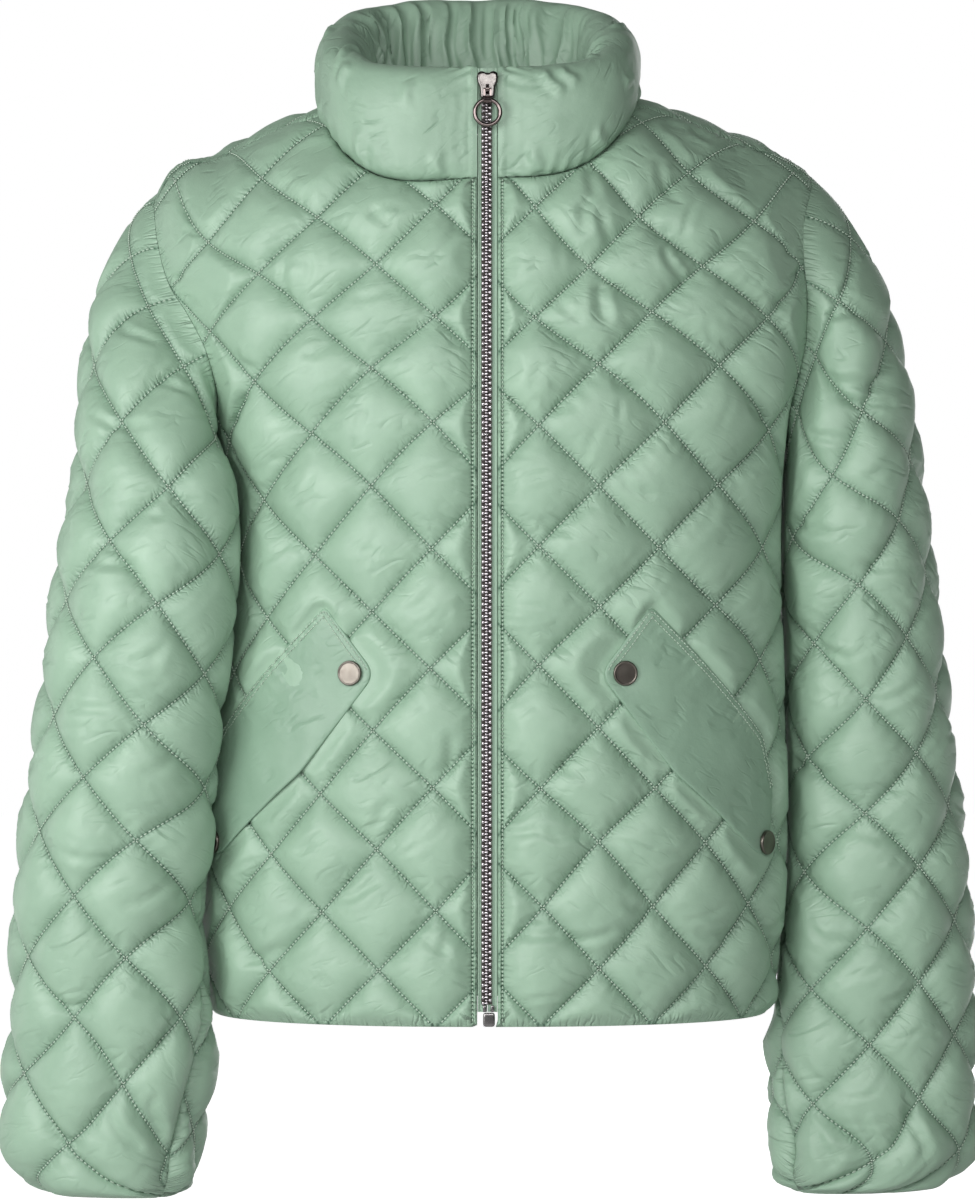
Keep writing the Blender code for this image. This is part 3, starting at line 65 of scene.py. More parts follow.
Room = Callable[[Array], Array]
# places along a front's outline count down from here beside the zip, and up from zero elsewhere
BY_ZIP = -1000.0


class Side(Enum):
    """The wearer's side, with the sign of its x."""

    RIGHT = -1
    LEFT = 1

    @property
    def label(self) -> str:
        """Ending of the names on this side."""
        return self.name.lower()


# ---------------------------------------------------------------- curves, tables and noise

def smooth(x: Array, xs: Array, ys: Array) -> Array:
    """Cubic Hermite curve through a table, held level beyond its ends.

    Args:
        x: Places to read.
        xs: Rising places of the table.
        ys: Its values.

    Returns:
        The values at x.
    """
    x = np.clip(x, xs[0], xs[-1])
    slopes = np.gradient(ys, xs)
    i = np.clip(np.searchsorted(xs, x, side="right") - 1, 0, len(xs) - 2)
    step = xs[i + 1] - xs[i]
    u = (x - xs[i]) / step
    rise = ys[i] * (1 + 2 * u) * (1 - u) ** 2 + ys[i + 1] * u * u * (3 - 2 * u)
    return rise + step * (slopes[i] * u * (1 - u) ** 2 - slopes[i + 1] * u * u * (1 - u))


def along(points: Array) -> Array:
    """Length along a polyline at each of its points."""
    return np.concatenate(([0.0], np.cumsum(np.linalg.norm(np.diff(points, axis=0), axis=1))))


def resample(points: Array, count: int) -> Array:
    """Space the points of a polyline evenly.

    Args:
        points: The polyline.
        count: Number of points wanted.

    Returns:
        The new points.
    """
    length = along(points)
    places = np.linspace(0, length[-1], count)
    return np.stack([np.interp(places, length, points[:, k]) for k in range(points.shape[1])], axis=1)


def evenly(points: Array, step: float) -> Array:
    """A polyline resampled at about the given spacing."""
    return resample(points, max(2, round(along(points)[-1] / step) + 1))


def unit(vectors: Array) -> Array:
    """Vectors of length one."""
    return vectors / np.maximum(np.linalg.norm(vectors, axis=-1, keepdims=True), 1e-9)


def ease(x: Union[Array, float]) -> Array:
    """Smooth step from 0 to 1."""
    x = np.clip(x, 0, 1)
    return x * x * (3 - 2 * x)


def close(points: Array) -> Array:
    """A polyline led back to its first point."""
    return np.concatenate([points, points[:1]])


def rounded(corners: Flat, radii: Sequence[float], steps: int = 7) -> Array:
    """Round the corners of an outline.

    Args:
        corners: Its corners in order.
        radii: One radius for each.
        steps: Points on each rounding.

    Returns:
        The closed outline.
    """
    points = np.array(corners)
    outline = []
    for k, corner in enumerate(points):
        back, on = points[k - 1] - corner, points[(k + 1) % len(points)] - corner
        before, after = unit(back), unit(on)
        half = math.acos(np.clip(before @ after, -1, 1)) / 2
        cut = min(radii[k] / math.tan(half), 0.45 * np.linalg.norm(back), 0.45 * np.linalg.norm(on))
        for u in np.linspace(0, 1, steps):
            outline.append((corner + before * cut * (1 - u)) * (1 - u) + (corner + after * cut * u) * u)
    return np.array(outline)


def edge_distance(points: Array, outline: Array) -> tuple[Array, Array]:
    """Measure how far flat points lie from a closed outline.

    Args:
        points: Flat points.
        outline: Corners of the outline.

    Returns:
        The distances, and the lengths along the outline at the nearest places.
    """
    start, end = outline, np.roll(outline, -1, axis=0)
    direction = end - start
    length = np.maximum(np.linalg.norm(direction, axis=1), 1e-6)
    begin = np.concatenate(([0.0], np.cumsum(length)[:-1]))
    distance, place = [], []
    for part in np.array_split(points, max(1, len(points) // 4000)):
        offset = part[:, None] - start[None]
        share = np.clip((offset * direction).sum(axis=2) / length ** 2, 0, 1)
        far = np.linalg.norm(offset - share[..., None] * direction, axis=2)
        near = far.argmin(axis=1)
        row = np.arange(len(part))
        distance.append(far[row, near])
        place.append(begin[near] + share[row, near] * length[near])
    return np.concatenate(distance), np.concatenate(place)


def line_distance(points: Array, line: Array) -> Array:
    """Distance of flat points from an open line."""
    return edge_distance(points, np.concatenate([line, line[-2:0:-1]]))[0]


def inside(points: Array, outline: Array) -> Array:
    """Tell which flat points lie inside a closed outline.

    Args:
        points: Flat points.
        outline: Corners of the outline.

    Returns:
        True for each point inside.
    """
    x0, y0 = outline[:, 0], outline[:, 1]
    x1, y1 = np.roll(x0, -1), np.roll(y0, -1)
    rise = np.where(y1 == y0, 1e-9, y1 - y0)
    result = []
    for part in np.array_split(points, max(1, len(points) // 4000)):
        x, y = part[:, :1], part[:, 1:]
        crosses = ((y0 > y) != (y1 > y)) & (x < x0 + (y - y0) * (x1 - x0) / rise)
        result.append(crosses.sum(axis=1) % 2 == 1)
    return np.concatenate(result)


def signed_area(outline: Array) -> float:
    """Area of a closed outline, above zero if it runs counter-clockwise."""
    ahead = np.roll(outline, -1, axis=0)
    return (outline[:, 0] * ahead[:, 1] - ahead[:, 0] * outline[:, 1]).sum() / 2


class Grain:
    """Seeded smooth noise over flat coordinates."""

    def __init__(self, seed: int) -> None:
        """Fill the noise's table."""
        self.table = np.random.default_rng(seed).uniform(-1, 1, (128, 128))

    def at(self, x: Array, y: Union[Array, float]) -> Array:
        """Read the noise.

        Args:
            x: First coordinates, in noise cells.
            y: Second coordinates.

        Returns:
            Values from -1 to 1.
        """
        x, y = np.broadcast_arrays(np.asarray(x, float), np.asarray(y, float))
        i, j = np.floor(x).astype(int), np.floor(y).astype(int)
        u, v = ease(x - i), ease(y - j)
        i, j, i1, j1 = i % 128, j % 128, (i + 1) % 128, (j + 1) % 128
        low = self.table[i, j] * (1 - u) + self.table[i1, j] * u
        high = self.table[i, j1] * (1 - u) + self.table[i1, j1] * u
        return low * (1 - v) + high * v

    def folds(self, x: Array, y: Union[Array, float]) -> Array:
        """Soft ridges with sharp valleys between them, from 0 to 1, running along y."""
        return np.abs(np.sin(math.pi * (x + 0.9 * self.at(x * 0.37, y)))) ** 0.75


# ---------------------------------------------------------------- forms

class Sheet:
    """Smooth surface over cloth coordinates, kept as a grid of points."""

    def __init__(self, s: Array, t: Array, points: Array, doubled: Optional[Array] = None) -> None:
        """Keep the grid.

        Args:
            s: Even cloth coordinates across.
            t: Even cloth coordinates up.
            points: Grid of points, t first.
            doubled: True where the grid repeats a place, beyond the side line.
        """
        self.s, self.t, self.points, self.doubled = s, t, points, doubled

    @staticmethod
    def _weights(place: Array, count: int) -> tuple[Array, Array]:
        """Cells and Catmull-Rom weights of places along one side of the grid.

        Args:
            place: Places in grid steps.
            count: Number of grid lines.

        Returns:
            Four cell numbers and four weights for each place.
        """
        place = np.clip(place, 0, count - 1.001)
        cell = place.astype(int)
        u = place - cell
        weights = np.stack([
            -0.5 * u + u ** 2 - 0.5 * u ** 3,
            1 - 2.5 * u ** 2 + 1.5 * u ** 3,
            0.5 * u + 2 * u ** 2 - 1.5 * u ** 3,
            0.5 * (u ** 3 - u ** 2),
        ])
        return np.clip(cell + np.arange(-1, 3).reshape((4,) + (1,) * cell.ndim), 0, count - 1), weights

    def at(self, s: Union[Array, float], t: Union[Array, float]) -> Array:
        """Points of the surface.

        Args:
            s: Cloth coordinates across.
            t: Cloth coordinates up.

        Returns:
            One point for each pair.
        """
        s, t = np.asarray(s, float), np.asarray(t, float)
        columns, across = self._weights((s - self.s[0]) / (self.s[1] - self.s[0]), len(self.s))
        rows, up = self._weights((t - self.t[0]) / (self.t[1] - self.t[0]), len(self.t))
        total = np.zeros(s.shape + (3,))
        for i in range(4):
            for j in range(4):
                total += self.points[rows[i], columns[j]] * (up[i] * across[j])[..., None]
        return total

    def normal(self, s: Union[Array, float], t: Union[Array, float], reach: float = 3.0) -> Array:
        """Outward normals.

        Args:
            s: Cloth coordinates across.
            t: Cloth coordinates up.
            reach: Half the span over which the slope is taken.

        Returns:
            One normal for each pair.
        """
        s, t = np.asarray(s, float), np.asarray(t, float)
        across = self.at(s + reach, t) - self.at(s - reach, t)
        return unit(np.cross(across, self.at(s, t + reach) - self.at(s, t - reach)))

    def find(self, axes: tuple[int, ...], target: Array, penalty: Union[Array, float] = 0.0) -> Array:
        """Cloth coordinates where some of the coordinates reach a target.

        Args:
            axes: The coordinates that count.
            target: Their wanted values.
            penalty: Added to each grid point's distance, to keep off the wrong half.

        Returns:
            The pair of cloth coordinates.
        """
        axes = list(axes)
        far = np.linalg.norm(self.points[..., axes] - np.asarray(target), axis=2) + penalty
        i, j = np.unravel_index(np.argmin(far), far.shape)
        place = np.array([self.s[j], self.t[i]])
        for _ in range(12):
            ds = (self.at(place[0] + 1, place[1]) - self.at(place[0] - 1, place[1]))[axes] / 2
            dt = (self.at(place[0], place[1] + 1) - self.at(place[0], place[1] - 1))[axes] / 2
            miss = target - self.at(place[0], place[1])[axes]
            step = np.linalg.lstsq(np.stack([ds, dt], axis=1), miss, rcond=0.02)[0]
            place = place + np.clip(step, -4, 4)
        return place


@dataclass(frozen=True)
class Form:
    """The hollow shape that the cloth hangs in."""

    hem_z: float = -551.0
    chest_z: float = -110.0
    front_power: float = 1.9
    back_power: float = 2.7
    ridge_y: float = 4.0
    armpit_z: float = -200.0
    bicep_z: float = -232.0
    cap_pull: float = 0.72
    sleeve_power: float = 2.2
    side_clear: float = 5.0
    flap_room: float = 8.5
    flap_end_z: float = -425.0
    flap_end_reach: float = 62.0
    step: float = 4.0
    # height, half width right, half width left, front, back, power of the section
    rings: tuple = (
        (-551, 170, 173, 112, 104, 2.3), (-508, 174, 176, 113, 106, 2.3), (-456, 174, 180, 114, 108, 2.3),
        (-400, 171, 180, 115, 109, 2.3), (-340, 166, 178, 116, 110, 2.3), (-290, 161, 177, 117, 110, 2.3),
        (-250, 160, 178, 118, 110, 2.3), (-215, 164, 181, 119, 111, 2.3), (-185, 176, 190, 119, 112, 2.25),
        (-150, 202, 206, 118, 112, 2.12), (-110, 218, 216, 116, 112, 2.0),
    )
    # x and z of the top of the shoulders
    ridge: tuple = (
        (-222, -92), (-214, -66), (-207, -50), (-200, -38), (-163, -21), (-105, 4), (-60, 12), (0, 17),
        (60, 15), (104, 7), (150, -11), (186, -25), (199, -34), (207, -47), (213, -64), (221, -92),
    )
    # height, middle x and y, half widths along x and y, turn of the seam
    sleeve_right: tuple = (
        (-658, -224.0, -50, 37.0, 31, 44), (-650, -229.0, -51, 47.0, 36, 43),
        (-636, -233.0, -51, 53.0, 39, 41), (-610, -232.5, -52, 55.5, 42, 36),
        (-550, -227.0, -55, 55.0, 46, 18), (-490, -229.0, -58, 52.0, 50, 4),
        (-430, -222.0, -60, 52.0, 54, 0), (-370, -215.5, -60, 50.0, 58, 0),
        (-310, -207.0, -58, 50.5, 62, 0), (-250, -201.0, -50, 48.0, 64, 0), (-215, -198.0, -42, 43.0, 66, 0),
    )
    sleeve_left: tuple = (
        (-662, 227.0, 2, 40.0, 32, 30), (-653, 233.0, 2, 51.0, 37, 30), (-638, 239.5, 3, 56.5, 41, 30),
        (-610, 237.5, 4, 58.0, 43, 26), (-550, 238.5, 6, 57.0, 47, 14), (-490, 239.0, 8, 52.0, 52, 4),
        (-430, 237.5, 10, 48.5, 56, 0), (-370, 234.0, 10, 45.5, 60, 0), (-310, 231.0, 10, 43.5, 64, 0),
        (-250, 225.0, 8, 40.0, 68, 0), (-215, 222.0, 6, 35.0, 70, 0),
    )

    def section(self, z: Union[Array, float], side: Side) -> tuple[Array, Array, Array, Array]:
        """Half width, front depth, back depth and power of the torso at a height.

        Args:
            z: Height or heights.
            side: Which half.

        Returns:
            The four values.
        """
        table = np.array(self.rings, float)
        columns = (1 if side is Side.RIGHT else 2, 3, 4, 5)
        return tuple(smooth(z, table[:, 0], table[:, k]) for k in columns)

    def half_ring(self, z: float, side: Side, samples: int = 700) -> Array:
        """Outline at a height, from the centre front round one side to the centre back.

        Args:
            z: Height.
            side: Which half.
            samples: Number of points.

        Returns:
            The points.
        """
        width, front, back, power = self.section(z, side)
        turn = np.linspace(0, math.pi, samples)
        x = side.value * width * np.abs(np.sin(turn)) ** (2 / power)
        y = np.where(turn < math.pi / 2, -front, back) * np.abs(np.cos(turn)) ** (2 / power)
        return np.stack([x, y, np.full(samples, float(z))], axis=1)

    def hoop(self, x: float, side: Side, from_front: bool, samples: int = 400) -> Array:
        """Curve over the shoulder in a plane of constant x.

        Args:
            x: The plane's place.
            side: Which half.
            from_front: True to start at the front chest line.
            samples: Number of points.

        Returns:
            The points.
        """
        ring = self.half_ring(self.chest_z, side)
        power = self.rings[-1][5]
        share = max(0.0, 1 - min(1.0, abs(x) / abs(ring[:, 0]).max()) ** power) ** (1 / power)
        front, back = ring[0, 1] * share, ring[-1, 1] * share
        ridge = np.array(self.ridge, float)
        top = float(smooth(x, ridge[:, 0], ridge[:, 1]))
        turn = np.linspace(0, math.pi, samples)
        curve = np.where(turn < math.pi / 2, self.front_power, self.back_power)
        reach = np.abs(np.cos(turn)) ** (2 / curve)
        y = self.ridge_y + np.where(turn < math.pi / 2, front - self.ridge_y, back - self.ridge_y) * reach
        z = self.chest_z + (top - self.chest_z) * np.abs(np.sin(turn)) ** (2 / curve)
        hoop = np.stack([np.full(samples, float(x)), y, z], axis=1)
        return hoop if from_front else hoop[::-1]

    def torso(self, from_front: bool) -> Sheet:
        """Sheet of the torso's front or back, with s measured from its centre line.

        Args:
            from_front: True for the front.

        Returns:
            The sheet.
        """
        s_side = np.arange(0, 330, self.step)
        t_rings = np.arange(0, self.chest_z - self.hem_z + 0.5, self.step)
        t_rings = t_rings * (self.chest_z - self.hem_z) / t_rings[-1]
        t_over = np.arange(1, 70) * t_rings[1]
        halves = {}
        for side in Side:
            rows = []
            for z in self.hem_z + t_rings:
                ring = self.half_ring(z, side)
                ring = ring if from_front else ring[::-1]
                rows.append(self._read(ring, s_side))
            lower = np.array(rows)
            columns = [self._read(self.hoop(x, side, from_front), t_over) for x in lower[-1, :, 0]]
            halves[side] = np.concatenate([lower, np.array(columns).transpose(1, 0, 2)])
        first, second = (Side.RIGHT, Side.LEFT) if from_front else (Side.LEFT, Side.RIGHT)
        points = np.concatenate([halves[first][:, :0:-1], halves[second]], axis=1)
        t_values = np.concatenate([t_rings, t_rings[-1] + t_over])
        chest = points[len(t_rings) - 1, :, 1]
        past = chest > 0 if from_front else chest < 0
        doubled = (t_values[:, None] > t_rings[-1]) & past[None, :]
        return Sheet(np.concatenate([-s_side[:0:-1], s_side]), t_values, points, doubled)

    @staticmethod
    def _read(line: Array, places: Array) -> Array:
        """Points at lengths along a polyline."""
        length = along(line)
        return np.stack([np.interp(places, length, line[:, k]) for k in range(3)], axis=1)

    def clear_of_torso(self, points: Array, side: Side) -> Array:
        """Push the points of a sleeve out of the torso, below the armhole.

        Args:
            points: Points of the sleeve.
            side: Which sleeve.

        Returns:
            The moved points.
        """
        width, front, back, power = self.section(points[..., 2], side)
        depth = np.where(points[..., 1] < 0, front, back)
        beside, deep = np.abs(points[..., 0] / width) ** power, np.abs(points[..., 1] / depth) ** power
        share = (beside + deep) ** (1 / power)
        by_flap = np.exp(-((points[..., 2] - self.flap_end_z) / self.flap_end_reach) ** 4)
        by_flap = by_flap * ease((-points[..., 1] - 15) / 25)
        wanted = 1 + (self.side_clear + self.flap_room * by_flap) / width
        push = np.maximum(1, wanted / np.maximum(share, 0.2)) - 1
        moved = points.copy()
        moved[..., :2] *= (1 + push * ease((self.armpit_z + 8 - points[..., 2]) / 30))[..., None]
        return moved

    def sleeve_ring(self, z: float, side: Side, samples: int = 721) -> Array:
        """Section of a sleeve from its underarm seam round to it again.

        Args:
            z: Height.
            side: Which sleeve.
            samples: Number of points.

        Returns:
            The points, to the right as seen from outside.
        """
        table = np.array(self.sleeve_right if side is Side.RIGHT else self.sleeve_left, float)
        x0, y0, half_x, half_y, seam = (float(smooth(z, table[:, 0], table[:, k])) for k in range(1, 6))
        start = math.radians(180 - seam)
        turn = np.linspace(start - math.tau, start, samples)
        x = np.sign(np.cos(turn)) * np.abs(np.cos(turn)) ** (2 / self.sleeve_power) * half_x
        y = -np.sign(np.sin(turn)) * np.abs(np.sin(turn)) ** (2 / self.sleeve_power) * half_y
        ring = np.stack([x0 + side.value * x, y0 + y, np.full(samples, float(z))], axis=1)
        return self.clear_of_torso(ring if side is Side.RIGHT else ring[::-1], side)

    def cap_curve(self, foot: Array, seam: Array, side: Side) -> Array:
        """Curve of the sleeve's cap from a point of the bicep ring up to the armhole.

        Args:
            foot: Point of the bicep ring.
            seam: Point of the armhole.
            side: Which sleeve.

        Returns:
            The points.
        """
        low = np.clip((seam[2] - self.armpit_z) / 120, 0, 1)
        lean = -side.value * (0.35 * ease(low / 0.15) + 0.5 * low)
        arrive = unit(np.array([lean, 0.0, 0.9 - 0.25 * low]))
        pull = np.linalg.norm(seam - foot) * self.cap_pull
        v = np.linspace(0, 1, 60)[:, None]
        start, end = np.array([0.0, 0.0, 1.0]) * pull, arrive * pull
        return (foot * (1 + 2 * v) * (1 - v) ** 2 + seam * v * v * (3 - 2 * v)
                + start * v * (1 - v) ** 2 - end * v * v * (1 - v))

    def sleeve(self, side: Side, armhole: Array) -> tuple[Sheet, Array, Array, Array]:
        """Sheet of a sleeve.

        Args:
            side: Which sleeve.
            armhole: Closed line of the armhole seam.

        Returns:
            The sheet, the armhole in its cloth coordinates, and the girths and cloth heights of the rings.
        """
        cuff_z = (self.sleeve_right if side is Side.RIGHT else self.sleeve_left)[0][0]
        t_rings = np.arange(0, self.bicep_z - cuff_z + 0.5, self.step)
        t_rings = t_rings * (self.bicep_z - cuff_z) / t_rings[-1]
        rings = [self.sleeve_ring(z, side) for z in cuff_z + t_rings]
        girths = np.array([along(ring)[-1] for ring in rings])
        cells = math.ceil((girths.max() / 2 + 2 * self.step) / self.step)
        s_values = np.arange(-cells, cells + 1) * self.step
        lower = np.array([self._read(ring, np.clip(s_values + girth / 2, 0, girth))
                          for ring, girth in zip(rings, girths)])
        bicep, seam_length = girths[-1], along(armhole)
        t_over = np.arange(1, 60) * t_rings[1]
        columns = []
        for s, foot in zip(s_values, lower[-1]):
            place = np.clip(s / bicep + 0.5, 0, 1) * seam_length[-1]
            seam = np.array([np.interp(place, seam_length, armhole[:, k]) for k in range(3)])
            curve = self.cap_curve(foot, seam, side)
            beyond = np.maximum(t_over - along(curve)[-1], 0)[:, None] * unit(curve[-1] - curve[-3])
            columns.append(self._read(curve, t_over) + beyond)
        upper = np.array(columns).transpose(1, 0, 2)
        points = self.clear_of_torso(np.concatenate([lower, upper]), side)
        sheet = Sheet(s_values, np.concatenate([t_rings, t_rings[-1] + t_over]), points)
        seam_st = []
        for place, seam in zip(seam_length / seam_length[-1], armhole):
            foot = self._read(rings[-1], np.array([place * bicep]))[0]
            rise = along(self.cap_curve(foot, seam, side))[-1]
            seam_st.append((place * bicep - bicep / 2, t_rings[-1] + rise))
        return sheet, np.array(seam_st), girths, t_rings


# ---------------------------------------------------------------- cutting

class Lattice:
    """Diamond lattice of the stitching over one panel, with rows that wander a little."""

    half_width: float = 34.0
    half_height: float = 35.5
    reach: float = 60.0
    give: float = 0.05

    def __init__(self, crossing: tuple[float, float], shifts: Sequence[tuple]) -> None:
        """Fit the wander to the crossings whose shifts are known.

        Args:
            crossing: Cloth coordinates of crossing (0, 0).
            shifts: Column, row, shift across and shift up of some crossings.
        """
        self.crossing, self.size = np.array(crossing), np.array([self.half_width, self.half_height])
        table = np.array(shifts, float).reshape(-1, 4)
        self.centres = self.crossing + table[:, :2] * self.size + table[:, 2:]
        bumps = self._bumps(self.centres) + self.give * np.eye(len(table))
        self.weights = np.linalg.solve(bumps, table[:, 2:])

    def _bumps(self, flat: Array) -> Array:
        """Weight of each known crossing at flat points."""
        far = np.linalg.norm(flat[..., None, :] - self.centres, axis=-1)
        return np.exp(-(far / self.reach) ** 2)

    def straight(self, flat: Array) -> Array:
        """Cloth coordinates from crossing (0, 0) with the wander taken out."""
        return flat - self.crossing - self._bumps(flat) @ self.weights

    def rows(self, flat: Array) -> tuple[Array, Array]:
        """Stitch-line coordinates of flat points: whole numbers lie on the rows of stitching."""
        p, q = (self.straight(flat) / self.size).T
        return (p + q) / 2, (p - q) / 2

    def flat(self, u: Array, v: Array) -> Array:
        """Cloth coordinates of stitch-line coordinates."""
        straight = self.crossing + np.stack([u + v, u - v], axis=-1) * self.size
        flat = straight
        for _ in range(10):
            flat = straight + self._bumps(flat) @ self.weights
        return flat


class Edge(NamedTuple):
    """One edge of a panel: flat points, the same points in space, and how far a fold bulges there."""

    flat: Array
    space: Array
    fold: float = 0.0


class Panel:
    """A flat outline on a sheet, with its seam points in space."""

    def __init__(self, name: str, sheet: Sheet, lattice: Lattice, edges: Sequence[Edge],
                 shoulders: Sequence[Array] = ()) -> None:
        """Join the edges to an outline.

        Args:
            name: Name of the piece.
            sheet: The surface it lies on.
            lattice: Rows of its quilting.
            edges: Edges in order, counter-clockwise seen from outside.
            shoulders: Its shoulder seams, in cloth coordinates.
        """
        self.name, self.sheet, self.lattice, self.shoulders = name, sheet, lattice, shoulders
        self.flat = np.concatenate([edge.flat[:-1] for edge in edges])
        self.space = np.concatenate([edge.space[:-1] for edge in edges])
        self.fold = np.concatenate([np.full(len(edge.flat) - 1, edge.fold) for edge in edges])

    @property
    def own_normals(self) -> Array:
        """The sheet's normals at the outline."""
        return self.sheet.normal(self.flat[:, 0], self.flat[:, 1])

    @property
    def area(self) -> float:
        """Flat area, in square metres."""
        return abs(signed_area(self.flat)) * MM * MM

    @property
    def is_front(self) -> bool:
        """True for the two fronts."""
        return self.name.startswith("front")

    @property
    def side(self) -> Side:
        """Side of a front or of a sleeve."""
        return Side.RIGHT if self.name.endswith("right") else Side.LEFT


@dataclass(frozen=True)
class Pattern:
    """The cut of the jacket: where its seams and edges run on the forms."""

    form: Form = Form()
    step: float = 3.0
    front_edge: float = 6.2
    fold: float = 1.5
    armhole_front_right: Flat = ((0, -200), (-22, -198), (-42, -190), (-60, -174), (-68, -150), (-62, -125),
                                 (-52, -104), (-40, -82))
    armhole_front_left: Flat = ((0, -200), (-18, -197), (-33, -186), (-42, -166), (-46, -142), (-49, -118),
                                (-51, -96), (-46, -74))
    armhole_back: Flat = ((0, -200), (22, -198), (42, -188), (57, -168), (62, -142), (58, -115), (50, -90))
    tip_right: tuple[float, float] = (-206.0, -14.0)
    tip_left: tuple[float, float] = (200.0, -16.0)
    shoulder_neck_y: float = -26.0
    neck_centre: tuple[float, float] = (-6.0, -9.0)
    neck_half_width: float = 92.0
    neck_front: float = 88.0
    neck_back: float = 86.0
    neck_powers: tuple[float, float] = (3.2, 2.6)
    crossings: dict = field(default_factory=lambda: {
        "front_right": (-31.5, 70.0), "front_left": (31.5, 70.0), "back": (0.0, 70.0),
        "sleeve_right": (101.0, 74.0), "sleeve_left": (-94.0, 26.0)})
    # how far crossings stray from the even lattice: column, row, shift across and up
    wander: dict = field(default_factory=lambda: {
        "back": (),
        "front_right": ((-4, 12, -8.3, -28.3), (-4, 0, -1.3, -3.7), (-3, 13, -6, -18.8),
            (-3, 11, -6.5, -11), (-3, 9, -11.3, -5), (-3, 7, -10.1, -5.4), (-3, 5, -5.6, -5.5),
            (-3, 1, -0.4, -5.5), (-3, -1, -1.9, -4.8), (-2, 12, -3.1, -14.3), (-2, 10, -5.9, -4.8),
            (-2, 8, -6.9, -1.2), (-2, 6, -5.3, -3.1), (-2, 2, -1.1, -3.9), (-2, 0, -0.1, -3.5),
            (-1, 11, -1, -7.6), (-1, 9, -3.7, 1.7), (-1, 7, -3.9, 2.5), (-1, 5, -3.3, -1.6),
            (-1, 3, -2.8, -1.3), (-1, 1, -0.6, -0.8), (-1, -1, 0.6, -2.2), (0, 12, 0.6, -7),
            (0, 10, 0.5, -3.9), (0, 8, -0.8, 4.6), (0, 6, -1.6, 0.7), (0, 4, -2.4, 0.4), (0, 2, -1.1, 0.5),
            (0, 0, 0.9, -2.3)),
        "front_left": ((0, 12, -3.3, -8.7), (0, 10, -3.8, -4.4), (0, 8, -1.2, 2.7), (0, 6, -1.2, 2.1),
            (0, 4, -1.2, 2.2), (0, 2, -0.3, -0.3), (0, 0, 1.2, 0.1), (1, 11, -5.5, -9.8), (1, 9, 0.4, 4.2),
            (1, 7, 0.2, 2.5), (1, 5, 1.1, 1.6), (1, 3, 0.2, 0.8), (1, 1, 0.3, 4.3), (1, -1, 0.8, -1),
            (2, 12, -9.2, -13.6), (2, 10, -1.3, -0.2), (2, 8, 7.2, 5), (2, 6, 3.9, 1.4), (2, 2, 0.9, -0.8),
            (2, 0, 0.1, -0.2), (3, 13, -11.2, -17), (3, 11, -2.7, -7.6), (3, 9, 7.8, 4.5),
            (3, 7, 9.6, 4.2), (3, 5, 7.9, 2.5), (3, 1, 0.5, 2.3), (3, -1, 1.3, -1.2), (4, 12, -1.5, -14.4),
            (4, 10, 8.2, -1.7), (4, 8, 17.4, 2.3), (4, 6, 18.9, 2), (4, 4, 14.2, 4.9), (4, 0, 0.6, -0.8)),
        "sleeve_right": ((-2, 12, -1.2, 3.5), (-2, 8, -0.8, 1.8), (-2, 6, 2.2, 3.1), (-2, 4, 1, 6.1),
            (-2, 0, 19.5, 1.3), (-1, 13, -4, 14.7), (-1, 11, 0.6, 4.1), (-1, 9, 1.1, 1.7),
            (-1, 7, -1.6, 3.4), (-1, 5, -2.2, 3), (-1, 3, -0.1, 3.1), (-1, 1, 10.3, 1),
            (-1, -1, 22.7, -4.8), (0, 12, -5.9, 10.8), (0, 10, -3.4, -2.1), (0, 8, -1.5, -0.3),
            (0, 6, -3.8, -0.7), (0, 4, -3, 1.5), (0, 2, 0.3, 1.8), (0, 0, 15.8, -3.3), (1, 9, 4, -6.4),
            (1, 7, 0.9, -6.8), (1, 5, 13.6, -4.4), (1, 3, 9.3, -2.3), (1, 1, 6.9, 0.2),
            (1, -1, 14.5, -11.9)),
        "sleeve_left": ((-1, 11, -13.7, -14.7), (-1, 9, 6.3, -7.9), (-1, 7, -0.6, -6.6), (-1, 5, -7, -6.8),
            (-1, 3, -7.8, -7.3), (-1, 1, -13.3, -6.2), (0, 12, -6.1, -12.7), (0, 10, 3.8, -7.5),
            (0, 8, 6.3, -6.5), (0, 6, 3.8, -4.8), (0, 4, -1.9, -4.1), (0, 2, -9.7, -4.4),
            (0, 0, -10.2, -5.3), (1, 15, -7.8, -9.7), (1, 13, -19.1, -9.5), (1, 11, -1.7, -3.6),
            (1, 9, -3.4, -4), (1, 7, 2.3, -4.2), (1, 5, -0.7, -2), (1, 3, -9.3, -1.8), (1, 1, -15.6, -1.8),
            (2, 14, -10.4, 0.9), (2, 4, -9.3, -0.9), (2, 2, -23.3, -0.1), (2, 0, -25.9, 0.5)),
    })

    def lattice(self, name: str) -> Lattice:
        """Rows of stitching of one panel."""
        return Lattice(self.crossings[name], self.wander[name])

    def keep_off(self, sheet: Sheet, sign: float, upper: bool = True) -> Array:
        """Penalty that keeps a search on one half of a sheet.

        Args:
            sheet: The sheet.
            sign: Sign of s on the wanted half.
            upper: True to stay above the chest line.

        Returns:
            The penalty at each grid point.
        """
        penalty = np.where(sheet.s[None, :] * sign < 2, 1e4, 0.0) + np.where(sheet.doubled, 1e4, 0.0)
        if upper:
            penalty = penalty + np.where(sheet.t[:, None] < self.form.chest_z - self.form.hem_z, 1e4, 0.0)
        return penalty

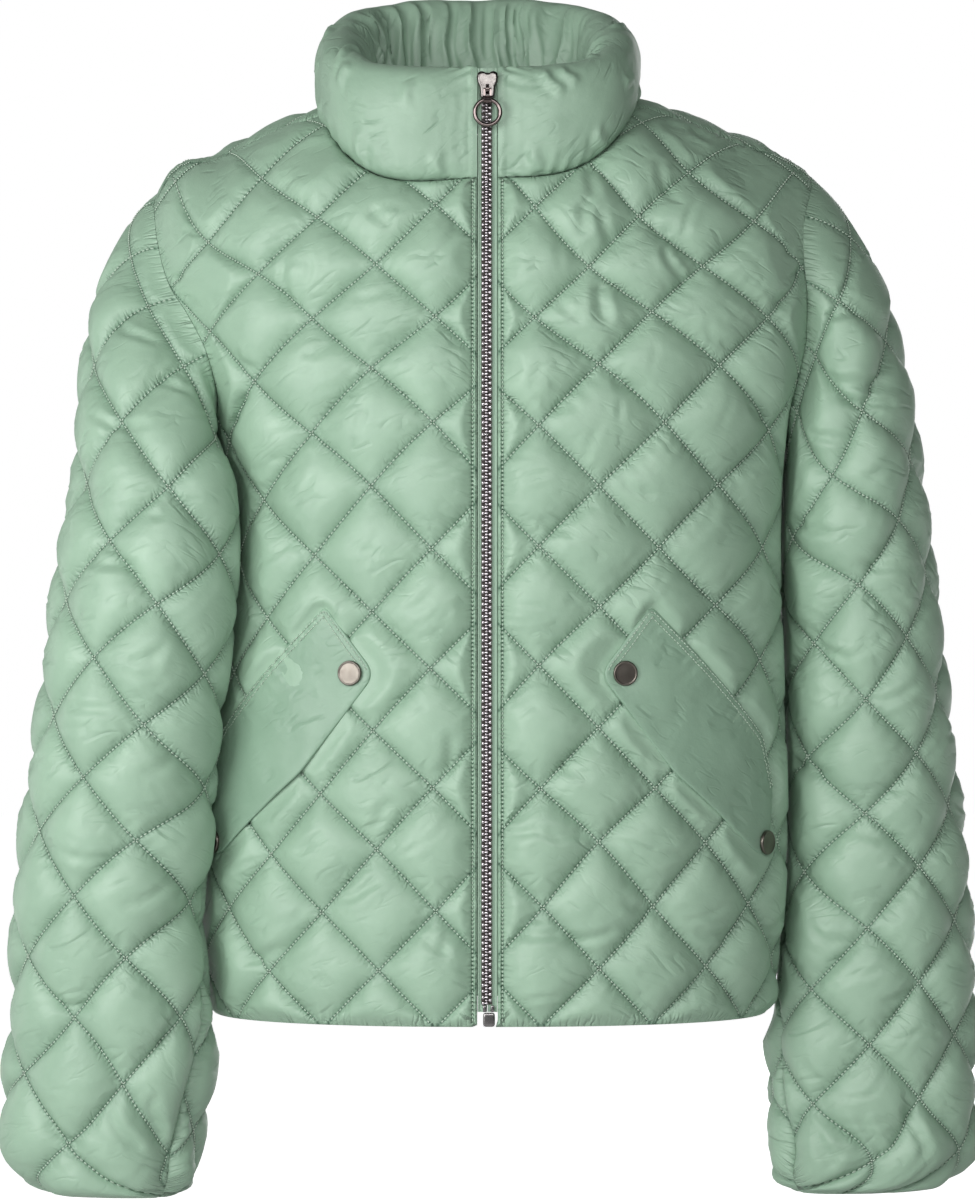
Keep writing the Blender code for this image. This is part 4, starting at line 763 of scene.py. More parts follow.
    def _arm_edge(self, sheet: Sheet, table: Flat, pit: Array, tip: Array, sign: float) -> Array:
        """Armhole edge in cloth coordinates.

        Args:
            sheet: The torso's sheet.
            table: Points in side view, from the armpit up.
            pit: Cloth coordinates of the armpit.
            tip: Cloth coordinates of the shoulder's end.
            sign: Sign of s on this half.

        Returns:
            The edge, from the armpit to the shoulder.
        """
        places = [pit]
        for y, z in table[1:]:
            penalty = self.keep_off(sheet, sign, upper=False)
            penalty = penalty + np.where(np.abs(sheet.points[..., 0]) < 140, 1e4, 0.0)
            penalty = penalty + np.where(sheet.points[..., 1] * y < 0, 1e4, 0.0)
            places.append(sheet.find((1, 2), np.array([y, z]), penalty))
        line = np.array([*places, tip])
        length = along(line)
        fine = np.linspace(0, length[-1], 200)
        return evenly(np.stack([smooth(fine, length, line[:, k]) for k in range(2)], axis=1), self.step)

    def _neck_plan(self, neck_x: float, sign: float) -> Array:
        """Plan of the neck seam from the shoulder seam to the front edge.

        Args:
            neck_x: Where the shoulder seam meets it.
            sign: Sign of x on this side.

        Returns:
            The points.
        """
        turn = np.linspace(0, math.pi / 2, 300)
        x = self.neck_centre[0] + sign * self.neck_half_width * np.cos(turn) ** (2 / self.neck_powers[0])
        y = self.neck_centre[1] - self.neck_front * np.sin(turn) ** (2 / self.neck_powers[0])
        edge_x = sign * self.front_edge
        keep = (y < self.shoulder_neck_y - 1) & (sign * x > self.front_edge + 1)
        rising = slice(None, None, -1 if sign > 0 else 1)
        end_y = np.interp(edge_x, x[rising], y[rising])
        middle = np.stack([x[keep], y[keep]], axis=1)
        plan = np.concatenate([[[neck_x, self.shoulder_neck_y]], middle, [[edge_x, end_y]]])
        return evenly(plan, self.step)

    def cut(self) -> "Cut":
        """Lay every panel out on the forms."""
        front, back = self.form.torso(True), self.form.torso(False)
        halves = {side: self._half(front, back, side) for side in Side}
        panels = [self._front(front, side, halves[side]) for side in Side]
        back_piece, back_neck = self._back(back, halves)
        panels.append(back_piece)
        for side in Side:
            panels.append(self._sleeve(side, halves[side]["loop"]))
        seam = np.concatenate([halves[Side.RIGHT]["neck"].space[::-1], back_neck[1:],
                               halves[Side.LEFT]["neck"].space[1:]])
        return Cut(front, back, {panel.name: panel for panel in panels}, seam,
                   halves[Side.LEFT]["neck"].flat[-1, 1])

    def _half(self, front: Sheet, back: Sheet, side: Side) -> dict:
        """Seams of one half of the torso.

        Args:
            front: Front sheet.
            back: Back sheet.
            side: Which half.

        Returns:
            The seams by name.
        """
        sign, form = side.value, self.form
        t_pit = form.armpit_z - form.hem_z
        t_seam = np.linspace(0, t_pit, round(t_pit / self.step) + 1)
        rings = [form.half_ring(form.hem_z + t, side) for t in t_seam]
        quarter = np.array([np.interp(0, ring[:, 1], along(ring)) for ring in rings])
        total = np.array([along(ring)[-1] for ring in rings])
        side_front = np.stack([sign * quarter, t_seam], axis=1)
        side_back = np.stack([-sign * (total - quarter), t_seam], axis=1)
        side_space = front.at(side_front[:, 0], side_front[:, 1])
        side_space[:, 1] = 0.0
        tip_plan = np.array(self.tip_right if side is Side.RIGHT else self.tip_left)
        off_front, off_back = self.keep_off(front, sign), self.keep_off(back, -sign)
        tip = front.find((0, 1), tip_plan, off_front)
        neck_x = self.neck_centre[0] + sign * self.neck_half_width
        count = round(abs(tip_plan[0] - neck_x) / self.step) + 1
        plan = np.stack([np.linspace(tip_plan[0], neck_x, count),
                         np.linspace(tip_plan[1], self.shoulder_neck_y, count)], axis=1)
        shoulder_front = np.array([front.find((0, 1), p, off_front) for p in plan])
        shoulder_space = front.at(shoulder_front[:, 0], shoulder_front[:, 1])
        shoulder_back = np.array([back.find((0, 1, 2), p, off_back) for p in shoulder_space])
        neck = np.array([front.find((0, 1), p, off_front) for p in self._neck_plan(neck_x, sign)])
        table = self.armhole_front_right if side is Side.RIGHT else self.armhole_front_left
        arm_front = self._arm_edge(front, table, side_front[-1], tip, sign)
        arm_back = self._arm_edge(back, self.armhole_back, side_back[-1], shoulder_back[0], -sign)
        front_space = front.at(arm_front[:, 0], arm_front[:, 1])
        back_space = back.at(arm_back[:, 0], arm_back[:, 1])
        front_space[0] = back_space[0] = side_space[-1]
        front_space[-1] = back_space[-1] = shoulder_space[0]
        loop = np.concatenate([back_space, front_space[-2::-1]])
        return {
            "side_front": Edge(side_front, side_space), "side_back": Edge(side_back, side_space),
            "arm_front": Edge(arm_front, front_space), "arm_back": Edge(arm_back, back_space),
            "shoulder_front": Edge(shoulder_front, shoulder_space),
            "shoulder_back": Edge(shoulder_back, shoulder_space),
            "neck": Edge(neck, front.at(neck[:, 0], neck[:, 1])),
            "loop": loop if side is Side.RIGHT else loop[::-1],
        }

    def _front(self, front: Sheet, side: Side, half: dict) -> Panel:
        """One front.

        Args:
            front: Front sheet.
            side: Which front.
            half: Its seams.

        Returns:
            The panel.
        """
        sign = side.value
        end = half["side_front"].flat[0, 0]
        hem_s = np.linspace(sign * self.front_edge, end, round(abs(end) / self.step) + 1)
        hem = np.stack([hem_s, np.zeros_like(hem_s)], axis=1)
        hem_space = front.at(hem[:, 0], hem[:, 1])
        hem_space[-1] = half["side_front"].space[0]
        top = half["neck"].flat[-1, 1]
        edge_t = np.linspace(top, 0, round(top / self.step) + 1)
        edge = np.stack([np.full_like(edge_t, sign * self.front_edge), edge_t], axis=1)
        edge_space = front.at(edge[:, 0], edge[:, 1])
        edge_space[0] = half["neck"].space[-1]
        edges = [Edge(hem, hem_space, self.fold), half["side_front"], half["arm_front"],
                 half["shoulder_front"], half["neck"], Edge(edge, edge_space, 0.25)]
        if sign < 0:
            edges = [Edge(e.flat[::-1], e.space[::-1], e.fold) for e in reversed(edges)]
        name = f"front_{side.label}"
        return Panel(name, front, self.lattice(name), edges, [half["shoulder_front"].flat])

    def _back(self, back: Sheet, halves: dict) -> tuple[Panel, Array]:
        """The back.

        Args:
            back: Back sheet.
            halves: Seams of both halves.

        Returns:
            The panel, and its neck seam in space from the right to the left.
        """
        left, right = halves[Side.LEFT], halves[Side.RIGHT]
        ends = left["side_back"].flat[0, 0], right["side_back"].flat[0, 0]
        hem_s = np.linspace(*ends, round((ends[1] - ends[0]) / self.step) + 1)
        hem = np.stack([hem_s, np.zeros_like(hem_s)], axis=1)
        hem_space = back.at(hem[:, 0], hem[:, 1])
        hem_space[0], hem_space[-1] = left["side_back"].space[0], right["side_back"].space[0]
        turn = np.linspace(0, math.pi, 400)
        power = 2 / self.neck_powers[1]
        x = self.neck_centre[0] - self.neck_half_width * np.sign(np.cos(turn)) * np.abs(np.cos(turn)) ** power
        y = self.neck_centre[1] + self.neck_back * np.sin(turn) ** power
        start, end = right["shoulder_back"].space[-1], left["shoulder_back"].space[-1]
        plan = evenly(np.concatenate([[start[:2]], np.stack([x, y], axis=1), [end[:2]]]), self.step)
        low = np.where(back.t[:, None] < self.form.chest_z - self.form.hem_z + 40, 1e4, 0.0)
        neck = np.array([back.find((0, 1), point, low) for point in plan])
        neck[0], neck[-1] = right["shoulder_back"].flat[-1], left["shoulder_back"].flat[-1]
        space = back.at(neck[:, 0], neck[:, 1])
        space[0], space[-1] = start, end
        turned = [Edge(left[key].flat[::-1], left[key].space[::-1])
                  for key in ("shoulder_back", "arm_back", "side_back")]
        edges = [Edge(hem, hem_space, self.fold), right["side_back"], right["arm_back"],
                 right["shoulder_back"], Edge(neck, space), *turned]
        shoulders = [half["shoulder_back"].flat for half in (left, right)]
        return Panel("back", back, self.lattice("back"), edges, shoulders), space

    def _sleeve(self, side: Side, armhole: Array) -> Panel:
        """One sleeve.

        Args:
            side: Which sleeve.
            armhole: Closed line of its armhole seam.

        Returns:
            The panel.
        """
        sheet, seam_st, girths, t_rings = self.form.sleeve(side, armhole)
        t_top = seam_st[0, 1]
        t_seam = np.linspace(0, t_top, round(t_top / self.step) + 1)
        half = np.interp(t_seam, t_rings, girths) / 2
        seam_space = (sheet.at(-half, t_seam) + sheet.at(half, t_seam)) / 2
        seam_space[-1] = armhole[0]
        cuff_s = np.linspace(-half[0], half[0], round(2 * half[0] / self.step) + 1)
        cuff = np.stack([cuff_s, np.zeros_like(cuff_s)], axis=1)
        cuff_space = sheet.at(cuff[:, 0], cuff[:, 1])
        cuff_space[0] = cuff_space[-1] = seam_space[0]
        low, high = np.stack([-half, t_seam], axis=1), np.stack([half, t_seam], axis=1)
        edges = [Edge(cuff, cuff_space, self.fold), Edge(high, seam_space),
                 Edge(seam_st[::-1], armhole[::-1]), Edge(low[::-1], seam_space[::-1])]
        name = f"sleeve_{side.label}"
        count = len(seam_st)
        return Panel(name, sheet, self.lattice(name), edges, [seam_st[count * 3 // 8:count * 5 // 8]])


class Cut:
    """Every panel laid out, with the normals they share at their seams."""

    def __init__(self, front: Sheet, back: Sheet, panels: dict, neck_seam: Array, neck_t: float) -> None:
        """Keep the panels and average their normals.

        Args:
            front: Front sheet.
            back: Back sheet.
            panels: Panels by name.
            neck_seam: Neck seam in space, from the right front edge round the back.
            neck_t: Height of the neck seam at the front edge, in cloth coordinates.
        """
        self.front, self.back, self.panels = front, back, panels
        self.neck_seam, self.neck_t = neck_seam, neck_t
        totals = {}
        for panel in panels.values():
            for key, normal in zip(self._keys(panel.space), panel.own_normals):
                totals[key] = totals.get(key, 0) + normal
        self.totals = totals

    @staticmethod
    def _keys(points: Array) -> list:
        """Rounded places, the same for all pieces that share a seam point."""
        return [tuple(row) for row in np.rint(points * 20).astype(int)]

    def normals(self, panel: Panel) -> Array:
        """Normals shared with the neighbours at a panel's outline."""
        return unit(np.array([self.totals[key] for key in self._keys(panel.space)]))


# ---------------------------------------------------------------- quilting

class Fold(NamedTuple):
    """A listed fold: a line on the cloth, its depth (minus for a ridge) and half width."""

    start: tuple[float, float]
    end: tuple[float, float]
    depth: float
    half_width: float

    def dent(self, flat: Array) -> Array:
        """Depth of the fold at cloth coordinates."""
        start, end = np.array(self.start), np.array(self.end)
        run = end - start
        length = np.linalg.norm(run)
        share = (flat - start) @ run / length ** 2
        aside = (flat - start) @ np.array([-run[1], run[0]]) / length
        aside = aside + 1.5 * np.sin(share * 5.0)
        ends = ease((share + 0.12) / 0.3) * ease((1.12 - share) / 0.3)
        near = np.abs(aside) / self.half_width
        return self.depth * ends * (np.exp(-near ** 1.25) - 0.35 * np.exp(-((near - 1.9) / 0.8) ** 2))


def laid_in(*rows: Sequence[float]) -> tuple:
    """Folds from rows of start, end, depth and, if it isn't 3 mm, half width."""
    return tuple(Fold(row[:2], row[2:4], row[4], row[5] if len(row) > 5 else 3.0) for row in rows)


@dataclass(frozen=True)
class FlapCut:
    """Cut of a pocket flap in the cloth coordinates of the left front."""

    corners: Flat = ((97.0, 250.0), (179.0, 171.0), (190.0, 140.0), (183.0, 90.0), (112.0, 149.0),
                     (66.0, 209.0))
    radii: Sequence[float] = (4.0, 10.0, 16.0, 14.0, 60.0, 12.0)

    def outline(self, side: Side) -> Array:
        """Rounded outline on one side's front."""
        return rounded(self.corners, self.radii) * np.array([side.value, 1.0])

    def mirrored(self, side: Side) -> Array:
        """Corners on one side's front."""
        return np.array(self.corners) * np.array([side.value, 1.0])


@dataclass(frozen=True)
class Quilting:
    """Diamond quilting: sizes of the diamonds, of the puckers beside the stitching and of the folds."""

    puff: float = 8.2
    fullness: float = 3.0
    rise: float = 0.75
    pucker: float = 1.8
    pucker_reach: float = 9.0
    pucker_pitch: float = 7.4
    seam_pucker: float = 1.8
    creases: int = 4
    crease: float = 0.9
    shoulder_press: float = 0.8
    shoulder_reach: float = 36.0
    sag: float = 2.2
    lofted: float = 0.95
    front_stitch: float = 8.9
    front_stitch_pitch: float = 2.4
    bed: float = 2.6
    bed_rim: float = 3.0
    room_share: float = 0.42
    steps: Sequence[float] = (0.0, 0.015, 0.038, 0.068, 0.103, 0.143, 0.187, 0.235, 0.286, 0.339, 0.392,
                              0.446, 0.5)
    flap: FlapCut = FlapCut()

    @property
    def side_length(self) -> float:
        """Length of a diamond's side."""
        return math.hypot(Lattice.half_width, Lattice.half_height)

    def grid(self, panel: Panel, fine: bool) -> Array:
        """Points that follow the rows of stitching.

        Args:
            panel: The panel.
            fine: True for the outer face.

        Returns:
            Flat points inside the panel.
        """
        half = np.array(self.steps) if fine else np.array([0.0, 0.25, 0.5])
        cell = np.concatenate([half, 1 - half[-2:0:-1]])
        u, v = panel.lattice.rows(panel.flat)
        line_u = (np.arange(math.floor(u.min()), math.ceil(u.max()) + 1)[:, None] + cell).ravel()
        line_v = (np.arange(math.floor(v.min()), math.ceil(v.max()) + 1)[:, None] + cell).ravel()
        points = panel.lattice.flat(*np.meshgrid(line_u, line_v)).reshape(-1, 2)
        low, high = panel.flat.min(axis=0), panel.flat.max(axis=0)
        points = points[((points > low) & (points < high)).all(axis=1)]
        points = points[inside(points, panel.flat)]
        return points[edge_distance(points, panel.flat)[0] > (1.4 if fine else 8.0)]

    def _beside_row(self, across: Array, place: Array, grain: Grain) -> Array:
        """Puckers beside the rows of one direction.

        Args:
            across: Coordinate that is whole on the rows.
            place: Coordinate along them.
            grain: Noise.

        Returns:
            Heights.
        """
        row = np.rint(across)
        away = (across - row) * self.side_length
        line = row * 7.3 + np.where(away > 0, 3.1, 0.0)
        run = place * self.side_length / self.pucker_pitch + 0.018 * away
        ridge = grain.folds(run, line) - 0.62
        strength = np.clip(0.55 + 0.75 * grain.at(run * 0.23 + 40, line), 0.08, 1.25)
        near = np.abs(away) / self.pucker_reach
        fade = np.exp(-near ** 1.5) * (1 - np.exp(-(np.abs(away) / 1.1) ** 2))
        return self.pucker * ridge * strength * fade

    def _creased(self, u: Array, v: Array, grain: Grain) -> Array:
        """Soft curved creases that run through each diamond, uneven from one to the next.

        Args:
            u: Stitch-line coordinate.
            v: The other one.
            grain: Noise.

        Returns:
            Depths.
        """
        cell_u, cell_v = np.floor(u), np.floor(v)
        x, y = u - cell_u - 0.5, v - cell_v - 0.5
        across, up = (x + y) * Lattice.half_width, (x - y) * Lattice.half_height
        total = np.zeros(len(u))
        for k in range(self.creases):
            picks = [grain.at(cell_u * 3.3 + 13.7 * k + 1.9 * n, cell_v * 4.7 + 2.3 * n) for n in range(7)]
            turn = 0.12 + 0.75 * (k % 2) + 1.3 * picks[2]
            run = (across - 24 * picks[0]) * np.cos(turn) + (up - 26 * picks[1]) * np.sin(turn)
            aside = (up - 26 * picks[1]) * np.cos(turn) - (across - 24 * picks[0]) * np.sin(turn)
            near = np.abs(aside - run ** 2 * picks[3] / 40) / (1.9 + 0.9 * picks[4])
            ends = np.exp(-(run / (13 + 9 * picks[5])) ** 4)
            shape = np.exp(-near ** 2) - 0.45 * np.exp(-((near - 2.2) / 1.1) ** 2)
            total += np.clip(0.35 + picks[6], 0, 1) * ends * shape
        return self.crease * total

    def height(self, panel: Panel, flat: Array, room: Room, folds: Iterable[Fold]) -> Array:
        """Height of the outer face over the form.

        Args:
            panel: The panel.
            flat: Cloth coordinates.
            room: Distance in space to facing cloth, at cloth coordinates.
            folds: Folds of this panel.

        Returns:
            One height for each point.
        """
        grain = Grain(sum(map(ord, panel.name)))
        s, t = flat[:, 0], flat[:, 1]
        u, v = panel.lattice.rows(flat)
        cell_u, cell_v = np.floor(u), np.floor(v)
        fu, fv = u - cell_u, v - cell_v
        fill = 1 + 0.13 * grain.at(cell_u * 3.7 + 0.5, cell_v * 5.3 + 0.5)
        lean_u = 1 + 0.28 * grain.at(cell_u * 2.9 + 9.5, cell_v * 4.1 + 3.5) * (fu - 0.5)
        lean_v = 1 + 0.28 * grain.at(cell_u * 4.3 + 5.5, cell_v * 2.7 + 7.5) * (fv - 0.5)
        dome = (1 - np.abs(2 * fu - 1) ** self.fullness) * (1 - np.abs(2 * fv - 1) ** self.fullness)
        height = self.puff * fill * lean_u * lean_v * dome
        height += self._beside_row(u, v, grain) * np.minimum(1, dome * 3 + 0.25)
        height += self._beside_row(v, u, grain) * np.minimum(1, dome * 3 + 0.25)
        height -= self._creased(u, v, grain) * np.minimum(1, dome * 2.5)
        press = np.ones(len(flat))
        for seam in panel.shoulders:
            press *= 1 - self.shoulder_press * np.exp(-(line_distance(flat, seam) / self.shoulder_reach) ** 2)
        height *= press
        edge, place = edge_distance(flat, panel.flat)
        seam = grain.folds(place / 9.5, 0.0) - 0.55
        strength = np.clip(0.6 + 0.7 * grain.at(place / 47, 11.0), 0.1, 1.2)
        rising = 1 - np.exp(-(edge / 1.6) ** 2)
        height += self.seam_pucker * seam * strength * np.exp(-(edge / 9) ** 1.5) * rising
        soft = 1.4 / (1 + 0.03 * np.maximum(edge, 0))
        limit = self.rise * edge * soft
        height = -np.logaddexp(-height / 0.8, -limit / 0.8) * 0.8
        height = np.maximum(height, 0.04 * np.minimum(edge, 10))
        if panel.is_front:
            height = self._beside_zip(panel, flat, height, grain)
        for fold in folds:
            height = height - fold.dent(flat) * np.minimum(1, edge / 6)
        height += press * self.sag * (self.lofted + 0.5 * grain.at(s / 60 + 21, t / 75)) * ease(edge / 30)
        height = np.maximum(height, 0.02 - 1.2 * ease(edge / 8))
        return np.minimum(height, np.maximum(0.02, self.room_share * (room(flat) - 2.0)))

    def _beside_zip(self, panel: Panel, flat: Array, height: Array, grain: Grain) -> Array:
        """Press the quilting down beside the zip and under the flap.

        Args:
            panel: A front.
            flat: Cloth coordinates.
            height: Heights so far.
            grain: Noise.

        Returns:
            The new heights.
        """
        side = panel.side
        past = np.abs(flat[:, 0]) - self.front_stitch
        run = flat[:, 1] / 5.2 + 0.02 * past
        ridge = grain.folds(run, 55.0 + side.value) - 0.5
        strength = np.clip(0.7 + 0.6 * grain.at(run * 0.19, 77.0), 0.2, 1.2)
        puckers = 1.15 * ridge * strength * np.exp(-(np.maximum(past, 0) / 8.5) ** 1.3)
        climb = 1.05 * np.maximum(past, 0) ** 0.85
        outside = np.minimum(height, climb) + puckers * (1 - np.exp(-(np.maximum(past, 0) / 1.0) ** 2))
        band = 1.0 * np.clip(1 - ((past + 1.35) / 1.35) ** 2, 0, 1)
        height = np.where(past > 0, outside, band)
        outline = self.flap.outline(side)
        away = np.where(inside(flat, outline), 0.0, edge_distance(flat, outline)[0])
        corners = self.flap.mirrored(side)
        sewn, free = line_distance(flat, corners[:3]), line_distance(flat, corners[3:])
        loose = ease(0.5 + (sewn - free) / 24)
        pressed = self.bed + (1.3 - 0.9 * loose) * np.maximum(0, away - 0.4 - self.bed_rim * loose)
        return np.minimum(height, pressed)


# ---------------------------------------------------------------- meshes

def triangles(outline: Array, points: Array, creases: Sequence[tuple[int, int]] = ()) -> Array:
    """Triangles of an outline with points inside it.

    Args:
        outline: Outline, counter-clockwise.
        points: Points inside.
        creases: Pairs of points that an edge must join.

    Returns:
        Triangles as rows of point numbers, outline first.
    """
    flat = np.concatenate([outline, points]) if len(points) else outline
    vectors = [Vector(p) for p in flat.tolist()]
    _, _, faces, *_ = delaunay_2d_cdt(vectors, list(creases), [list(range(len(outline)))], 1, 1e-4)
    rows = np.array([face for face in faces if len(face) == 3])
    a, b, c = flat[rows[:, 0]], flat[rows[:, 1]], flat[rows[:, 2]]
    turn = (b[:, 0] - a[:, 0]) * (c[:, 1] - a[:, 1]) - (b[:, 1] - a[:, 1]) * (c[:, 0] - a[:, 0])
    rows[turn < 0] = rows[turn < 0][:, ::-1]
    return rows


def lay_map(mesh: bpy.types.Mesh, name: str, flat: Array) -> None:
    """Store flat coordinates of the points as a UV map, in metres.

    Args:
        mesh: The mesh.
        name: Name of the map.
        flat: Flat coordinates of every point, in millimetres.
    """
    layer = mesh.uv_layers.new(name=name)
    loops = np.zeros(len(mesh.loops), dtype=np.int32)
    mesh.loops.foreach_get("vertex_index", loops)
    layer.data.foreach_set("uv", (np.asarray(flat)[loops] * MM).astype(np.float32).ravel())


def new_mesh(name: str, points: Array, faces: Iterable[Sequence[int]], material: bpy.types.Material,
             flat: Optional[Array] = None, sharp: float = 60.0) -> bpy.types.Object:
    """Object from points in millimetres.

    Args:
        name: Its name.
        points: Points.
        faces: Faces as point numbers.
        material: Its finish.
        flat: Cloth coordinates of the points, in millimetres.
        sharp: Edges sharper than this many degrees stay sharp.

    Returns:
        The object.
    """
    mesh = bpy.data.meshes.new(name)
    mesh.from_pydata((np.asarray(points) * MM).tolist(), [], [list(map(int, face)) for face in faces])
    mesh.materials.append(material)
    if flat is not None:
        lay_map(mesh, "cloth", flat)
    mesh.shade_smooth()
    mesh.set_sharp_from_angle(angle=math.radians(sharp))
    obj = bpy.data.objects.new(name, mesh)
    bpy.context.scene.collection.objects.link(obj)
    return obj


def swept(rows: Array, closed: bool, caps: bool = False) -> list:
    """Quads between rows of points.

    Args:
        rows: Rows of point numbers.
        closed: True if each row closes on itself.
        caps: True to close the first and the last row.

    Returns:
        The faces.
    """
    faces = []
    last = rows.shape[1] if closed else rows.shape[1] - 1
    for low, high in zip(rows[:-1], rows[1:]):
        for k in range(last):
            after = (k + 1) % rows.shape[1]
            faces.append((low[k], low[after], high[after], high[k]))
    if caps:
        faces += [tuple(rows[0][::-1]), tuple(rows[-1])]
    return faces


def grid_mesh(name: str, grid: Array, material: bpy.types.Material, flat: Optional[Array] = None,
              sharp: float = 60.0) -> bpy.types.Object:
    """Object from rows of points that close on themselves, capped at both ends.

    Args:
        name: Its name.
        grid: Rows of points.
        material: Its finish.
        flat: Cloth coordinates of the points, in millimetres.
        sharp: Edges sharper than this many degrees stay sharp.

    Returns:
        The object.
    """
    rows = np.arange(grid.shape[0] * grid.shape[1]).reshape(grid.shape[:2])
    return new_mesh(name, grid.reshape(-1, 3), swept(rows, closed=True, caps=True), material, flat, sharp)


class ClothWall:
    """Cloth with a raised outer face, a plain inner face and a rim that is folded at open edges."""

    rim_turns: Sequence[float] = (0.25, 0.5, 0.75)

    def __init__(self, thickness: float = 3.0, gap: float = 0.3) -> None:
        """Keep the sizes.

        Args:
            thickness: Thickness at the stitching.
            gap: Gap between neighbouring pieces.
        """
        self.thickness, self.gap = thickness, gap

    @staticmethod
    def _inward(space: Array, normals: Array) -> Array:
        """Directions along the cloth towards its inside.

        Args:
            space: Outline in space.
            normals: Normals there.

        Returns:
            Directions, longer at corners.
        """
        before = unit(np.cross(normals, unit(space - np.roll(space, 1, axis=0))))
        after = unit(np.cross(normals, unit(np.roll(space, -1, axis=0) - space)))
        return (before + after) / np.maximum(1 + (before * after).sum(axis=1, keepdims=True), 0.5)

    def build(self, panel: Panel, shared: Array, fine: Array, heights: Array, coarse: Array,
              material: bpy.types.Material) -> bpy.types.Object:
        """Make the mesh.

        Args:
            panel: The panel.
            shared: Normals at its outline.
            fine: Cloth coordinates of the outer points.
            heights: Their heights.
            coarse: Cloth coordinates of the inner points.
            material: The finish.

        Returns:
            The object.
        """
        own = panel.own_normals
        inward = self._inward(panel.space, shared)
        outer_edge = panel.space + inward * self.gap / 2
        alike = np.clip((own * shared).sum(axis=1, keepdims=True), 0, 1) ** 2
        through = unit(shared * alike + own * (1 - alike)) * self.thickness
        outer = panel.sheet.at(fine[:, 0], fine[:, 1])
        outer = outer + panel.sheet.normal(fine[:, 0], fine[:, 1]) * heights[:, None]
        inner = panel.sheet.at(coarse[:, 0], coarse[:, 1])
        inner = inner - self.thickness * panel.sheet.normal(coarse[:, 0], coarse[:, 1], reach=12.0)
        rims = []
        for share in self.rim_turns:
            bulge = inward * (panel.fold * math.sin(math.pi * share))[:, None]
            rims.append(outer_edge - through * share - bulge)
        count = len(outer_edge)
        points = np.concatenate([outer_edge, outer, *rims, outer_edge - through, inner])
        blocks = [panel.flat, fine, *([panel.flat] * (len(rims) + 1)), coarse]
        first = np.arange(count)
        start = count + len(outer)
        lines = [first] + [start + k * count + first for k in range(len(rims) + 1)]
        over = triangles(panel.flat, fine)
        under = triangles(panel.flat, coarse)[:, ::-1] + start + len(rims) * count
        whole = [tuple(row) for block in (over, under) for row in block.tolist()]
        for low, high in zip(lines[:-1], lines[1:]):
            whole += [(int(low[k]), int(high[k]), int(high[(k + 1) % count]), int(low[(k + 1) % count]))
                      for k in range(count)]
        flat = panel.lattice.straight(np.concatenate(blocks))
        obj = new_mesh(f"{panel.name}_quilted", points, whole, material, flat)
        lay_map(obj.data, "edge", np.concatenate([self._edge_map(panel, block) for block in blocks]))
        return obj

    @staticmethod
    def _edge_map(panel: Panel, flat: Array) -> Array:
        """Distance from the outline and place along it, the place below zero beside the zip.

        Args:
            panel: The panel.
            flat: Cloth coordinates.

        Returns:
            One pair for each point.
        """
        if flat is panel.flat:
            distance, place = np.zeros(len(flat)), along(flat)
        else:
            distance, place = edge_distance(flat, panel.flat)
        by_zip = panel.is_front & (np.abs(np.abs(flat[:, 0]) - Pattern.front_edge - distance) < 0.3)
        return np.stack([distance, np.where(by_zip, BY_ZIP - flat[:, 1], place)], axis=1)


class Threads:
    """Sewing thread: short stitches that dip into the cloth at both ends."""

    sides: int = 3

    def __init__(self, radius: float = 0.5, share: float = 0.86) -> None:
        """Keep the sizes.

        Args:
            radius: Radius of the thread.
            share: Length of a stitch as a share of its pitch.
        """
        self.radius, self.share = radius, share

    def sew(self, name: str, start: Array, end: Array, normal: Array,
            material: bpy.types.Material) -> bpy.types.Object:
        """Make the stitches of one piece.

        Args:
            name: Name of the piece.
            start: Where each stitch enters the cloth, in space.
            end: Where it leaves.
            normal: Outward normal at each.
            material: The finish.

        Returns:
            The object.
        """
        run = end - start
        side = unit(np.cross(normal, run))
        turns = np.arange(self.sides) * math.tau / self.sides + math.pi / 2
        blocks = []
        for share, lift, radius in ((0.5 - self.share / 2, -0.3, 0), (0.28, 0.42, 1), (0.72, 0.42, 1),
                                    (0.5 + self.share / 2, -0.3, 0)):
            centre = start + run * share + normal * lift
            if not radius:
                blocks.append(centre[:, None])
                continue
            ring = [centre + self.radius * (side * math.cos(a) + 0.75 * normal * math.sin(a)) for a in turns]
            blocks.append(np.stack(ring, axis=1))
        points = np.concatenate(blocks, axis=1)
        each = points.shape[1]
        n, faces = self.sides, []
        for k in range(n):
            j = (k + 1) % n
            faces += [(0, 1 + j, 1 + k), (1 + k, 1 + j, 1 + n + j, 1 + n + k),
                      (1 + n + k, 1 + n + j, 1 + 2 * n)]
        whole = [tuple(c + each * i for c in face) for i in range(len(points)) for face in faces]
        return new_mesh(name, points.reshape(-1, 3), whole, material, sharp=180.0)


# ---------------------------------------------------------------- finishes

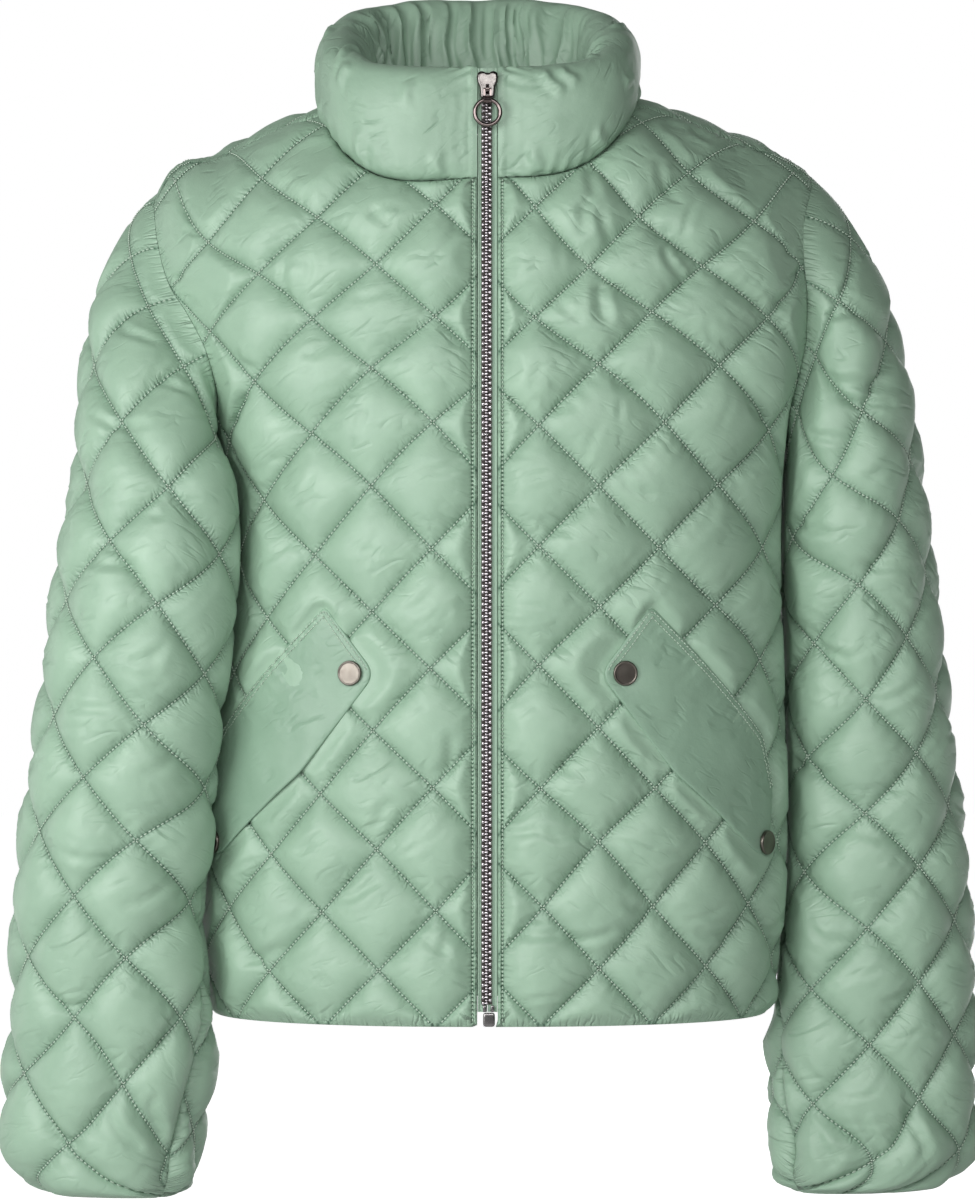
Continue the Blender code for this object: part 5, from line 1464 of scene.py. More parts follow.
class Num:
    """A socket of the node tree that takes part in Python expressions."""

    def __init__(self, graph: "Graph", socket: bpy.types.NodeSocket) -> None:
        """Wrap a socket."""
        self.graph, self.socket = graph, socket

    def _math(self, operation: str, *values: Union["Num", float]) -> "Num":
        """One Math node."""
        return self.graph.node("ShaderNodeMath", {"operation": operation}, dict(enumerate(values)))

    def __add__(self, other: Union["Num", float]) -> "Num":
        """Sum."""
        return self._math("ADD", self, other)

    def __radd__(self, other: float) -> "Num":
        """Sum with a number in front."""
        return self._math("ADD", other, self)

    def __sub__(self, other: Union["Num", float]) -> "Num":
        """Difference."""
        return self._math("SUBTRACT", self, other)

    def __rsub__(self, other: float) -> "Num":
        """Difference from a number."""
        return self._math("SUBTRACT", other, self)

    def __mul__(self, other: Union["Num", float]) -> "Num":
        """Product."""
        return self._math("MULTIPLY", self, other)

    def __truediv__(self, other: Union["Num", float]) -> "Num":
        """Quotient."""
        return self._math("DIVIDE", self, other)

    def __neg__(self) -> "Num":
        """Opposite."""
        return self._math("MULTIPLY", self, -1.0)

    def __abs__(self) -> "Num":
        """Size without sign."""
        return self._math("ABSOLUTE", self)

    def sine(self) -> "Num":
        """Sine."""
        return self._math("SINE", self)

    def most(self, other: Union["Num", float]) -> "Num":
        """The larger of two."""
        return self._math("MAXIMUM", self, other)

    def from_whole(self) -> "Num":
        """Distance to the nearest whole number."""
        return abs(self - self._math("ROUND", self))

    def step(self, low: float, high: float) -> "Num":
        """Smooth step from 1 at low to 0 at high."""
        return self.graph.node("ShaderNodeMapRange", {"interpolation_type": "SMOOTHSTEP"},
                               {0: self, 1: low, 2: high, 3: 1.0, 4: 0.0})


class Graph:
    """Node tree of one material around its Principled shader."""

    def __init__(self, name: str) -> None:
        """Make the material."""
        self.material = bpy.data.materials.new(name)
        self.material.use_nodes = True
        self.tree = self.material.node_tree
        self.shader = self.tree.nodes["Principled BSDF"]

    def node(self, kind: str, settings: dict, values: dict, output: Union[int, str] = 0) -> Num:
        """Add a node.

        Args:
            kind: Its type.
            settings: Properties to set on it.
            values: Sockets, numbers or tuples for its inputs, by name or place.
            output: Which output to give back.

        Returns:
            The output.
        """
        made = self.tree.nodes.new(kind)
        for key, value in settings.items():
            setattr(made, key, value)
        for key, value in values.items():
            self.put(made.inputs[key], value)
        return Num(self, made.outputs[output])

    def put(self, socket: bpy.types.NodeSocket, value: Union[Num, float, tuple]) -> None:
        """Link or set one input."""
        if isinstance(value, Num):
            self.tree.links.new(value.socket, socket)
        else:
            socket.default_value = value

    def part(self, vector: Num, axis: int) -> Num:
        """One coordinate of a vector."""
        return self.node("ShaderNodeSeparateXYZ", {}, {0: vector}, axis)

    def vector(self, *parts: Union[Num, float]) -> Num:
        """Vector of three coordinates."""
        return self.node("ShaderNodeCombineXYZ", {}, dict(enumerate(parts)))

    def mix(self, factor: Union[Num, float], first: Union[Num, tuple], second: Union[Num, tuple]) -> Num:
        """Mix two colours.

        Args:
            factor: Share of the second.
            first: First colour.
            second: Second colour.

        Returns:
            The colour.
        """
        return self.node("ShaderNodeMix", {"data_type": "RGBA"}, {0: factor, 6: first, 7: second}, 2)

    def noise(self, place: Num, scale: float, detail: float = 3.0, roughness: float = 0.55) -> Num:
        """Noise around zero.

        Args:
            place: Coordinates.
            scale: Cells to the metre.
            detail: Number of octaves.
            roughness: Strength of the finer ones.

        Returns:
            Values from about -0.5 to 0.5.
        """
        values = {"Vector": place, "Scale": scale, "Detail": detail, "Roughness": roughness}
        return self.node("ShaderNodeTexNoise", {}, values) - 0.5

    def finish(self, fixed: dict, varying: dict, relief: Optional[Num] = None) -> bpy.types.Material:
        """Set the shader.

        Args:
            fixed: Numbers or colours for its sockets.
            varying: Outputs for its sockets.
            relief: Height for the bump, in millimetres.

        Returns:
            The material.
        """
        for key, value in fixed.items():
            self.shader.inputs[key].default_value = value
        for key, value in varying.items():
            self.put(self.shader.inputs[key], value)
        if relief is not None:
            bump = self.node("ShaderNodeBump", {}, {"Strength": 1.0, "Distance": MM, "Height": relief})
            self.put(self.shader.inputs["Normal"], bump)
        return self.material


def grey(level: float) -> tuple[float, float, float, float]:
    """Linear grey."""
    return (level, level, level, 1.0)


def srgb(*levels: float) -> tuple[float, float, float, float]:
    """Linear colour from 8-bit display levels."""
    linear = [((c / 255 + 0.055) / 1.055) ** 2.4 for c in levels]
    return (*linear, 1.0)


@dataclass(frozen=True)
class Satin:
    """Smooth dyed nylon cloth, with or without rows of stitching."""

    # light is the cloth's own colour; deep is the colour it is mixed towards, for random tone and for painted
    # shade in creases, stitch valleys and needle holes
    light: Colour = (152, 181, 158)
    deep: Colour = (86, 117, 97)
    roughness: float = 0.42
    sheen: float = 0.2
    rows: bool = False
    weave: float = 0.5
    crinkle: float = 0.3
    gather: float = 0.46
    pinch: float = 0.4
    # fine creases: length and width of their cells, and depth, which also sets the painted shade in them
    creases: tuple = ((38.0, 15.0, 0.55), (19.0, 7.5, 0.2))
    stitch_pitch: float = 2.46

    def make(self, name: str, quilting: Quilting) -> bpy.types.Material:
        """Make the material.

        Args:
            name: Its name.
            quilting: Sizes of the quilting.

        Returns:
            The material.
        """
        graph = Graph(name)
        cloth = graph.node("ShaderNodeUVMap", {"uv_map": "cloth"}, {})
        x = graph.part(cloth, 0) / MM
        y = graph.part(cloth, 1) / MM
        broad = graph.noise(cloth, 28.0, 2.0)
        fine = graph.noise(cloth, 160.0, 3.0, 0.5)
        warp = (x * (math.tau / self.weave)).sine() + (y * (math.tau / self.weave)).sine()
        relief = fine * self.crinkle + warp * 0.01
        # share of the deep colour: random tone from the noise here, with painted shade added below
        shade = 0.12 + broad * 0.4 + fine * 0.12
        for k, (length, width, depth) in enumerate(self.creases):
            run, aside = abs(x) * 0.87 - y * 0.5, y * 0.87 + abs(x) * 0.5
            lane = graph.vector(run / length, aside / width, 4.0 + 3.0 * k)
            line = (1.0 - abs(graph.noise(lane, 1.0, 1.5, 0.4)) * 15.0).most(0.0)
            patch = graph.vector(x / 24.0, y / 24.0, 8.0 + 5.0 * k)
            line = line * (-graph.noise(patch, 1.0, 1.0)).step(-0.16, 0.0)
            relief = relief - line * depth
            # painted shade: the fine creases darker than the cloth around them
            shade = shade + line * (0.14 * depth)
        if self.rows:
            across, up = x / Lattice.half_width, y / Lattice.half_height
            first, second = (across + up) * 0.5, (across - up) * 0.5
            for row, run, seed in ((first, second, 3.0), (second, first, 11.0)):
                away = row.from_whole() * quilting.side_length
                length = run * quilting.side_length
                hole = (length / self.stitch_pitch).from_whole() * self.stitch_pitch
                fan = self._gathered(graph, length, row * 9.0 + away * 0.06, seed)
                pinch = hole.step(0.0, self.stitch_pitch / 2)
                relief = relief + fan * away.step(0.0, 6.0) * self.gather
                relief = relief - pinch * away.step(0.3, 2.4) * self.pinch
                # painted shade: darker at the stitch valleys, in a broad band beside each row and in the
                # needle holes
                shaded_holes = away.step(0.3, 0.9) * hole.step(0.3, 0.75)
                shade = shade + away.step(0.2, 1.7) * 0.32 + away.step(0.5, 7.0) * 0.14 + shaded_holes * 0.9
            edge = graph.node("ShaderNodeUVMap", {"uv_map": "edge"}, {})
            far = graph.part(edge, 0) / MM
            place = graph.part(edge, 1) / MM
            by_zip = place.step(BY_ZIP / 2, BY_ZIP / 2 + 100.0)
            fan = self._gathered(graph, place, far * 0.06, 5.0)
            relief = relief + fan * far.step(0.0, 9.0) * (self.gather * 1.5)
            row = abs(far - 2.7)
            hole = (place / self.stitch_pitch).from_whole() * self.stitch_pitch
            # painted shade in the needle holes and along the stitch row beside the zip
            shaded_holes = by_zip * row.step(0.35, 0.9) * hole.step(0.35, 0.8)
            relief = relief - shaded_holes * 0.5 - hole.step(0.0, 1.2) * row.step(0.3, 2.0) * by_zip * self.pinch
            shade = shade + shaded_holes * 0.9 + row.step(0.0, 0.8) * by_zip * 0.2
        colour = graph.mix(shade.most(0.0), srgb(*self.light), srgb(*self.deep))
        fixed = {"Sheen Weight": self.sheen, "Sheen Roughness": 0.45, "Specular IOR Level": 0.5,
                 "Sheen Tint": srgb(*self.light)}
        return graph.finish(fixed, {"Base Color": colour, "Roughness": self.roughness + broad * 0.12}, relief)

    @staticmethod
    def _gathered(graph: Graph, length: Num, line: Num, seed: float) -> Num:
        """Short folds across a seam or a row of stitching.

        Args:
            graph: The material's tree.
            length: Length along the row, in millimetres.
            line: Differs from row to row.
            seed: Differs from one direction to the other.

        Returns:
            Heights around zero, in patches.
        """
        shift = graph.vector(length / 6.0, line, seed)
        wave = abs(((length / 4.1 + graph.noise(shift, 1.0, 1.0) * 3.2) * math.pi).sine()) - 0.62
        patch = graph.vector(length / 19.0, line * 0.6, seed + 1.0)
        return wave * (graph.noise(patch, 1.0, 1.0) * 4.0 + 0.7).most(0.1)


@dataclass(frozen=True)
class Metal:
    """Polished or brushed plating."""

    light: Colour = (206, 204, 206)
    deep: Colour = (150, 148, 152)
    roughness: float = 0.2
    scratches: float = 0.03

    def make(self, name: str) -> bpy.types.Material:
        """Make the material."""
        graph = Graph(name)
        place = graph.node("ShaderNodeTexCoord", {}, {}, "Object")
        stain = graph.noise(place, 260.0, 3.0)
        drawn = graph.node("ShaderNodeMapping", {}, {0: place, 3: (900.0, 900.0, 5200.0)})
        brush = graph.noise(drawn, 1.0, 2.0)
        colour = graph.mix((0.25 + stain).most(0.0), srgb(*self.light), srgb(*self.deep))
        varying = {"Base Color": colour, "Roughness": self.roughness + stain * 0.1 + brush * 0.06}
        return graph.finish({"Metallic": 1.0}, varying, brush * self.scratches)


@dataclass(frozen=True)
class Yarn:
    """Twisted thread or woven tape, with ribs along one direction."""

    light: Colour = (164, 200, 174)
    deep: Colour = (112, 150, 124)
    rib: float = 0.9
    roughness: float = 0.62

    def make(self, name: str) -> bpy.types.Material:
        """Make the material."""
        graph = Graph(name)
        place = graph.node("ShaderNodeTexCoord", {}, {}, "Object")
        x = graph.part(place, 0) / MM
        z = graph.part(place, 2) / MM
        ribs = ((abs(x) + z) * (math.tau / self.rib)).sine() + ((abs(x) - z) * (math.tau / self.rib)).sine()
        fuzz = graph.noise(place, 1500.0, 3.0)
        shade = (0.3 - ribs * 0.16 + fuzz * 0.5).most(0.0)
        colour = graph.mix(shade, srgb(*self.light), srgb(*self.deep))
        fixed = {"Roughness": self.roughness, "Sheen Weight": 0.2}
        return graph.finish(fixed, {"Base Color": colour}, ribs * 0.04 + fuzz * 0.05)


@dataclass(frozen=True)
class Palette:
    """Every finish of the jacket."""

    quilted: bpy.types.Material
    plain: bpy.types.Material
    flap: bpy.types.Material
    thread: bpy.types.Material
    tape: bpy.types.Material
    teeth: bpy.types.Material
    nickel: bpy.types.Material
    plated: bpy.types.Material
    chrome: bpy.types.Material
    cord: bpy.types.Material
    snap: bpy.types.Material

    @classmethod
    def mixed(cls, quilting: Quilting) -> "Palette":
        """Make all the materials."""
        return cls(
            quilted=Satin(rows=True).make("quilted_satin", quilting),
            # plain and flap satin are darker copies of the quilted satin: painted shade
            plain=Satin(light=(146, 174, 152)).make("plain_satin", quilting),
            flap=Satin(light=(137, 166, 144)).make("flap_satin", quilting),
            # thread paler than the cloth: its own pale yarn, with painted highlight for its gloss
            thread=Yarn(light=(208, 226, 208), deep=(172, 196, 176), rib=0.5).make("sewing_thread"),
            tape=Yarn(light=(164, 190, 170), deep=(124, 152, 131)).make("zip_tape_weave"),
            teeth=Metal(light=(206, 200, 204), deep=(140, 132, 136), roughness=0.2).make("zip_teeth_metal"),
            nickel=Metal(light=(138, 136, 136), deep=(100, 98, 98), roughness=0.24).make("nickel"),
            plated=Metal(light=(112, 108, 106), deep=(58, 55, 54), roughness=0.15).make("slider_plating"),
            chrome=Metal(light=(118, 108, 106), deep=(70, 60, 58), roughness=0.09,
                         scratches=0.01).make("dark_chrome"),
            # painted shadow: a dark strip that shows in the gaps between the zip teeth
            cord=Yarn(light=(70, 62, 58), deep=(38, 32, 30)).make("zip_cord_weave"),
            snap=Metal(light=(116, 111, 104), deep=(94, 88, 81), roughness=0.34).make("snap_metal"),
        )


# ---------------------------------------------------------------- sub-assemblies

class Piece:
    """What every sub-assembly shares: the cut and the finishes."""

    def __init__(self, cut: Cut, palette: Palette) -> None:
        """Keep the cut and the finishes."""
        self.cut, self.palette = cut, palette

    def keep(self, obj: bpy.types.Object, slot: str, nodes: Sequence[str] = (),
             body: str = "garment") -> None:
        """Give a piece its body and hide the nodes it stands for.

        Args:
            obj: The piece.
            slot: Not used.
            nodes: CAD nodes that it replaces.
            body: The body it moves with.
        """
        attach(obj, body)
        if nodes:
            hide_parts(*nodes)
        LOG.info("%s: %d vertices", obj.name, len(obj.data.vertices))


@dataclass(frozen=True)
class FoldTable:
    """Listed folds, by panel."""

    front_right: Sequence[Fold] = laid_in(
        (-120, 524, -122, 502, 1.8), (-119, 458, -123, 431, 2.2), (-68, 484, -58, 473, 1.6),
        (-109, 400, -87, 406, 1.8), (-102, 548, -91, 531, 2.0), (-219, 484, -186, 473, 2.4),
        (-220, 474, -189, 462, 2.0), (-221, 451, -190, 446, 2.4), (-221, 439, -191, 430, 2.2),
        (-196, 426, -181, 412, 3.0), (-181, 413, -175, 394, 3.0), (-168, 359, -150, 377, 2.6),
        (-34, 54, -28, 42, 2.4), (-22, 54, -28, 42, 2.4), (-26, 151, -19, 173, 2.4),
        (-147, 331, -122, 340, 1.6), (-79, 432, -55, 436, 1.4), (-64, 405, -40, 413, 1.3),
        (-116, 349, -86, 357, 1.5), (-34, 330, -15, 334, 1.3), (-141, 277, -117, 286, 1.6),
        (-55, 134, -69, 117, 1.8), (-115, 103, -95, 112, 1.8), (-153, 36, -122, 44, 2.0),
        (-86, 74, -64, 85, 1.8), (-46, 247, -28, 260, 1.4), (-155, 403, -144, 390, 2.0))
    front_left: Sequence[Fold] = laid_in(
        (63, 519, 60, 490, 2.6, 3.6), (60, 490, 53, 468, 2.4, 3.6), (66, 484, 71, 464, 2.0),
        (67, 441, 66, 417, 3.0, 4.0), (102, 517, 110, 491, 2.2), (104, 462, 116, 441, 2.2),
        (162, 515, 170, 498, 2.0), (7, 116, 31, 115, 2.0), (34, 117, 58, 112, 2.2), (19, 57, 43, 52, 2.0),
        (46, 52, 75, 54, 2.2), (183, 475, 216, 488, 2.4), (180, 462, 213, 470, 2.0),
        (179, 449, 210, 453, 2.4), (175, 434, 204, 435, 2.0), (31, 372, 52, 365, 1.5),
        (73, 384, 92, 377, 1.4), (31, 301, 50, 291, 1.5), (80, 324, 97, 313, 1.5), (31, 229, 47, 222, 1.5),
        (92, 157, 110, 142, 1.8), (43, 158, 58, 146, 1.8), (80, 74, 102, 65, 2.0), (125, 55, 151, 50, 2.0),
        (43, 431, 52, 417, 1.8), (130, 415, 147, 403, 1.8), (160, 373, 179, 359, 2.0))
    back: Sequence[Fold] = laid_in(
        (-150, 420, -176, 433, 2.4), (-152, 405, -180, 410, 2.2), (150, 424, 178, 436, 2.4),
        (154, 402, 182, 405, 2.2), (-60, 480, -66, 455, 2.0), (52, 492, 60, 466, 2.2),
        (8, 440, 30, 434, 1.6), (-110, 330, -84, 338, 1.8), (96, 318, 122, 326, 1.8),
        (-30, 250, -6, 243, 1.5), (60, 205, 86, 214, 1.7), (-140, 180, -112, 172, 1.8),
        (-70, 110, -46, 118, 1.8), (18, 96, 44, 90, 2.0), (124, 70, 150, 62, 2.0), (-120, 48, -92, 42, 2.0))
    sleeve_right: Sequence[Fold] = laid_in(
        (140, 113, 128, 94, 1.8), (48, 471, 83, 461, 2.0), (57, 384, 85, 378, 1.8),
        (90, 408, 105, 417, 2.0), (53, 300, 78, 293, 1.8), (87, 324, 107, 331, 2.0),
        (60, 211, 86, 204, 1.8), (94, 181, 119, 187, 2.0), (65, 121, 88, 116, 2.0), (76, 48, 96, 30, 2.4),
        (113, 55, 129, 30, 2.6), (135, 66, 143, 35, 2.4), (50, 531, 77, 521, 2.2), (85, 500, 103, 487, 2.4),
        (98, 259, 119, 266, 1.8), (-20, 440, 6, 432, 1.8), (-60, 360, -34, 368, 1.8),
        (-90, 250, -66, 242, 1.8), (-30, 160, -4, 168, 1.8), (-76, 60, -60, 32, 2.4), (10, 62, 22, 30, 2.4),
        (-120, 420, -100, 405, 2.0))
    sleeve_left: Sequence[Fold] = laid_in(
        (-95, 499, -53, 492, 3.0, 4.0), (-91, 488, -57, 481, 2.6), (-115, 468, -88, 458, 2.4),
        (-134, 413, -103, 405, 2.4), (-89, 388, -62, 382, 2.0), (-119, 340, -98, 327, 2.2),
        (-86, 303, -63, 309, 1.8), (-142, 265, -109, 257, 2.2), (-95, 224, -71, 216, 1.8),
        (-127, 162, -105, 153, 2.0), (-94, 120, -72, 126, 1.8), (-142, 82, -130, 64, 2.0),
        (-112, 52, -103, 22, 2.6), (-84, 58, -80, 24, 2.6), (-140, 39, -124, 15, 2.6),
        (-90, 544, -58, 538, 2.4), (0, 430, 24, 420, 1.8), (40, 330, 66, 338, 1.8), (-20, 240, 4, 232, 1.8),
        (70, 190, 94, 182, 1.8), (30, 64, 44, 32, 2.4), (100, 420, 122, 408, 2.0))


class QuiltedPanels(Piece):
    """The five quilted panels and their stitching."""

    def __init__(self, cut: Cut, palette: Palette, quilting: Quilting, folds: FoldTable) -> None:
        """Keep what the panels are made from."""
        super().__init__(cut, palette)
        self.quilting, self.folds = quilting, folds
        self.wall, self.threads = ClothWall(), Threads()

    def _room(self, panel: Panel) -> Room:
        """Distance from a panel to the facing cloth.

        Args:
            panel: The panel.

        Returns:
            A function of cloth coordinates.
        """
        sleeves = {side.label: self.cut.panels[f"sleeve_{side.label}"].sheet for side in Side}
        if panel.name.startswith("sleeve"):
            facing = [self.cut.front, self.cut.back]
        elif panel.name == "back":
            facing = list(sleeves.values())
        else:
            facing = [sleeves[panel.name.split("_")[1]]]
        points = np.concatenate([sheet.points.reshape(-1, 3) for sheet in facing])
        tree = KDTree(len(points))
        for k, point in enumerate(points.tolist()):
            tree.insert(point, k)
        tree.balance()

        def room(flat: Array) -> Array:
            """Distance at cloth coordinates."""
            places = panel.sheet.at(flat[:, 0], flat[:, 1])
            return np.array([tree.find(place)[2] for place in places.tolist()])

        return room

    def build(self) -> None:
        """Make every panel and its threads."""
        for panel in self.cut.panels.values():
            room = self._room(panel)
            folds = getattr(self.folds, panel.name)
            fine = self.quilting.grid(panel, True)
            if panel.is_front:
                fine = self._beside_zip(panel, fine)
            heights = self.quilting.height(panel, fine, room, folds)
            coarse = self.quilting.grid(panel, False)
            shared = self.cut.normals(panel)
            obj = self.wall.build(panel, shared, fine, heights, coarse, self.palette.quilted)
            self.keep(obj, panel.name, [panel.name])
            size = np.ptp(panel.flat, axis=0) * MM
            panel.area
            self._sew(panel, room, folds)

    def _beside_zip(self, panel: Panel, fine: Array) -> Array:
        """Add rows of points along the top stitching beside the zip.

        Args:
            panel: A front.
            fine: Its points.

        Returns:
            The points with the rows.
        """
        sign, stitch = panel.side.value, self.quilting.front_stitch
        fine = fine[np.abs(np.abs(fine[:, 0]) - stitch) > 1.1]
        rows = [np.stack([np.full_like(t, sign * (stitch + away)), t], axis=1)
                for away in (-1.35, -0.45, 0.0, 0.6, 1.5)
                for t in [np.arange(1.6, panel.flat[:, 1].max(), 1.8)]]
        added = np.concatenate(rows)
        added = added[inside(added, panel.flat)]
        added = added[edge_distance(added, panel.flat)[0] > 1.1]
        return np.concatenate([fine, added])

    def _sew(self, panel: Panel, room: Room, folds: Sequence[Fold]) -> None:
        """Make a panel's stitches.

        Args:
            panel: The panel.
            room: Distance to facing cloth.
            folds: Its folds.
        """
        quilting = self.quilting
        u, v = panel.lattice.rows(panel.flat)
        per_side = round(quilting.side_length / Satin().stitch_pitch)
        starts, ends = [], []
        for low, high, other_low, other_high, first in (
                (u.min(), u.max(), v.min(), v.max(), True), (v.min(), v.max(), u.min(), u.max(), False)):
            row = np.arange(math.floor(low), math.ceil(high) + 1)
            place = np.arange(math.floor(other_low) * per_side, math.ceil(other_high) * per_side) / per_side
            grid_row, grid_place = np.meshgrid(row, place)
            after = grid_place + 1 / per_side
            pair = [(grid_row, p) if first else (p, grid_row) for p in (grid_place, after)]
            starts.append(panel.lattice.flat(*pair[0]).reshape(-1, 2))
            ends.append(panel.lattice.flat(*pair[1]).reshape(-1, 2))
        start, end = np.concatenate(starts), np.concatenate(ends)
        middle = (start + end) / 2
        keep = inside(middle, panel.flat)
        start, end, middle = start[keep], end[keep], middle[keep]
        keep = edge_distance(middle, panel.flat)[0] > 2.0
        if panel.is_front:
            side = panel.side
            keep &= np.abs(middle[:, 0]) > quilting.front_stitch + 1.2
            keep &= ~inside(middle, quilting.flap.outline(side))
            t = np.arange(2.0, panel.flat[:, 1].max() - 4, quilting.front_stitch_pitch)
            line = np.stack([np.full_like(t, side.value * quilting.front_stitch), t], axis=1)
            line = line[inside(line, panel.flat)]
            start, end = np.concatenate([start[keep], line[:-1]]), np.concatenate([end[keep], line[1:]])
        else:
            start, end = start[keep], end[keep]
        both = np.concatenate([start, end])
        height = quilting.height(panel, both, room, folds)
        places = panel.sheet.at(both[:, 0], both[:, 1])
        places = places + panel.sheet.normal(both[:, 0], both[:, 1]) * height[:, None]
        middle = (start + end) / 2
        normal = panel.sheet.normal(middle[:, 0], middle[:, 1])
        count = len(start)
        obj = self.threads.sew(f"thread_{panel.name}", places[:count], places[count:], normal,
                               self.palette.thread)
        self.keep(obj, panel.name)


@dataclass(frozen=True)
class Snap:
    """Round cap of a snap, turned from a profile of radius and height."""

    profile: Flat = ((7.4, 0.0), (7.5, 0.8), (7.4, 1.4), (7.1, 1.85), (6.75, 2.0), (6.4, 1.9), (6.15, 1.7),
                     (5.9, 1.68), (4.0, 1.76), (2.4, 1.82), (0.9, 1.85))
    sides: int = 48

    def build(self, name: str, foot: Array, normal: Array, material: bpy.types.Material) -> bpy.types.Object:
        """Make the cap.

        Args:
            name: Its name.
            foot: Middle of its underside.
            normal: Its axis.
            material: The finish.

        Returns:
            The object.
        """
        first = unit(np.cross([0.0, 0.0, 1.0], normal))
        second = np.cross(normal, first)
        turns = np.arange(self.sides) * math.tau / self.sides
        rim = np.cos(turns)[:, None] * first + np.sin(turns)[:, None] * second
        grid = np.stack([foot + normal * height + radius * rim for radius, height in self.profile])
        return grid_mesh(name, grid, material, sharp=50.0)


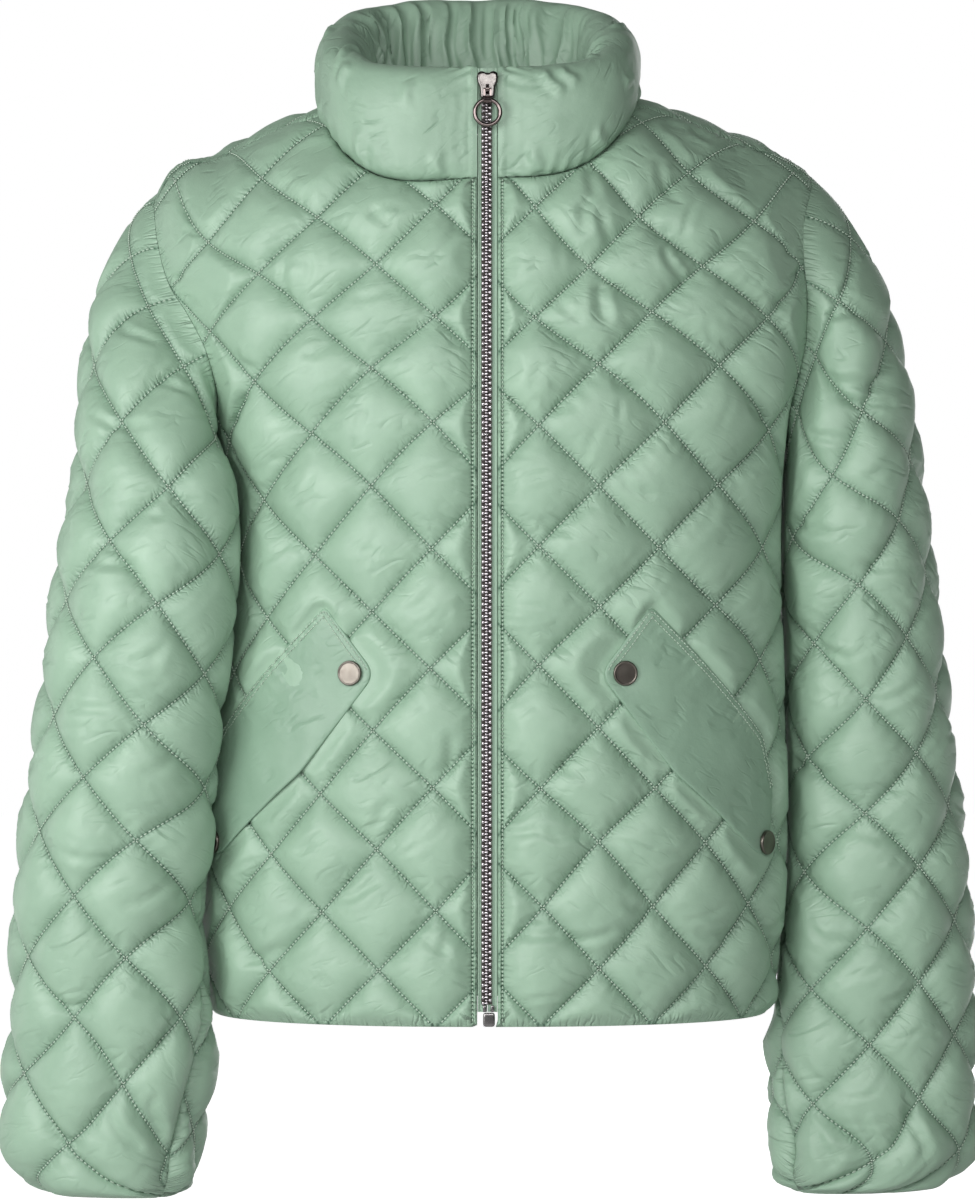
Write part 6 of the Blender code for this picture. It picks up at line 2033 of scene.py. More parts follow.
class Flaps(Piece):
    """The two pocket flaps with their stitching and snaps."""

    lift: float = 3.3
    thickness: float = 2.4
    snap_lift: float = 0.4
    snaps: Flat = ((81.0, 209.5), (181.0, 106.0))
    roll: float = 1.3
    wave: float = 3.0
    grid_step: float = 2.3
    stitch_pitch: float = 2.4

    def build(self, quilting: Quilting) -> None:
        """Make both flaps.

        Args:
            quilting: Holds the flap's outline.
        """
        for side in Side:
            self._flap(side, quilting)
            for number, (s, t) in enumerate(self.snaps, start=1):
                name = f"snap_{number}_{side.label}"
                normal = self.cut.front.normal(side.value * s, t)
                foot = self.cut.front.at(side.value * s, t)
                foot = foot + normal * (self.lift + self.thickness + self.snap_lift)
                cap = Snap().build(f"{name}_cap", foot, normal, self.palette.snap)
                self.keep(cap, name, [name])

    def _swell(self, flat: Array, edge: Array, side: Side, sewn: Array) -> Array:
        """How far the flap stands over its flat bed.

        Args:
            flat: Cloth coordinates.
            edge: Distance from its outline.
            side: Which flap.
            sewn: Distance from its sewn edge.

        Returns:
            The rise at each point.
        """
        grain = Grain(71 + side.value)
        rise = self.wave * ease(sewn / 34) * (0.55 + 0.6 * grain.at(flat[:, 0] / 38, flat[:, 1] / 34))
        rise += 0.8 * grain.at(flat[:, 0] / 13, flat[:, 1] / 16) * ease(edge / 8)
        run = (flat[:, 0] * side.value - flat[:, 1]) / 7.5
        rise += 1.5 * (grain.folds(run, 3.0) - 0.6) * np.exp(-(sewn / 13) ** 1.4) * ease(sewn / 2)
        for s, t in self.snaps:
            far = np.hypot(flat[:, 0] - side.value * s, flat[:, 1] - t)
            rise *= 1 - np.exp(-(far / 15) ** 2)
        return rise

    def _flap(self, side: Side, quilting: Quilting) -> None:
        """Make one flap.

        Args:
            side: Which one.
            quilting: Holds its outline.
        """
        sheet = self.cut.front
        outline = evenly(close(quilting.flap.outline(side)), 1.8)[:-1]
        if signed_area(outline) < 0:
            outline = outline[::-1]
        low, high = outline.min(axis=0), outline.max(axis=0)
        across, up = (np.arange(low[k], high[k], self.grid_step) for k in (0, 1))
        grid = np.stack(np.meshgrid(across, up), axis=-1).reshape(-1, 2)
        odd = np.rint((grid[:, 1] - low[1]) / self.grid_step) % 2 == 1
        grid[:, 0] += np.where(odd, self.grid_step / 2, 0.0)
        grid = grid[inside(grid, outline)]
        grid = grid[edge_distance(grid, outline)[0] > 1.8]
        rims = [outline + self._into(outline) * step for step in (0.35, 0.9)]
        inner = np.concatenate([*rims, grid])
        everything = np.concatenate([outline, inner])
        edge = edge_distance(everything, outline)[0]
        edge[:len(outline)] = 0.0
        sewn = self._from_sewn(everything, side, quilting)
        rise = self._swell(everything, edge, side, sewn)
        round_off = np.sqrt(1 - (1 - np.minimum(edge / self.roll, 1)) ** 2)
        form = sheet.at(everything[:, 0], everything[:, 1])
        normal = sheet.normal(everything[:, 0], everything[:, 1])
        middle = self.lift + self.thickness / 2 + rise
        seam = -0.45 * np.exp(-((edge - 3.2) / 0.7) ** 2) * np.exp(-(sewn / 9) ** 4)
        top = form + normal * (middle + self.thickness / 2 * round_off + seam)[:, None]
        under = form + normal * (middle - self.thickness / 2 * round_off)[:, None]
        count, size = len(outline), len(everything)
        faces = triangles(outline, inner)
        low_faces = np.where(faces < count, faces, faces + size - count)[:, ::-1]
        points = np.concatenate([top, under[count:]])
        obj = new_mesh(f"flap_{side.label}_cloth", points, np.concatenate([faces, low_faces]).tolist(),
                       self.palette.flap, np.concatenate([everything, inner]), sharp=70.0)
        self.keep(obj, f"flap_{side.label}", [f"flap_{side.label}"])
        float(abs(signed_area(outline)) * MM * MM)
        self._top_stitch(side, outline, quilting)

    @staticmethod
    def _into(outline: Array) -> Array:
        """Directions into a counter-clockwise outline."""
        ahead = unit(np.roll(outline, -1, axis=0) - np.roll(outline, 1, axis=0))
        return np.stack([-ahead[:, 1], ahead[:, 0]], axis=1)

    @staticmethod
    def _from_sewn(flat: Array, side: Side, quilting: Quilting) -> Array:
        """Distance from the edge that is sewn down."""
        return line_distance(flat, quilting.flap.mirrored(side)[:3])

    def _top_stitch(self, side: Side, outline: Array, quilting: Quilting) -> None:
        """Sew the upper long edge down.

        Args:
            side: Which flap.
            outline: Its outline.
            quilting: Holds its cut.
        """
        corners = quilting.flap.mirrored(side)
        starts, ends, normals = [], [], []
        for inset in (1.9, 4.8):
            line = outline + self._into(outline) * inset
            near = line_distance(line, corners[[5, 0, 1, 2]]) < inset + 0.9
            start = int(np.argmax(near & ~np.roll(near, 1)))
            line = evenly(np.roll(line, -start, axis=0)[:int(near.sum())], self.stitch_pitch)
            rise = self._swell(line, np.full(len(line), inset), side, self._from_sewn(line, side, quilting))
            normal = self.cut.front.normal(line[:, 0], line[:, 1])
            places = self.cut.front.at(line[:, 0], line[:, 1])
            places = places + normal * (self.lift + self.thickness + rise)[:, None]
            starts.append(places[:-1])
            ends.append(places[1:])
            normals.append(normal[:-1])
        start, end, normal = (np.concatenate(rows) for rows in (starts, ends, normals))
        threads = Threads(radius=0.36).sew(f"thread_flap_{side.label}", start, end, normal,
                                           self.palette.thread)
        self.keep(threads, f"flap_{side.label}")


class Station(NamedTuple):
    """Point of the collar's section: outwards from the neck seam, and share of the height."""

    out: float
    up: float


class Gather(NamedTuple):
    """Fold in the facing: place along the collar from the right front edge, depth and half width."""

    place: float
    depth: float
    half_width: float


@dataclass(frozen=True)
class CollarCut:
    """Sizes of the stand collar."""

    coarse_steps: int = 72
    steps: int = 400
    around: int = 72
    rim_z: float = 21.0
    rim_tilt: float = 0.352
    side_fill: float = 4.5
    thick_at_zip: float = 0.28
    fill_length: float = 34.0
    stitch_inset: float = 2.7
    stitch_pitch: float = 2.4
    section: Sequence[Station] = (
        Station(-0.5, 0.006), Station(6.0, 0.14), Station(8.2, 0.38), Station(7.6, 0.66), Station(3.0, 0.90),
        Station(-6.5, 1.0), Station(-15.5, 0.98), Station(-22.5, 0.86), Station(-27.0, 0.62),
        Station(-27.5, 0.36), Station(-25.0, 0.08), Station(-16.0, 0.03),
    )
    # stations that the inner folds move, with their share
    gathered: Sequence[tuple[int, float]] = ((5, 0.25), (6, 0.6), (7, 0.9), (8, 1.0), (9, 1.0), (10, 0.5))
    gathers: Sequence[Gather] = (
        Gather(150, 4.0, 9), Gather(176, 5.2, 8), Gather(199, 6.6, 8), Gather(222, 5.4, 7),
        Gather(243, 6.5, 8), Gather(262, 7.0, 7), Gather(284, 5.0, 8), Gather(306, 6.4, 8),
        Gather(330, 5.0, 8), Gather(357, 5.8, 9), Gather(390, 4.4, 9), Gather(430, 3.4, 10),
    )
    # folds of the outer face: distance from the zip along the neck (minus on the right), distance up
    creases: Sequence[Fold] = laid_in(
        (-37, 60, -43, 50, 2.0), (-82, 60, -90, 46, 2.4), (-112, 74, -98, 58, 2.6), (-66, 26, -74, 8, 2.0),
        (-22, 18, -24, 4, 1.8), (27, 66, 35, 50, 2.4), (38, 66, 44, 54, 2.4), (70, 72, 88, 70, 2.2),
        (58, 22, 66, 5, 2.0), (84, 40, 100, 32, 2.0), (-128, 40, -144, 30, 2.0), (20, 20, 24, 4, 1.8),
        (150, 60, 168, 52, 2.2), (-176, 60, -160, 50, 2.2), (118, 20, 130, 6, 2.0),
        (-118, 18, -126, 5, 2.0))


class Collar(Piece):
    """The stuffed stand collar and its gathered facing."""

    def __init__(self, cut: Cut, palette: Palette, sizes: CollarCut, centre: tuple[float, float]) -> None:
        """Lay out the neck seam.

        Args:
            cut: The panels.
            palette: The finishes.
            sizes: Sizes of the collar.
            centre: Middle of the neck in plan.
        """
        super().__init__(cut, palette)
        self.sizes = sizes
        base = resample(cut.neck_seam, sizes.coarse_steps + 1)
        ahead = np.gradient(base[:, :2], axis=0)
        across = unit(np.stack([-ahead[:, 1], ahead[:, 0]], axis=1))
        out = unit(across + unit(base[:, :2] - np.array(centre)))
        out[0] = out[-1] = (0.0, -1.0)
        place = along(base)
        self.place = np.linspace(0, place[-1], sizes.steps + 1)
        self.base = np.stack([smooth(self.place, place, base[:, k]) for k in range(3)], axis=1)
        self.out = unit(np.stack([smooth(self.place, place, out[:, k]) for k in range(2)], axis=1))
        self.from_zip = np.minimum(self.place, place[-1] - self.place)
        behind = self.base[:, 1] - self.base[0, 1]
        filled = sizes.side_fill * np.sin(math.pi * behind / behind.max())
        self.rim = sizes.rim_z + sizes.rim_tilt * behind + filled

    def _grid(self) -> tuple[Array, Array, Array]:
        """Points of the section carried round the neck.

        Returns:
            The grid of points, the length around the section at each, and the station's number there.
        """
        sizes = self.sizes
        fill = sizes.thick_at_zip + (1 - sizes.thick_at_zip) * ease(self.from_zip / sizes.fill_length)
        reach = np.array([station.out for station in sizes.section])[None] * fill[:, None]
        folds = sum(g.depth * np.exp(-((self.place - g.place) / g.half_width) ** 2) for g in sizes.gathers)
        for station, share in sizes.gathered:
            reach[:, station] += share * (2.5 - folds) * ease(self.from_zip / 60)
        up = np.array([station.up for station in sizes.section])
        height = self.base[:, 2:3] + up[None] * (self.rim - self.base[:, 2])[:, None]
        points = np.stack([self.base[:, 0:1] + self.out[:, 0:1] * reach,
                           self.base[:, 1:2] + self.out[:, 1:2] * reach, height], axis=2)
        count = len(sizes.section)
        turn = np.arange(sizes.around) * count / sizes.around
        cell = turn.astype(int)
        u = (turn - cell)[None, :, None]
        a, b, c, d = (points[:, (cell + k) % count] for k in (-1, 0, 1, 2))
        fine = 0.5 * (2 * b + (c - a) * u + (2 * a - 5 * b + 4 * c - d) * u ** 2
                      + (3 * b - a - 3 * c + d) * u ** 3)
        steps = np.linalg.norm(np.diff(fine, axis=1), axis=2)
        lengths = np.concatenate([np.zeros((len(fine), 1)), np.cumsum(steps, axis=1)], axis=1)
        return fine, lengths, turn

    @staticmethod
    def _normals(grid: Array) -> Array:
        """Outward normals of a closed grid."""
        along_neck = np.gradient(grid, axis=0)
        around = np.roll(grid, -1, axis=1) - np.roll(grid, 1, axis=1)
        return unit(np.cross(along_neck, around))

    def build(self) -> None:
        """Make the collar."""
        grid, lengths, turn = self._grid()
        grid = grid + self._normals(grid) * self._relief(lengths, turn)[..., None]
        place = np.broadcast_to(self.place[:, None], lengths.shape)
        flat = np.stack([place, lengths], axis=2).reshape(-1, 2)
        collar = grid_mesh("collar_cloth", grid, self.palette.plain, flat, sharp=70.0)
        self.keep(collar, "collar", ["collar", "collar_facing"])
        self._stitch(grid)

    def _relief(self, lengths: Array, turn: Array) -> Array:
        """Puckers and creases of the collar.

        Args:
            lengths: Length around the section.
            turn: Number of the station there.

        Returns:
            The rise at each grid point.
        """
        grain = Grain(303)
        place = np.broadcast_to(self.place[:, None], lengths.shape)
        from_zip = np.broadcast_to(self.from_zip[:, None], lengths.shape)
        whole = lengths[:, -1:] + 3.0
        up = np.minimum(lengths, whole - lengths)
        within = ease((turn[None] - 5.5) / 1.5)
        rise = 1.5 * grain.at(place / 34, lengths / 30) + 0.4 * grain.at(place / 12, lengths / 15)
        rise = rise * ease(up / 14) * ease(from_zip / 10)
        run = place / 9.5 + 0.02 * lengths
        strength = np.clip(0.5 + 0.8 * grain.at(run * 0.21, 5.0), 0.05, 1.2)
        rise += 1.9 * (grain.folds(run, 5.0) - 0.6) * strength * np.exp(-(up / 13) ** 1.5) * ease(up / 2)
        inner = place / 12 + 0.6 * grain.at(lengths / 22, place / 40)
        strength = np.clip(0.6 + 0.8 * grain.at(inner * 0.3, 2.0), 0.1, 1.3)
        gathered = 3.4 * (grain.folds(inner, 0.0) - 0.62) * strength * within
        rise += gathered * ease(up / 8) * ease(from_zip / 40)
        run = lengths / 6.2 + 0.05 * from_zip
        lane = np.where(place < self.place[-1] / 2, 8.0, 15.0)
        strength = np.clip(0.7 + 0.7 * grain.at(run * 0.25, lane), 0.1, 1.4)
        past = np.maximum(from_zip - self.sizes.stitch_inset, 0)
        rise += 2.8 * (grain.folds(run, lane) - 0.6) * strength * np.exp(-(past / 14) ** 1.3) * ease(past / 2)
        rise -= 0.9 * np.exp(-((from_zip - self.sizes.stitch_inset) / 0.8) ** 2) * (1 - within)
        signed = np.where(place < self.place[-1] / 2, -from_zip, from_zip)
        flat = np.stack([signed.ravel(), lengths.ravel()], axis=1)
        for fold in self.sizes.creases:
            rise -= fold.dent(flat).reshape(rise.shape)
        return rise * ease(from_zip / 1.5)

    def _stitch(self, grid: Array) -> None:
        """Sew the collar's front edges beside the zip.

        Args:
            grid: Points of the collar.
        """
        starts, ends, normals = [], [], []
        normal = self._normals(grid)
        span = slice(2, grid.shape[1] // 2)
        first = int(np.argmax(self.from_zip > self.sizes.stitch_inset))
        for row in (first, len(self.place) - 1 - first):
            line = evenly(grid[row, span], self.sizes.stitch_pitch)
            facing = unit(resample(normal[row, span], len(line)))
            starts.append(line[:-1])
            ends.append(line[1:])
            normals.append(facing[:-1])
        start, end, facing = (np.concatenate(rows) for rows in (starts, ends, normals))
        obj = Threads(radius=0.3).sew("thread_collar", start, end, facing, self.palette.thread)
        self.keep(obj, "collar")


@dataclass(frozen=True)
class ZipCut:
    """Sizes of the zip."""

    hem_z: float = -551.0
    top_z: float = 20.5
    collar_bulge: float = 2.0
    tape_half_width: float = 5.9
    tape_thickness: float = 0.9
    tape_depth: float = 1.4
    gap: float = 0.3
    pitch: float = 3.6
    half_width: float = 3.0
    rise: float = 1.2
    box_centre_x: float = 0.9
    box_size: tuple = (7.2, 3.6, 8.4)
    box_drop: float = 1.0
    pin_size: tuple = (2.3, 2.2, 4.2)
    pin_x: tuple = (-1.7, 2.9)
    slider_bottom: float = 1.5
    slider_height: float = 16.5
    slider_lift: float = 1.6
    slider_depth: float = 3.2
    slider_half_top: float = 6.5
    slider_half_bottom: float = 4.2
    # depth and half height of the bridge's outer and inner arch
    bridge: tuple = ((4.4, 3.2), (3.65, 2.3))
    bridge_sink: float = 0.4
    bridge_half_width: float = 1.0
    pull_z: float = 7.0
    pull_lift: float = 2.7
    pull_length: float = 6.4
    ring_radius: float = 7.6
    ring_wire: float = 1.3
    # tooth, from its foot on the tape to its head: x, half height, depth of its face, depth of its back
    tooth: tuple = ((-3.15, 0.75, 0.4, -0.8), (-2.95, 1.15, 0.95, -0.95), (-2.3, 1.28, 1.25, -0.95),
                    (-1.5, 1.05, 1.1, -0.95), (-1.15, 0.55, 0.7, -0.95), (-0.6, 0.55, 0.8, -0.9),
                    (0.0, 0.78, 1.1, -0.85), (0.65, 0.76, 1.05, -0.8), (1.0, 0.4, 0.6, -0.5))
    # half width, face depth and back depth of the dark strip under the teeth: painted shadow in the gaps
    # between them
    backing: tuple = (3.3, -0.9, -1.25)
    chain_x: float = -0.5

    @property
    def box_top(self) -> float:
        """Height of the box's upper face."""
        return self.hem_z + self.box_size[2] - self.box_drop


class Zip(Piece):
    """The closed zip: tapes, teeth, box, pins, slider, link and ring."""

    def __init__(self, cut: Cut, palette: Palette, sizes: ZipCut) -> None:
        """Lay out the line of the zip.

        Args:
            cut: The panels.
            palette: The finishes.
            sizes: Sizes of the zip.
        """
        super().__init__(cut, palette)
        self.sizes = sizes
        body = cut.front.at(np.zeros(120), np.linspace(0, cut.neck_t, 120))[:, 1:]
        top_z = np.linspace(body[-1, 1], sizes.top_z, 24)[1:]
        share = (top_z - body[-1, 1]) / (sizes.top_z - body[-1, 1])
        collar = np.stack([body[-1, 0] - sizes.collar_bulge * np.sin(math.pi * share ** 0.8), top_z], axis=1)
        self.path = np.concatenate([body, collar])

    def _y(self, z: float) -> float:
        """Depth of the zip line at a height."""
        return float(np.interp(z, self.path[:, 1], self.path[:, 0]))

    def _frames(self, low: float, high: float, step: float) -> tuple[Array, Array]:
        """Places along the zip and directions out of it, in side view.

        Args:
            low: Lowest height.
            high: Highest height.
            step: Spacing.

        Returns:
            The places and the directions.
        """
        heights = np.linspace(low, high, max(2, round((high - low) / step) + 1))
        path = np.stack([np.interp(heights, self.path[:, 1], self.path[:, 0]), heights], axis=1)
        ahead = unit(np.gradient(path, axis=0))
        return path, np.stack([-ahead[:, 1], ahead[:, 0]], axis=1)

    def build(self) -> None:
        """Make the whole zip."""
        self._tapes()
        self._teeth()
        self._ends()
        self._slider()
        self._pull()

    @staticmethod
    def _bar(name: str, frames: tuple[Array, Array], section: Flat,
             material: bpy.types.Material) -> bpy.types.Object:
        """Section of x and depth carried along the zip.

        Args:
            name: Its name.
            frames: Places and directions.
            section: Points of the section.
            material: The finish.

        Returns:
            The object.
        """
        path, out = frames
        shape = np.array(section)
        x = np.broadcast_to(shape[None, :, 0], (len(path), len(shape)))
        depth = shape[None, :, 1]
        points = np.stack([x, path[:, None, 0] + out[:, None, 0] * depth,
                           path[:, None, 1] + out[:, None, 1] * depth], axis=2)
        flat = np.stack([x, np.broadcast_to(path[:, None, 1], x.shape)], axis=2).reshape(-1, 2)
        return grid_mesh(name, points, material, flat)

    def _tapes(self) -> None:
        """The woven tapes."""
        sizes = self.sizes
        top, deep = -sizes.tape_depth, -sizes.tape_depth - sizes.tape_thickness
        frames = self._frames(sizes.box_top + sizes.gap, sizes.top_z, 2.0)
        for side in Side:
            section = [(0.15, deep), (sizes.tape_half_width, deep), (sizes.tape_half_width, top - 0.2),
                       (5.7, top + 0.35), (5.2, top + 0.5), (4.7, top + 0.3), (4.45, top - 0.35),
                       (4.15, top - 0.35), (3.9, top + 0.05), (2.4, top + 0.1), (0.15, top)]
            if side is Side.RIGHT:
                section = [(-x, d) for x, d in section[::-1]]
            tape = self._bar(f"tape_{side.label}_weave", frames, section, self.palette.tape)
            self.keep(tape, f"zip_tape_{side.label}", [f"zip_tape_{side.label}"])

    def _teeth(self) -> None:
        """Two rows of teeth, half a pitch apart, over a dark strip of painted shadow."""
        sizes = self.sizes
        low = sizes.box_top + sizes.gap + sizes.pin_size[2] + sizes.gap
        high = sizes.slider_bottom - sizes.gap
        # painted shadow: a dark strip under the teeth, seen in the gaps between them
        half, face, back = sizes.backing
        left, right = sizes.chain_x - half, sizes.chain_x + half
        section = [(left, back), (right, back), (right, face), (left, face)]
        cord = self._bar("zip_cord", self._frames(low, high, 3.0), section, self.palette.cord)
        self.keep(cord, "zip_chain")
        length = along(self.path)
        start, end = (float(np.interp(z, self.path[:, 1], length)) for z in (low, high))
        shape = np.array(sizes.tooth)
        corners = np.array([(1, 0.45), (0.45, 1), (-0.45, 1), (-1, 0.45),
                            (-1, -0.45), (-0.45, -1), (0.45, -1), (1, -0.45)])
        points, faces = [], []
        count = int((end - start - 1.2) / (sizes.pitch / 2))
        for k in range(count):
            place = start + 0.8 + k * sizes.pitch / 2
            y, z = (float(np.interp(place, length, self.path[:, c])) for c in (0, 1))
            y2, z2 = (float(np.interp(place + 2, length, self.path[:, c])) for c in (0, 1))
            ahead = unit(np.array([y2 - y, z2 - z]))
            out = np.array([-ahead[1], ahead[0]])
            sign = 1 if k % 2 else -1
            base = len(points)
            for x, half, face, back in shape:
                centre, reach = (face + back) / 2, (face - back) / 2
                for a, b in corners:
                    side_way = a * half
                    depth = centre + b * reach
                    points.append((sizes.chain_x - sign * x, y + out[0] * depth + ahead[0] * side_way,
                                   z + out[1] * depth + ahead[1] * side_way))
            rows = base + np.arange(len(shape) * len(corners)).reshape(-1, len(corners))
            faces += swept(rows if sign > 0 else rows[:, ::-1], closed=True, caps=True)
        teeth = new_mesh("zip_teeth", np.array(points), faces, self.palette.teeth, sharp=50.0)
        self.keep(teeth, "zip_chain", ["zip_chain"])

    @staticmethod
    def _block(name: str, centre: Sequence[float], size: Sequence[float], material: bpy.types.Material,
               power: float = 5.0, steps: int = 16) -> bpy.types.Object:
        """Rounded block.

        Args:
            name: Its name.
            centre: Its middle.
            size: Its three sizes.
            material: The finish.
            power: Squareness.
            steps: Points round each row.

        Returns:
            The object.
        """
        turn = np.linspace(0, math.tau, 2 * steps, endpoint=False)
        rise = np.linspace(-math.pi / 2 + 0.12, math.pi / 2 - 0.12, steps)

        def curve(values: Array) -> Array:
            """Squared-off wave."""
            return np.sign(values) * np.abs(values) ** (2 / power)

        x = curve(np.cos(rise))[:, None] * curve(np.cos(turn))[None]
        y = curve(np.cos(rise))[:, None] * curve(np.sin(turn))[None]
        z = np.broadcast_to(curve(np.sin(rise))[:, None], x.shape)
        points = np.stack([x, y, z], axis=2) * np.array(size) / 2 + np.asarray(centre)
        return grid_mesh(name, points, material, sharp=50.0)

    def _ends(self) -> None:
        """Box and pins at the hem."""
        sizes = self.sizes
        y = self._y(sizes.box_top)
        centre = (sizes.box_centre_x, y, sizes.box_top - sizes.box_size[2] / 2)
        box = self._block("box_casting", centre, sizes.box_size, self.palette.nickel)
        self.keep(box, "zip_box", ["zip_box"])
        for side, x in zip(Side, sizes.pin_x):
            middle = (x, y + sizes.tape_depth - sizes.gap - sizes.pin_size[1] / 2,
                      sizes.box_top + sizes.gap + sizes.pin_size[2] / 2)
            name = f"zip_pin_{side.label}"
            pin = self._block(f"{name}_rod", middle, sizes.pin_size, self.palette.nickel, power=3.5)
            self.keep(pin, name, [name])

    def _face(self) -> float:
        """Depth of the slider's outer face."""
        return self._y(self.sizes.pull_z) - self.sizes.slider_lift - self.sizes.slider_depth

    def _slider(self) -> None:
        """Slider: a tapered body with rounded shoulders and an arched bridge."""
        sizes = self.sizes
        low, high = sizes.slider_bottom, sizes.slider_bottom + sizes.slider_height
        half = [(low, sizes.slider_half_bottom - 0.8), (low + 0.5, sizes.slider_half_bottom),
                (low + 7, sizes.slider_half_bottom + 0.6), (high - 6.5, sizes.slider_half_top - 0.3),
                (high - 3.5, sizes.slider_half_top), (high - 1.0, sizes.slider_half_top - 0.6),
                (high, sizes.slider_half_top - 2.2), (high - 0.1, 2.4), (high - 0.9, 1.2)]
        right = [(x, z) for z, x in half]
        outline = np.array(right + [(-x, z) for x, z in right[::-1]])
        outline = rounded([tuple(p) for p in outline.tolist()], [1.1] * len(outline), 3)
        centre = np.array([0.0, (low + high) / 2])
        face = self._face()
        back = face + sizes.slider_depth
        rows, points = [], []
        for share, y in ((0.0, back), (0.0, face + 1.4), (0.35, face + 0.75), (0.9, face + 0.3),
                         (1.6, face + 0.08), (2.6, face)):
            scale = 1 - share / 7.0
            ring = (outline - centre) * np.array([scale, 1 - share / 12.0]) + centre
            rows.append(np.arange(len(ring)) + sum(map(len, points)))
            points.append(np.stack([ring[:, 0], np.full(len(ring), y), ring[:, 1]], axis=1))
        faces = swept(np.array(rows), closed=True, caps=True)
        turns = np.linspace(-math.pi / 2, math.pi / 2, 25)
        sink = sizes.bridge_sink
        outer, inner = (np.stack([face + sink - (depth + sink) * np.cos(turns),
                                  sizes.pull_z + height * np.sin(turns)], axis=1)
                        for depth, height in sizes.bridge)
        base = sum(map(len, points))
        ring_rows = []
        for k in range(len(turns)):
            ring_rows.append(base + 4 * k + np.arange(4))
            for line, x in ((outer, -1), (outer, 1), (inner, 1), (inner, -1)):
                points.append(np.array([[x * sizes.bridge_half_width, *line[k]]]))
        faces += swept(np.array(ring_rows), closed=True, caps=True)
        slider = new_mesh("slider_body", np.concatenate(points), faces, self.palette.plated, sharp=40.0)
        slider.data.materials.append(self.palette.chrome)
        bridge_faces = len(turns) * 4 - 2
        for face_number in range(len(faces) - bridge_faces, len(faces)):
            slider.data.polygons[face_number].material_index = 1
        self.keep(slider, "zip_slider", ["zip_slider"])

    def _pull(self) -> None:
        """Fine finish for the link, and a round ring."""
        sizes = self.sizes
        link = bpy.data.objects["zip_pull"]
        link.data.materials.clear()
        link.data.materials.append(self.palette.chrome)
        eye = np.array([0.0, self._face() - sizes.pull_lift, sizes.pull_z - sizes.pull_length])
        centre = eye - np.array([0.0, 0.0, sizes.ring_radius])
        around, wire = 72, 18
        turn = (np.arange(around) * math.tau / around)[:, None, None]
        roll = (np.arange(wire) * math.tau / wire)[None, :, None]
        out = np.concatenate([np.sin(turn), np.zeros_like(turn), np.cos(turn)], axis=2)
        points = centre + out * (sizes.ring_radius + sizes.ring_wire * np.cos(roll))
        points = points + sizes.ring_wire * np.sin(roll) * np.array([0.0, 1.0, 0.0])
        rows = np.arange(around * wire).reshape(around, wire)
        faces = swept(np.concatenate([rows, rows[:1]]), closed=True)
        ring = new_mesh("ring_wire", points.reshape(-1, 3), faces, self.palette.chrome)
        self.keep(ring, "zip_ring", ["zip_ring"], body="ring")


# ---------------------------------------------------------------- studio

@dataclass(frozen=True)
class Lamp:
    """A soft box: its place, its width and height, and its power."""

    place: tuple[float, float, float]
    size: tuple[float, float]
    power: float


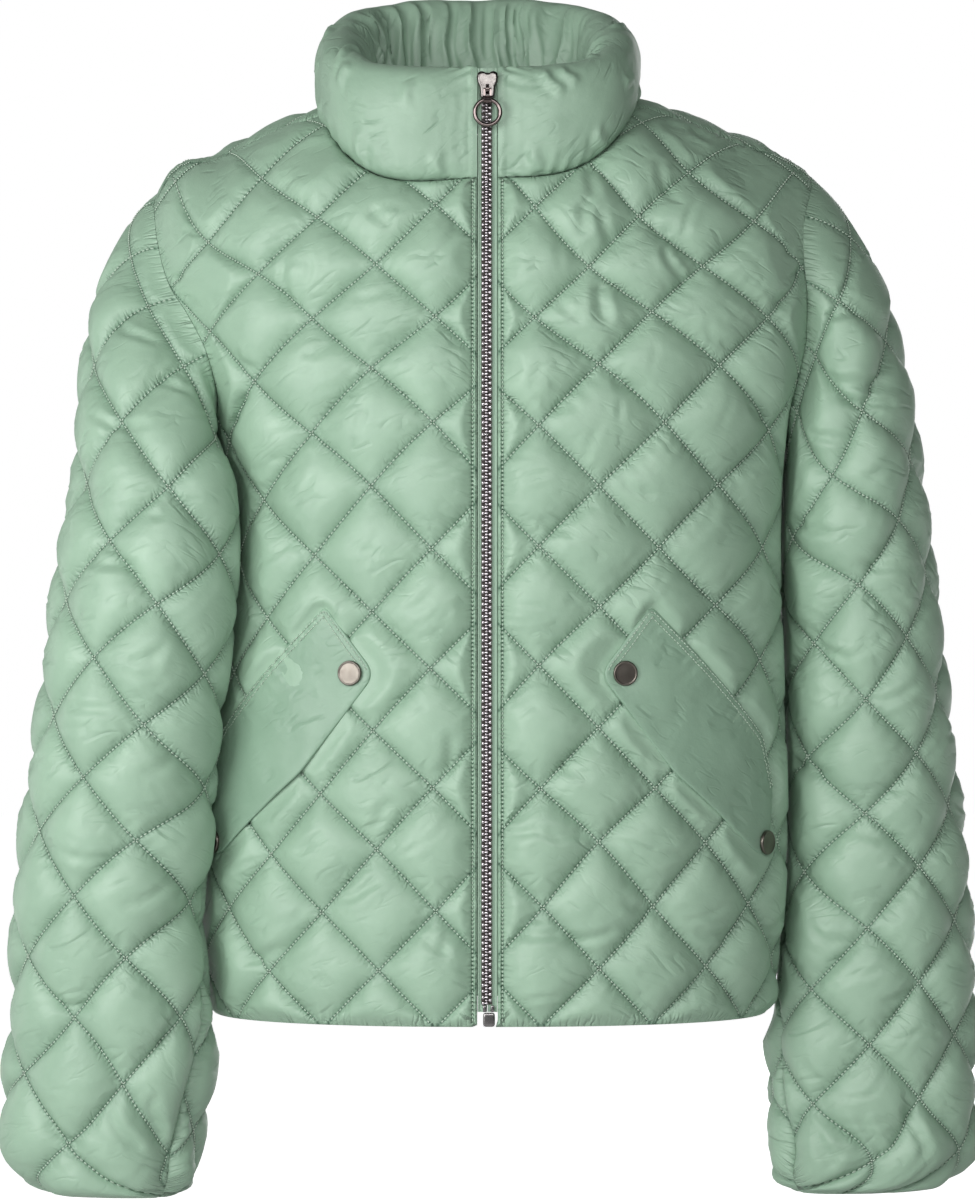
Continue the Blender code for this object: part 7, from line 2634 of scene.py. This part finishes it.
@dataclass(frozen=True)
class Studio:
    """Pale floor, soft boxes and the camera."""

    aim: tuple[float, float, float] = (0.0, 0.0, -0.3)
    lens: float = 135.5
    sensor: float = 36.0
    camera_place: tuple[float, float, float] = (0.0, -2.8, -0.298)
    floor_z: float = -0.86
    floor_side: float = 18.0
    backdrop: float = 1.0
    ambient: tuple[float, float] = (0.38, 0.14)
    aside: tuple[float, float] = (1.0, 0.15)
    floor_glow: float = 0.9
    lamps: Sequence[Lamp] = (
        Lamp((-1.0, -1.3, -0.06), (0.8, 1.0), 18.0),
        Lamp((0.2, -1.9, 0.34), (1.6, 0.6), 17.0),
        Lamp((2.4, 0.8, 0.0), (0.8, 2.0), 2.0),
        Lamp((-2.4, 0.8, 0.0), (0.8, 2.0), 7.0),
        Lamp((0.8, 2.7, 0.0), (1.4, 2.0), 13.0),
    )

    def build(self) -> None:
        """Make the camera, the lights and the floor."""
        self._camera()
        self._world()
        self._softboxes()
        self._floor()

    def _camera(self) -> None:
        """Level camera in front."""
        data = bpy.data.cameras.new("camera")
        data.sensor_fit, data.sensor_height, data.lens = "VERTICAL", self.sensor, self.lens
        data.clip_end = 50.0
        camera = bpy.data.objects.new("camera", data)
        camera.location = self.camera_place
        camera.rotation_euler = (math.pi / 2, 0.0, 0.0)
        bpy.context.scene.collection.objects.link(camera)
        bpy.context.scene.camera = camera

    def _world(self) -> None:
        """Soft light from all round, weaker from above and from the left, over a plain backdrop."""
        world = bpy.data.worlds.new("world")
        world.use_nodes = True
        tree = world.node_tree
        direction = tree.nodes.new("ShaderNodeTexCoord")
        parts = tree.nodes.new("ShaderNodeSeparateXYZ")
        both = tree.nodes.new("ShaderNodeMath")
        both.operation = "MULTIPLY"
        tree.links.new(direction.outputs["Generated"], parts.inputs[0])
        for k, (axis, ramp) in enumerate(((2, (-0.1, 0.75, *self.ambient)), (0, (-0.15, 0.45, *self.aside)))):
            fade = tree.nodes.new("ShaderNodeMapRange")
            fade.interpolation_type = "SMOOTHSTEP"
            for socket, value in enumerate(ramp, start=1):
                fade.inputs[socket].default_value = value
            tree.links.new(parts.outputs[axis], fade.inputs[0])
            tree.links.new(fade.outputs[0], both.inputs[k])
        seen = tree.nodes.new("ShaderNodeLightPath")
        strength = tree.nodes.new("ShaderNodeMix")
        strength.inputs[3].default_value = self.backdrop
        background = tree.nodes["Background"]
        background.inputs[0].default_value = grey(1.0)
        tree.links.new(both.outputs[0], strength.inputs[2])
        tree.links.new(seen.outputs["Is Camera Ray"], strength.inputs[0])
        tree.links.new(strength.outputs[0], background.inputs[1])
        bpy.context.scene.world = world
        bpy.context.scene.view_settings.view_transform = "Standard"

    def _softboxes(self) -> None:
        """The lamps, turned towards the jacket."""
        for k, lamp in enumerate(self.lamps):
            light = bpy.data.lights.new(f"softbox_{k}", "AREA")
            light.shape, light.size, light.size_y = "RECTANGLE", *lamp.size
            light.energy = lamp.power
            box = bpy.data.objects.new(light.name, light)
            box.location = lamp.place
            toward = Vector(self.aim) - Vector(lamp.place)
            box.rotation_euler = toward.to_track_quat("-Z", "Y").to_euler()
            bpy.context.scene.collection.objects.link(box)

    def _floor(self) -> None:
        """Wide pale floor that glows in front."""
        graph = Graph("studio_floor")
        place = graph.node("ShaderNodeTexCoord", {}, {}, "Object")
        tone = graph.mix(0.5 + graph.noise(place, 3.0) * 0.2, grey(0.86), grey(0.92))
        glow = graph.mix(graph.part(place, 1).step(0.7, 1.35), grey(1.0), grey(0.0))
        fixed = {"Roughness": 0.9, "Emission Strength": self.floor_glow}
        material = graph.finish(fixed, {"Base Color": tone, "Emission Color": glow})
        side = self.floor_side / MM / 2
        corners = np.array([(-side, -side, 0), (side, -side, 0), (side, side, 0), (-side, side, 0)])
        floor = new_mesh("floor", corners + np.array([0, 0, self.floor_z / MM]), [(0, 1, 2, 3)], material)


def main() -> None:
    """Build the jacket over its frame."""
    logging.basicConfig(level=logging.INFO, format="%(message)s")
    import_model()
    pattern, quilting = Pattern(), Quilting()
    cut = pattern.cut()
    palette = Palette.mixed(quilting)
    QuiltedPanels(cut, palette, quilting, FoldTable()).build()
    Flaps(cut, palette).build(quilting)
    Collar(cut, palette, CollarCut(), pattern.neck_centre).build()
    Zip(cut, palette, ZipCut()).build()
    Studio().build()


if __name__ == "__main__":
    main()
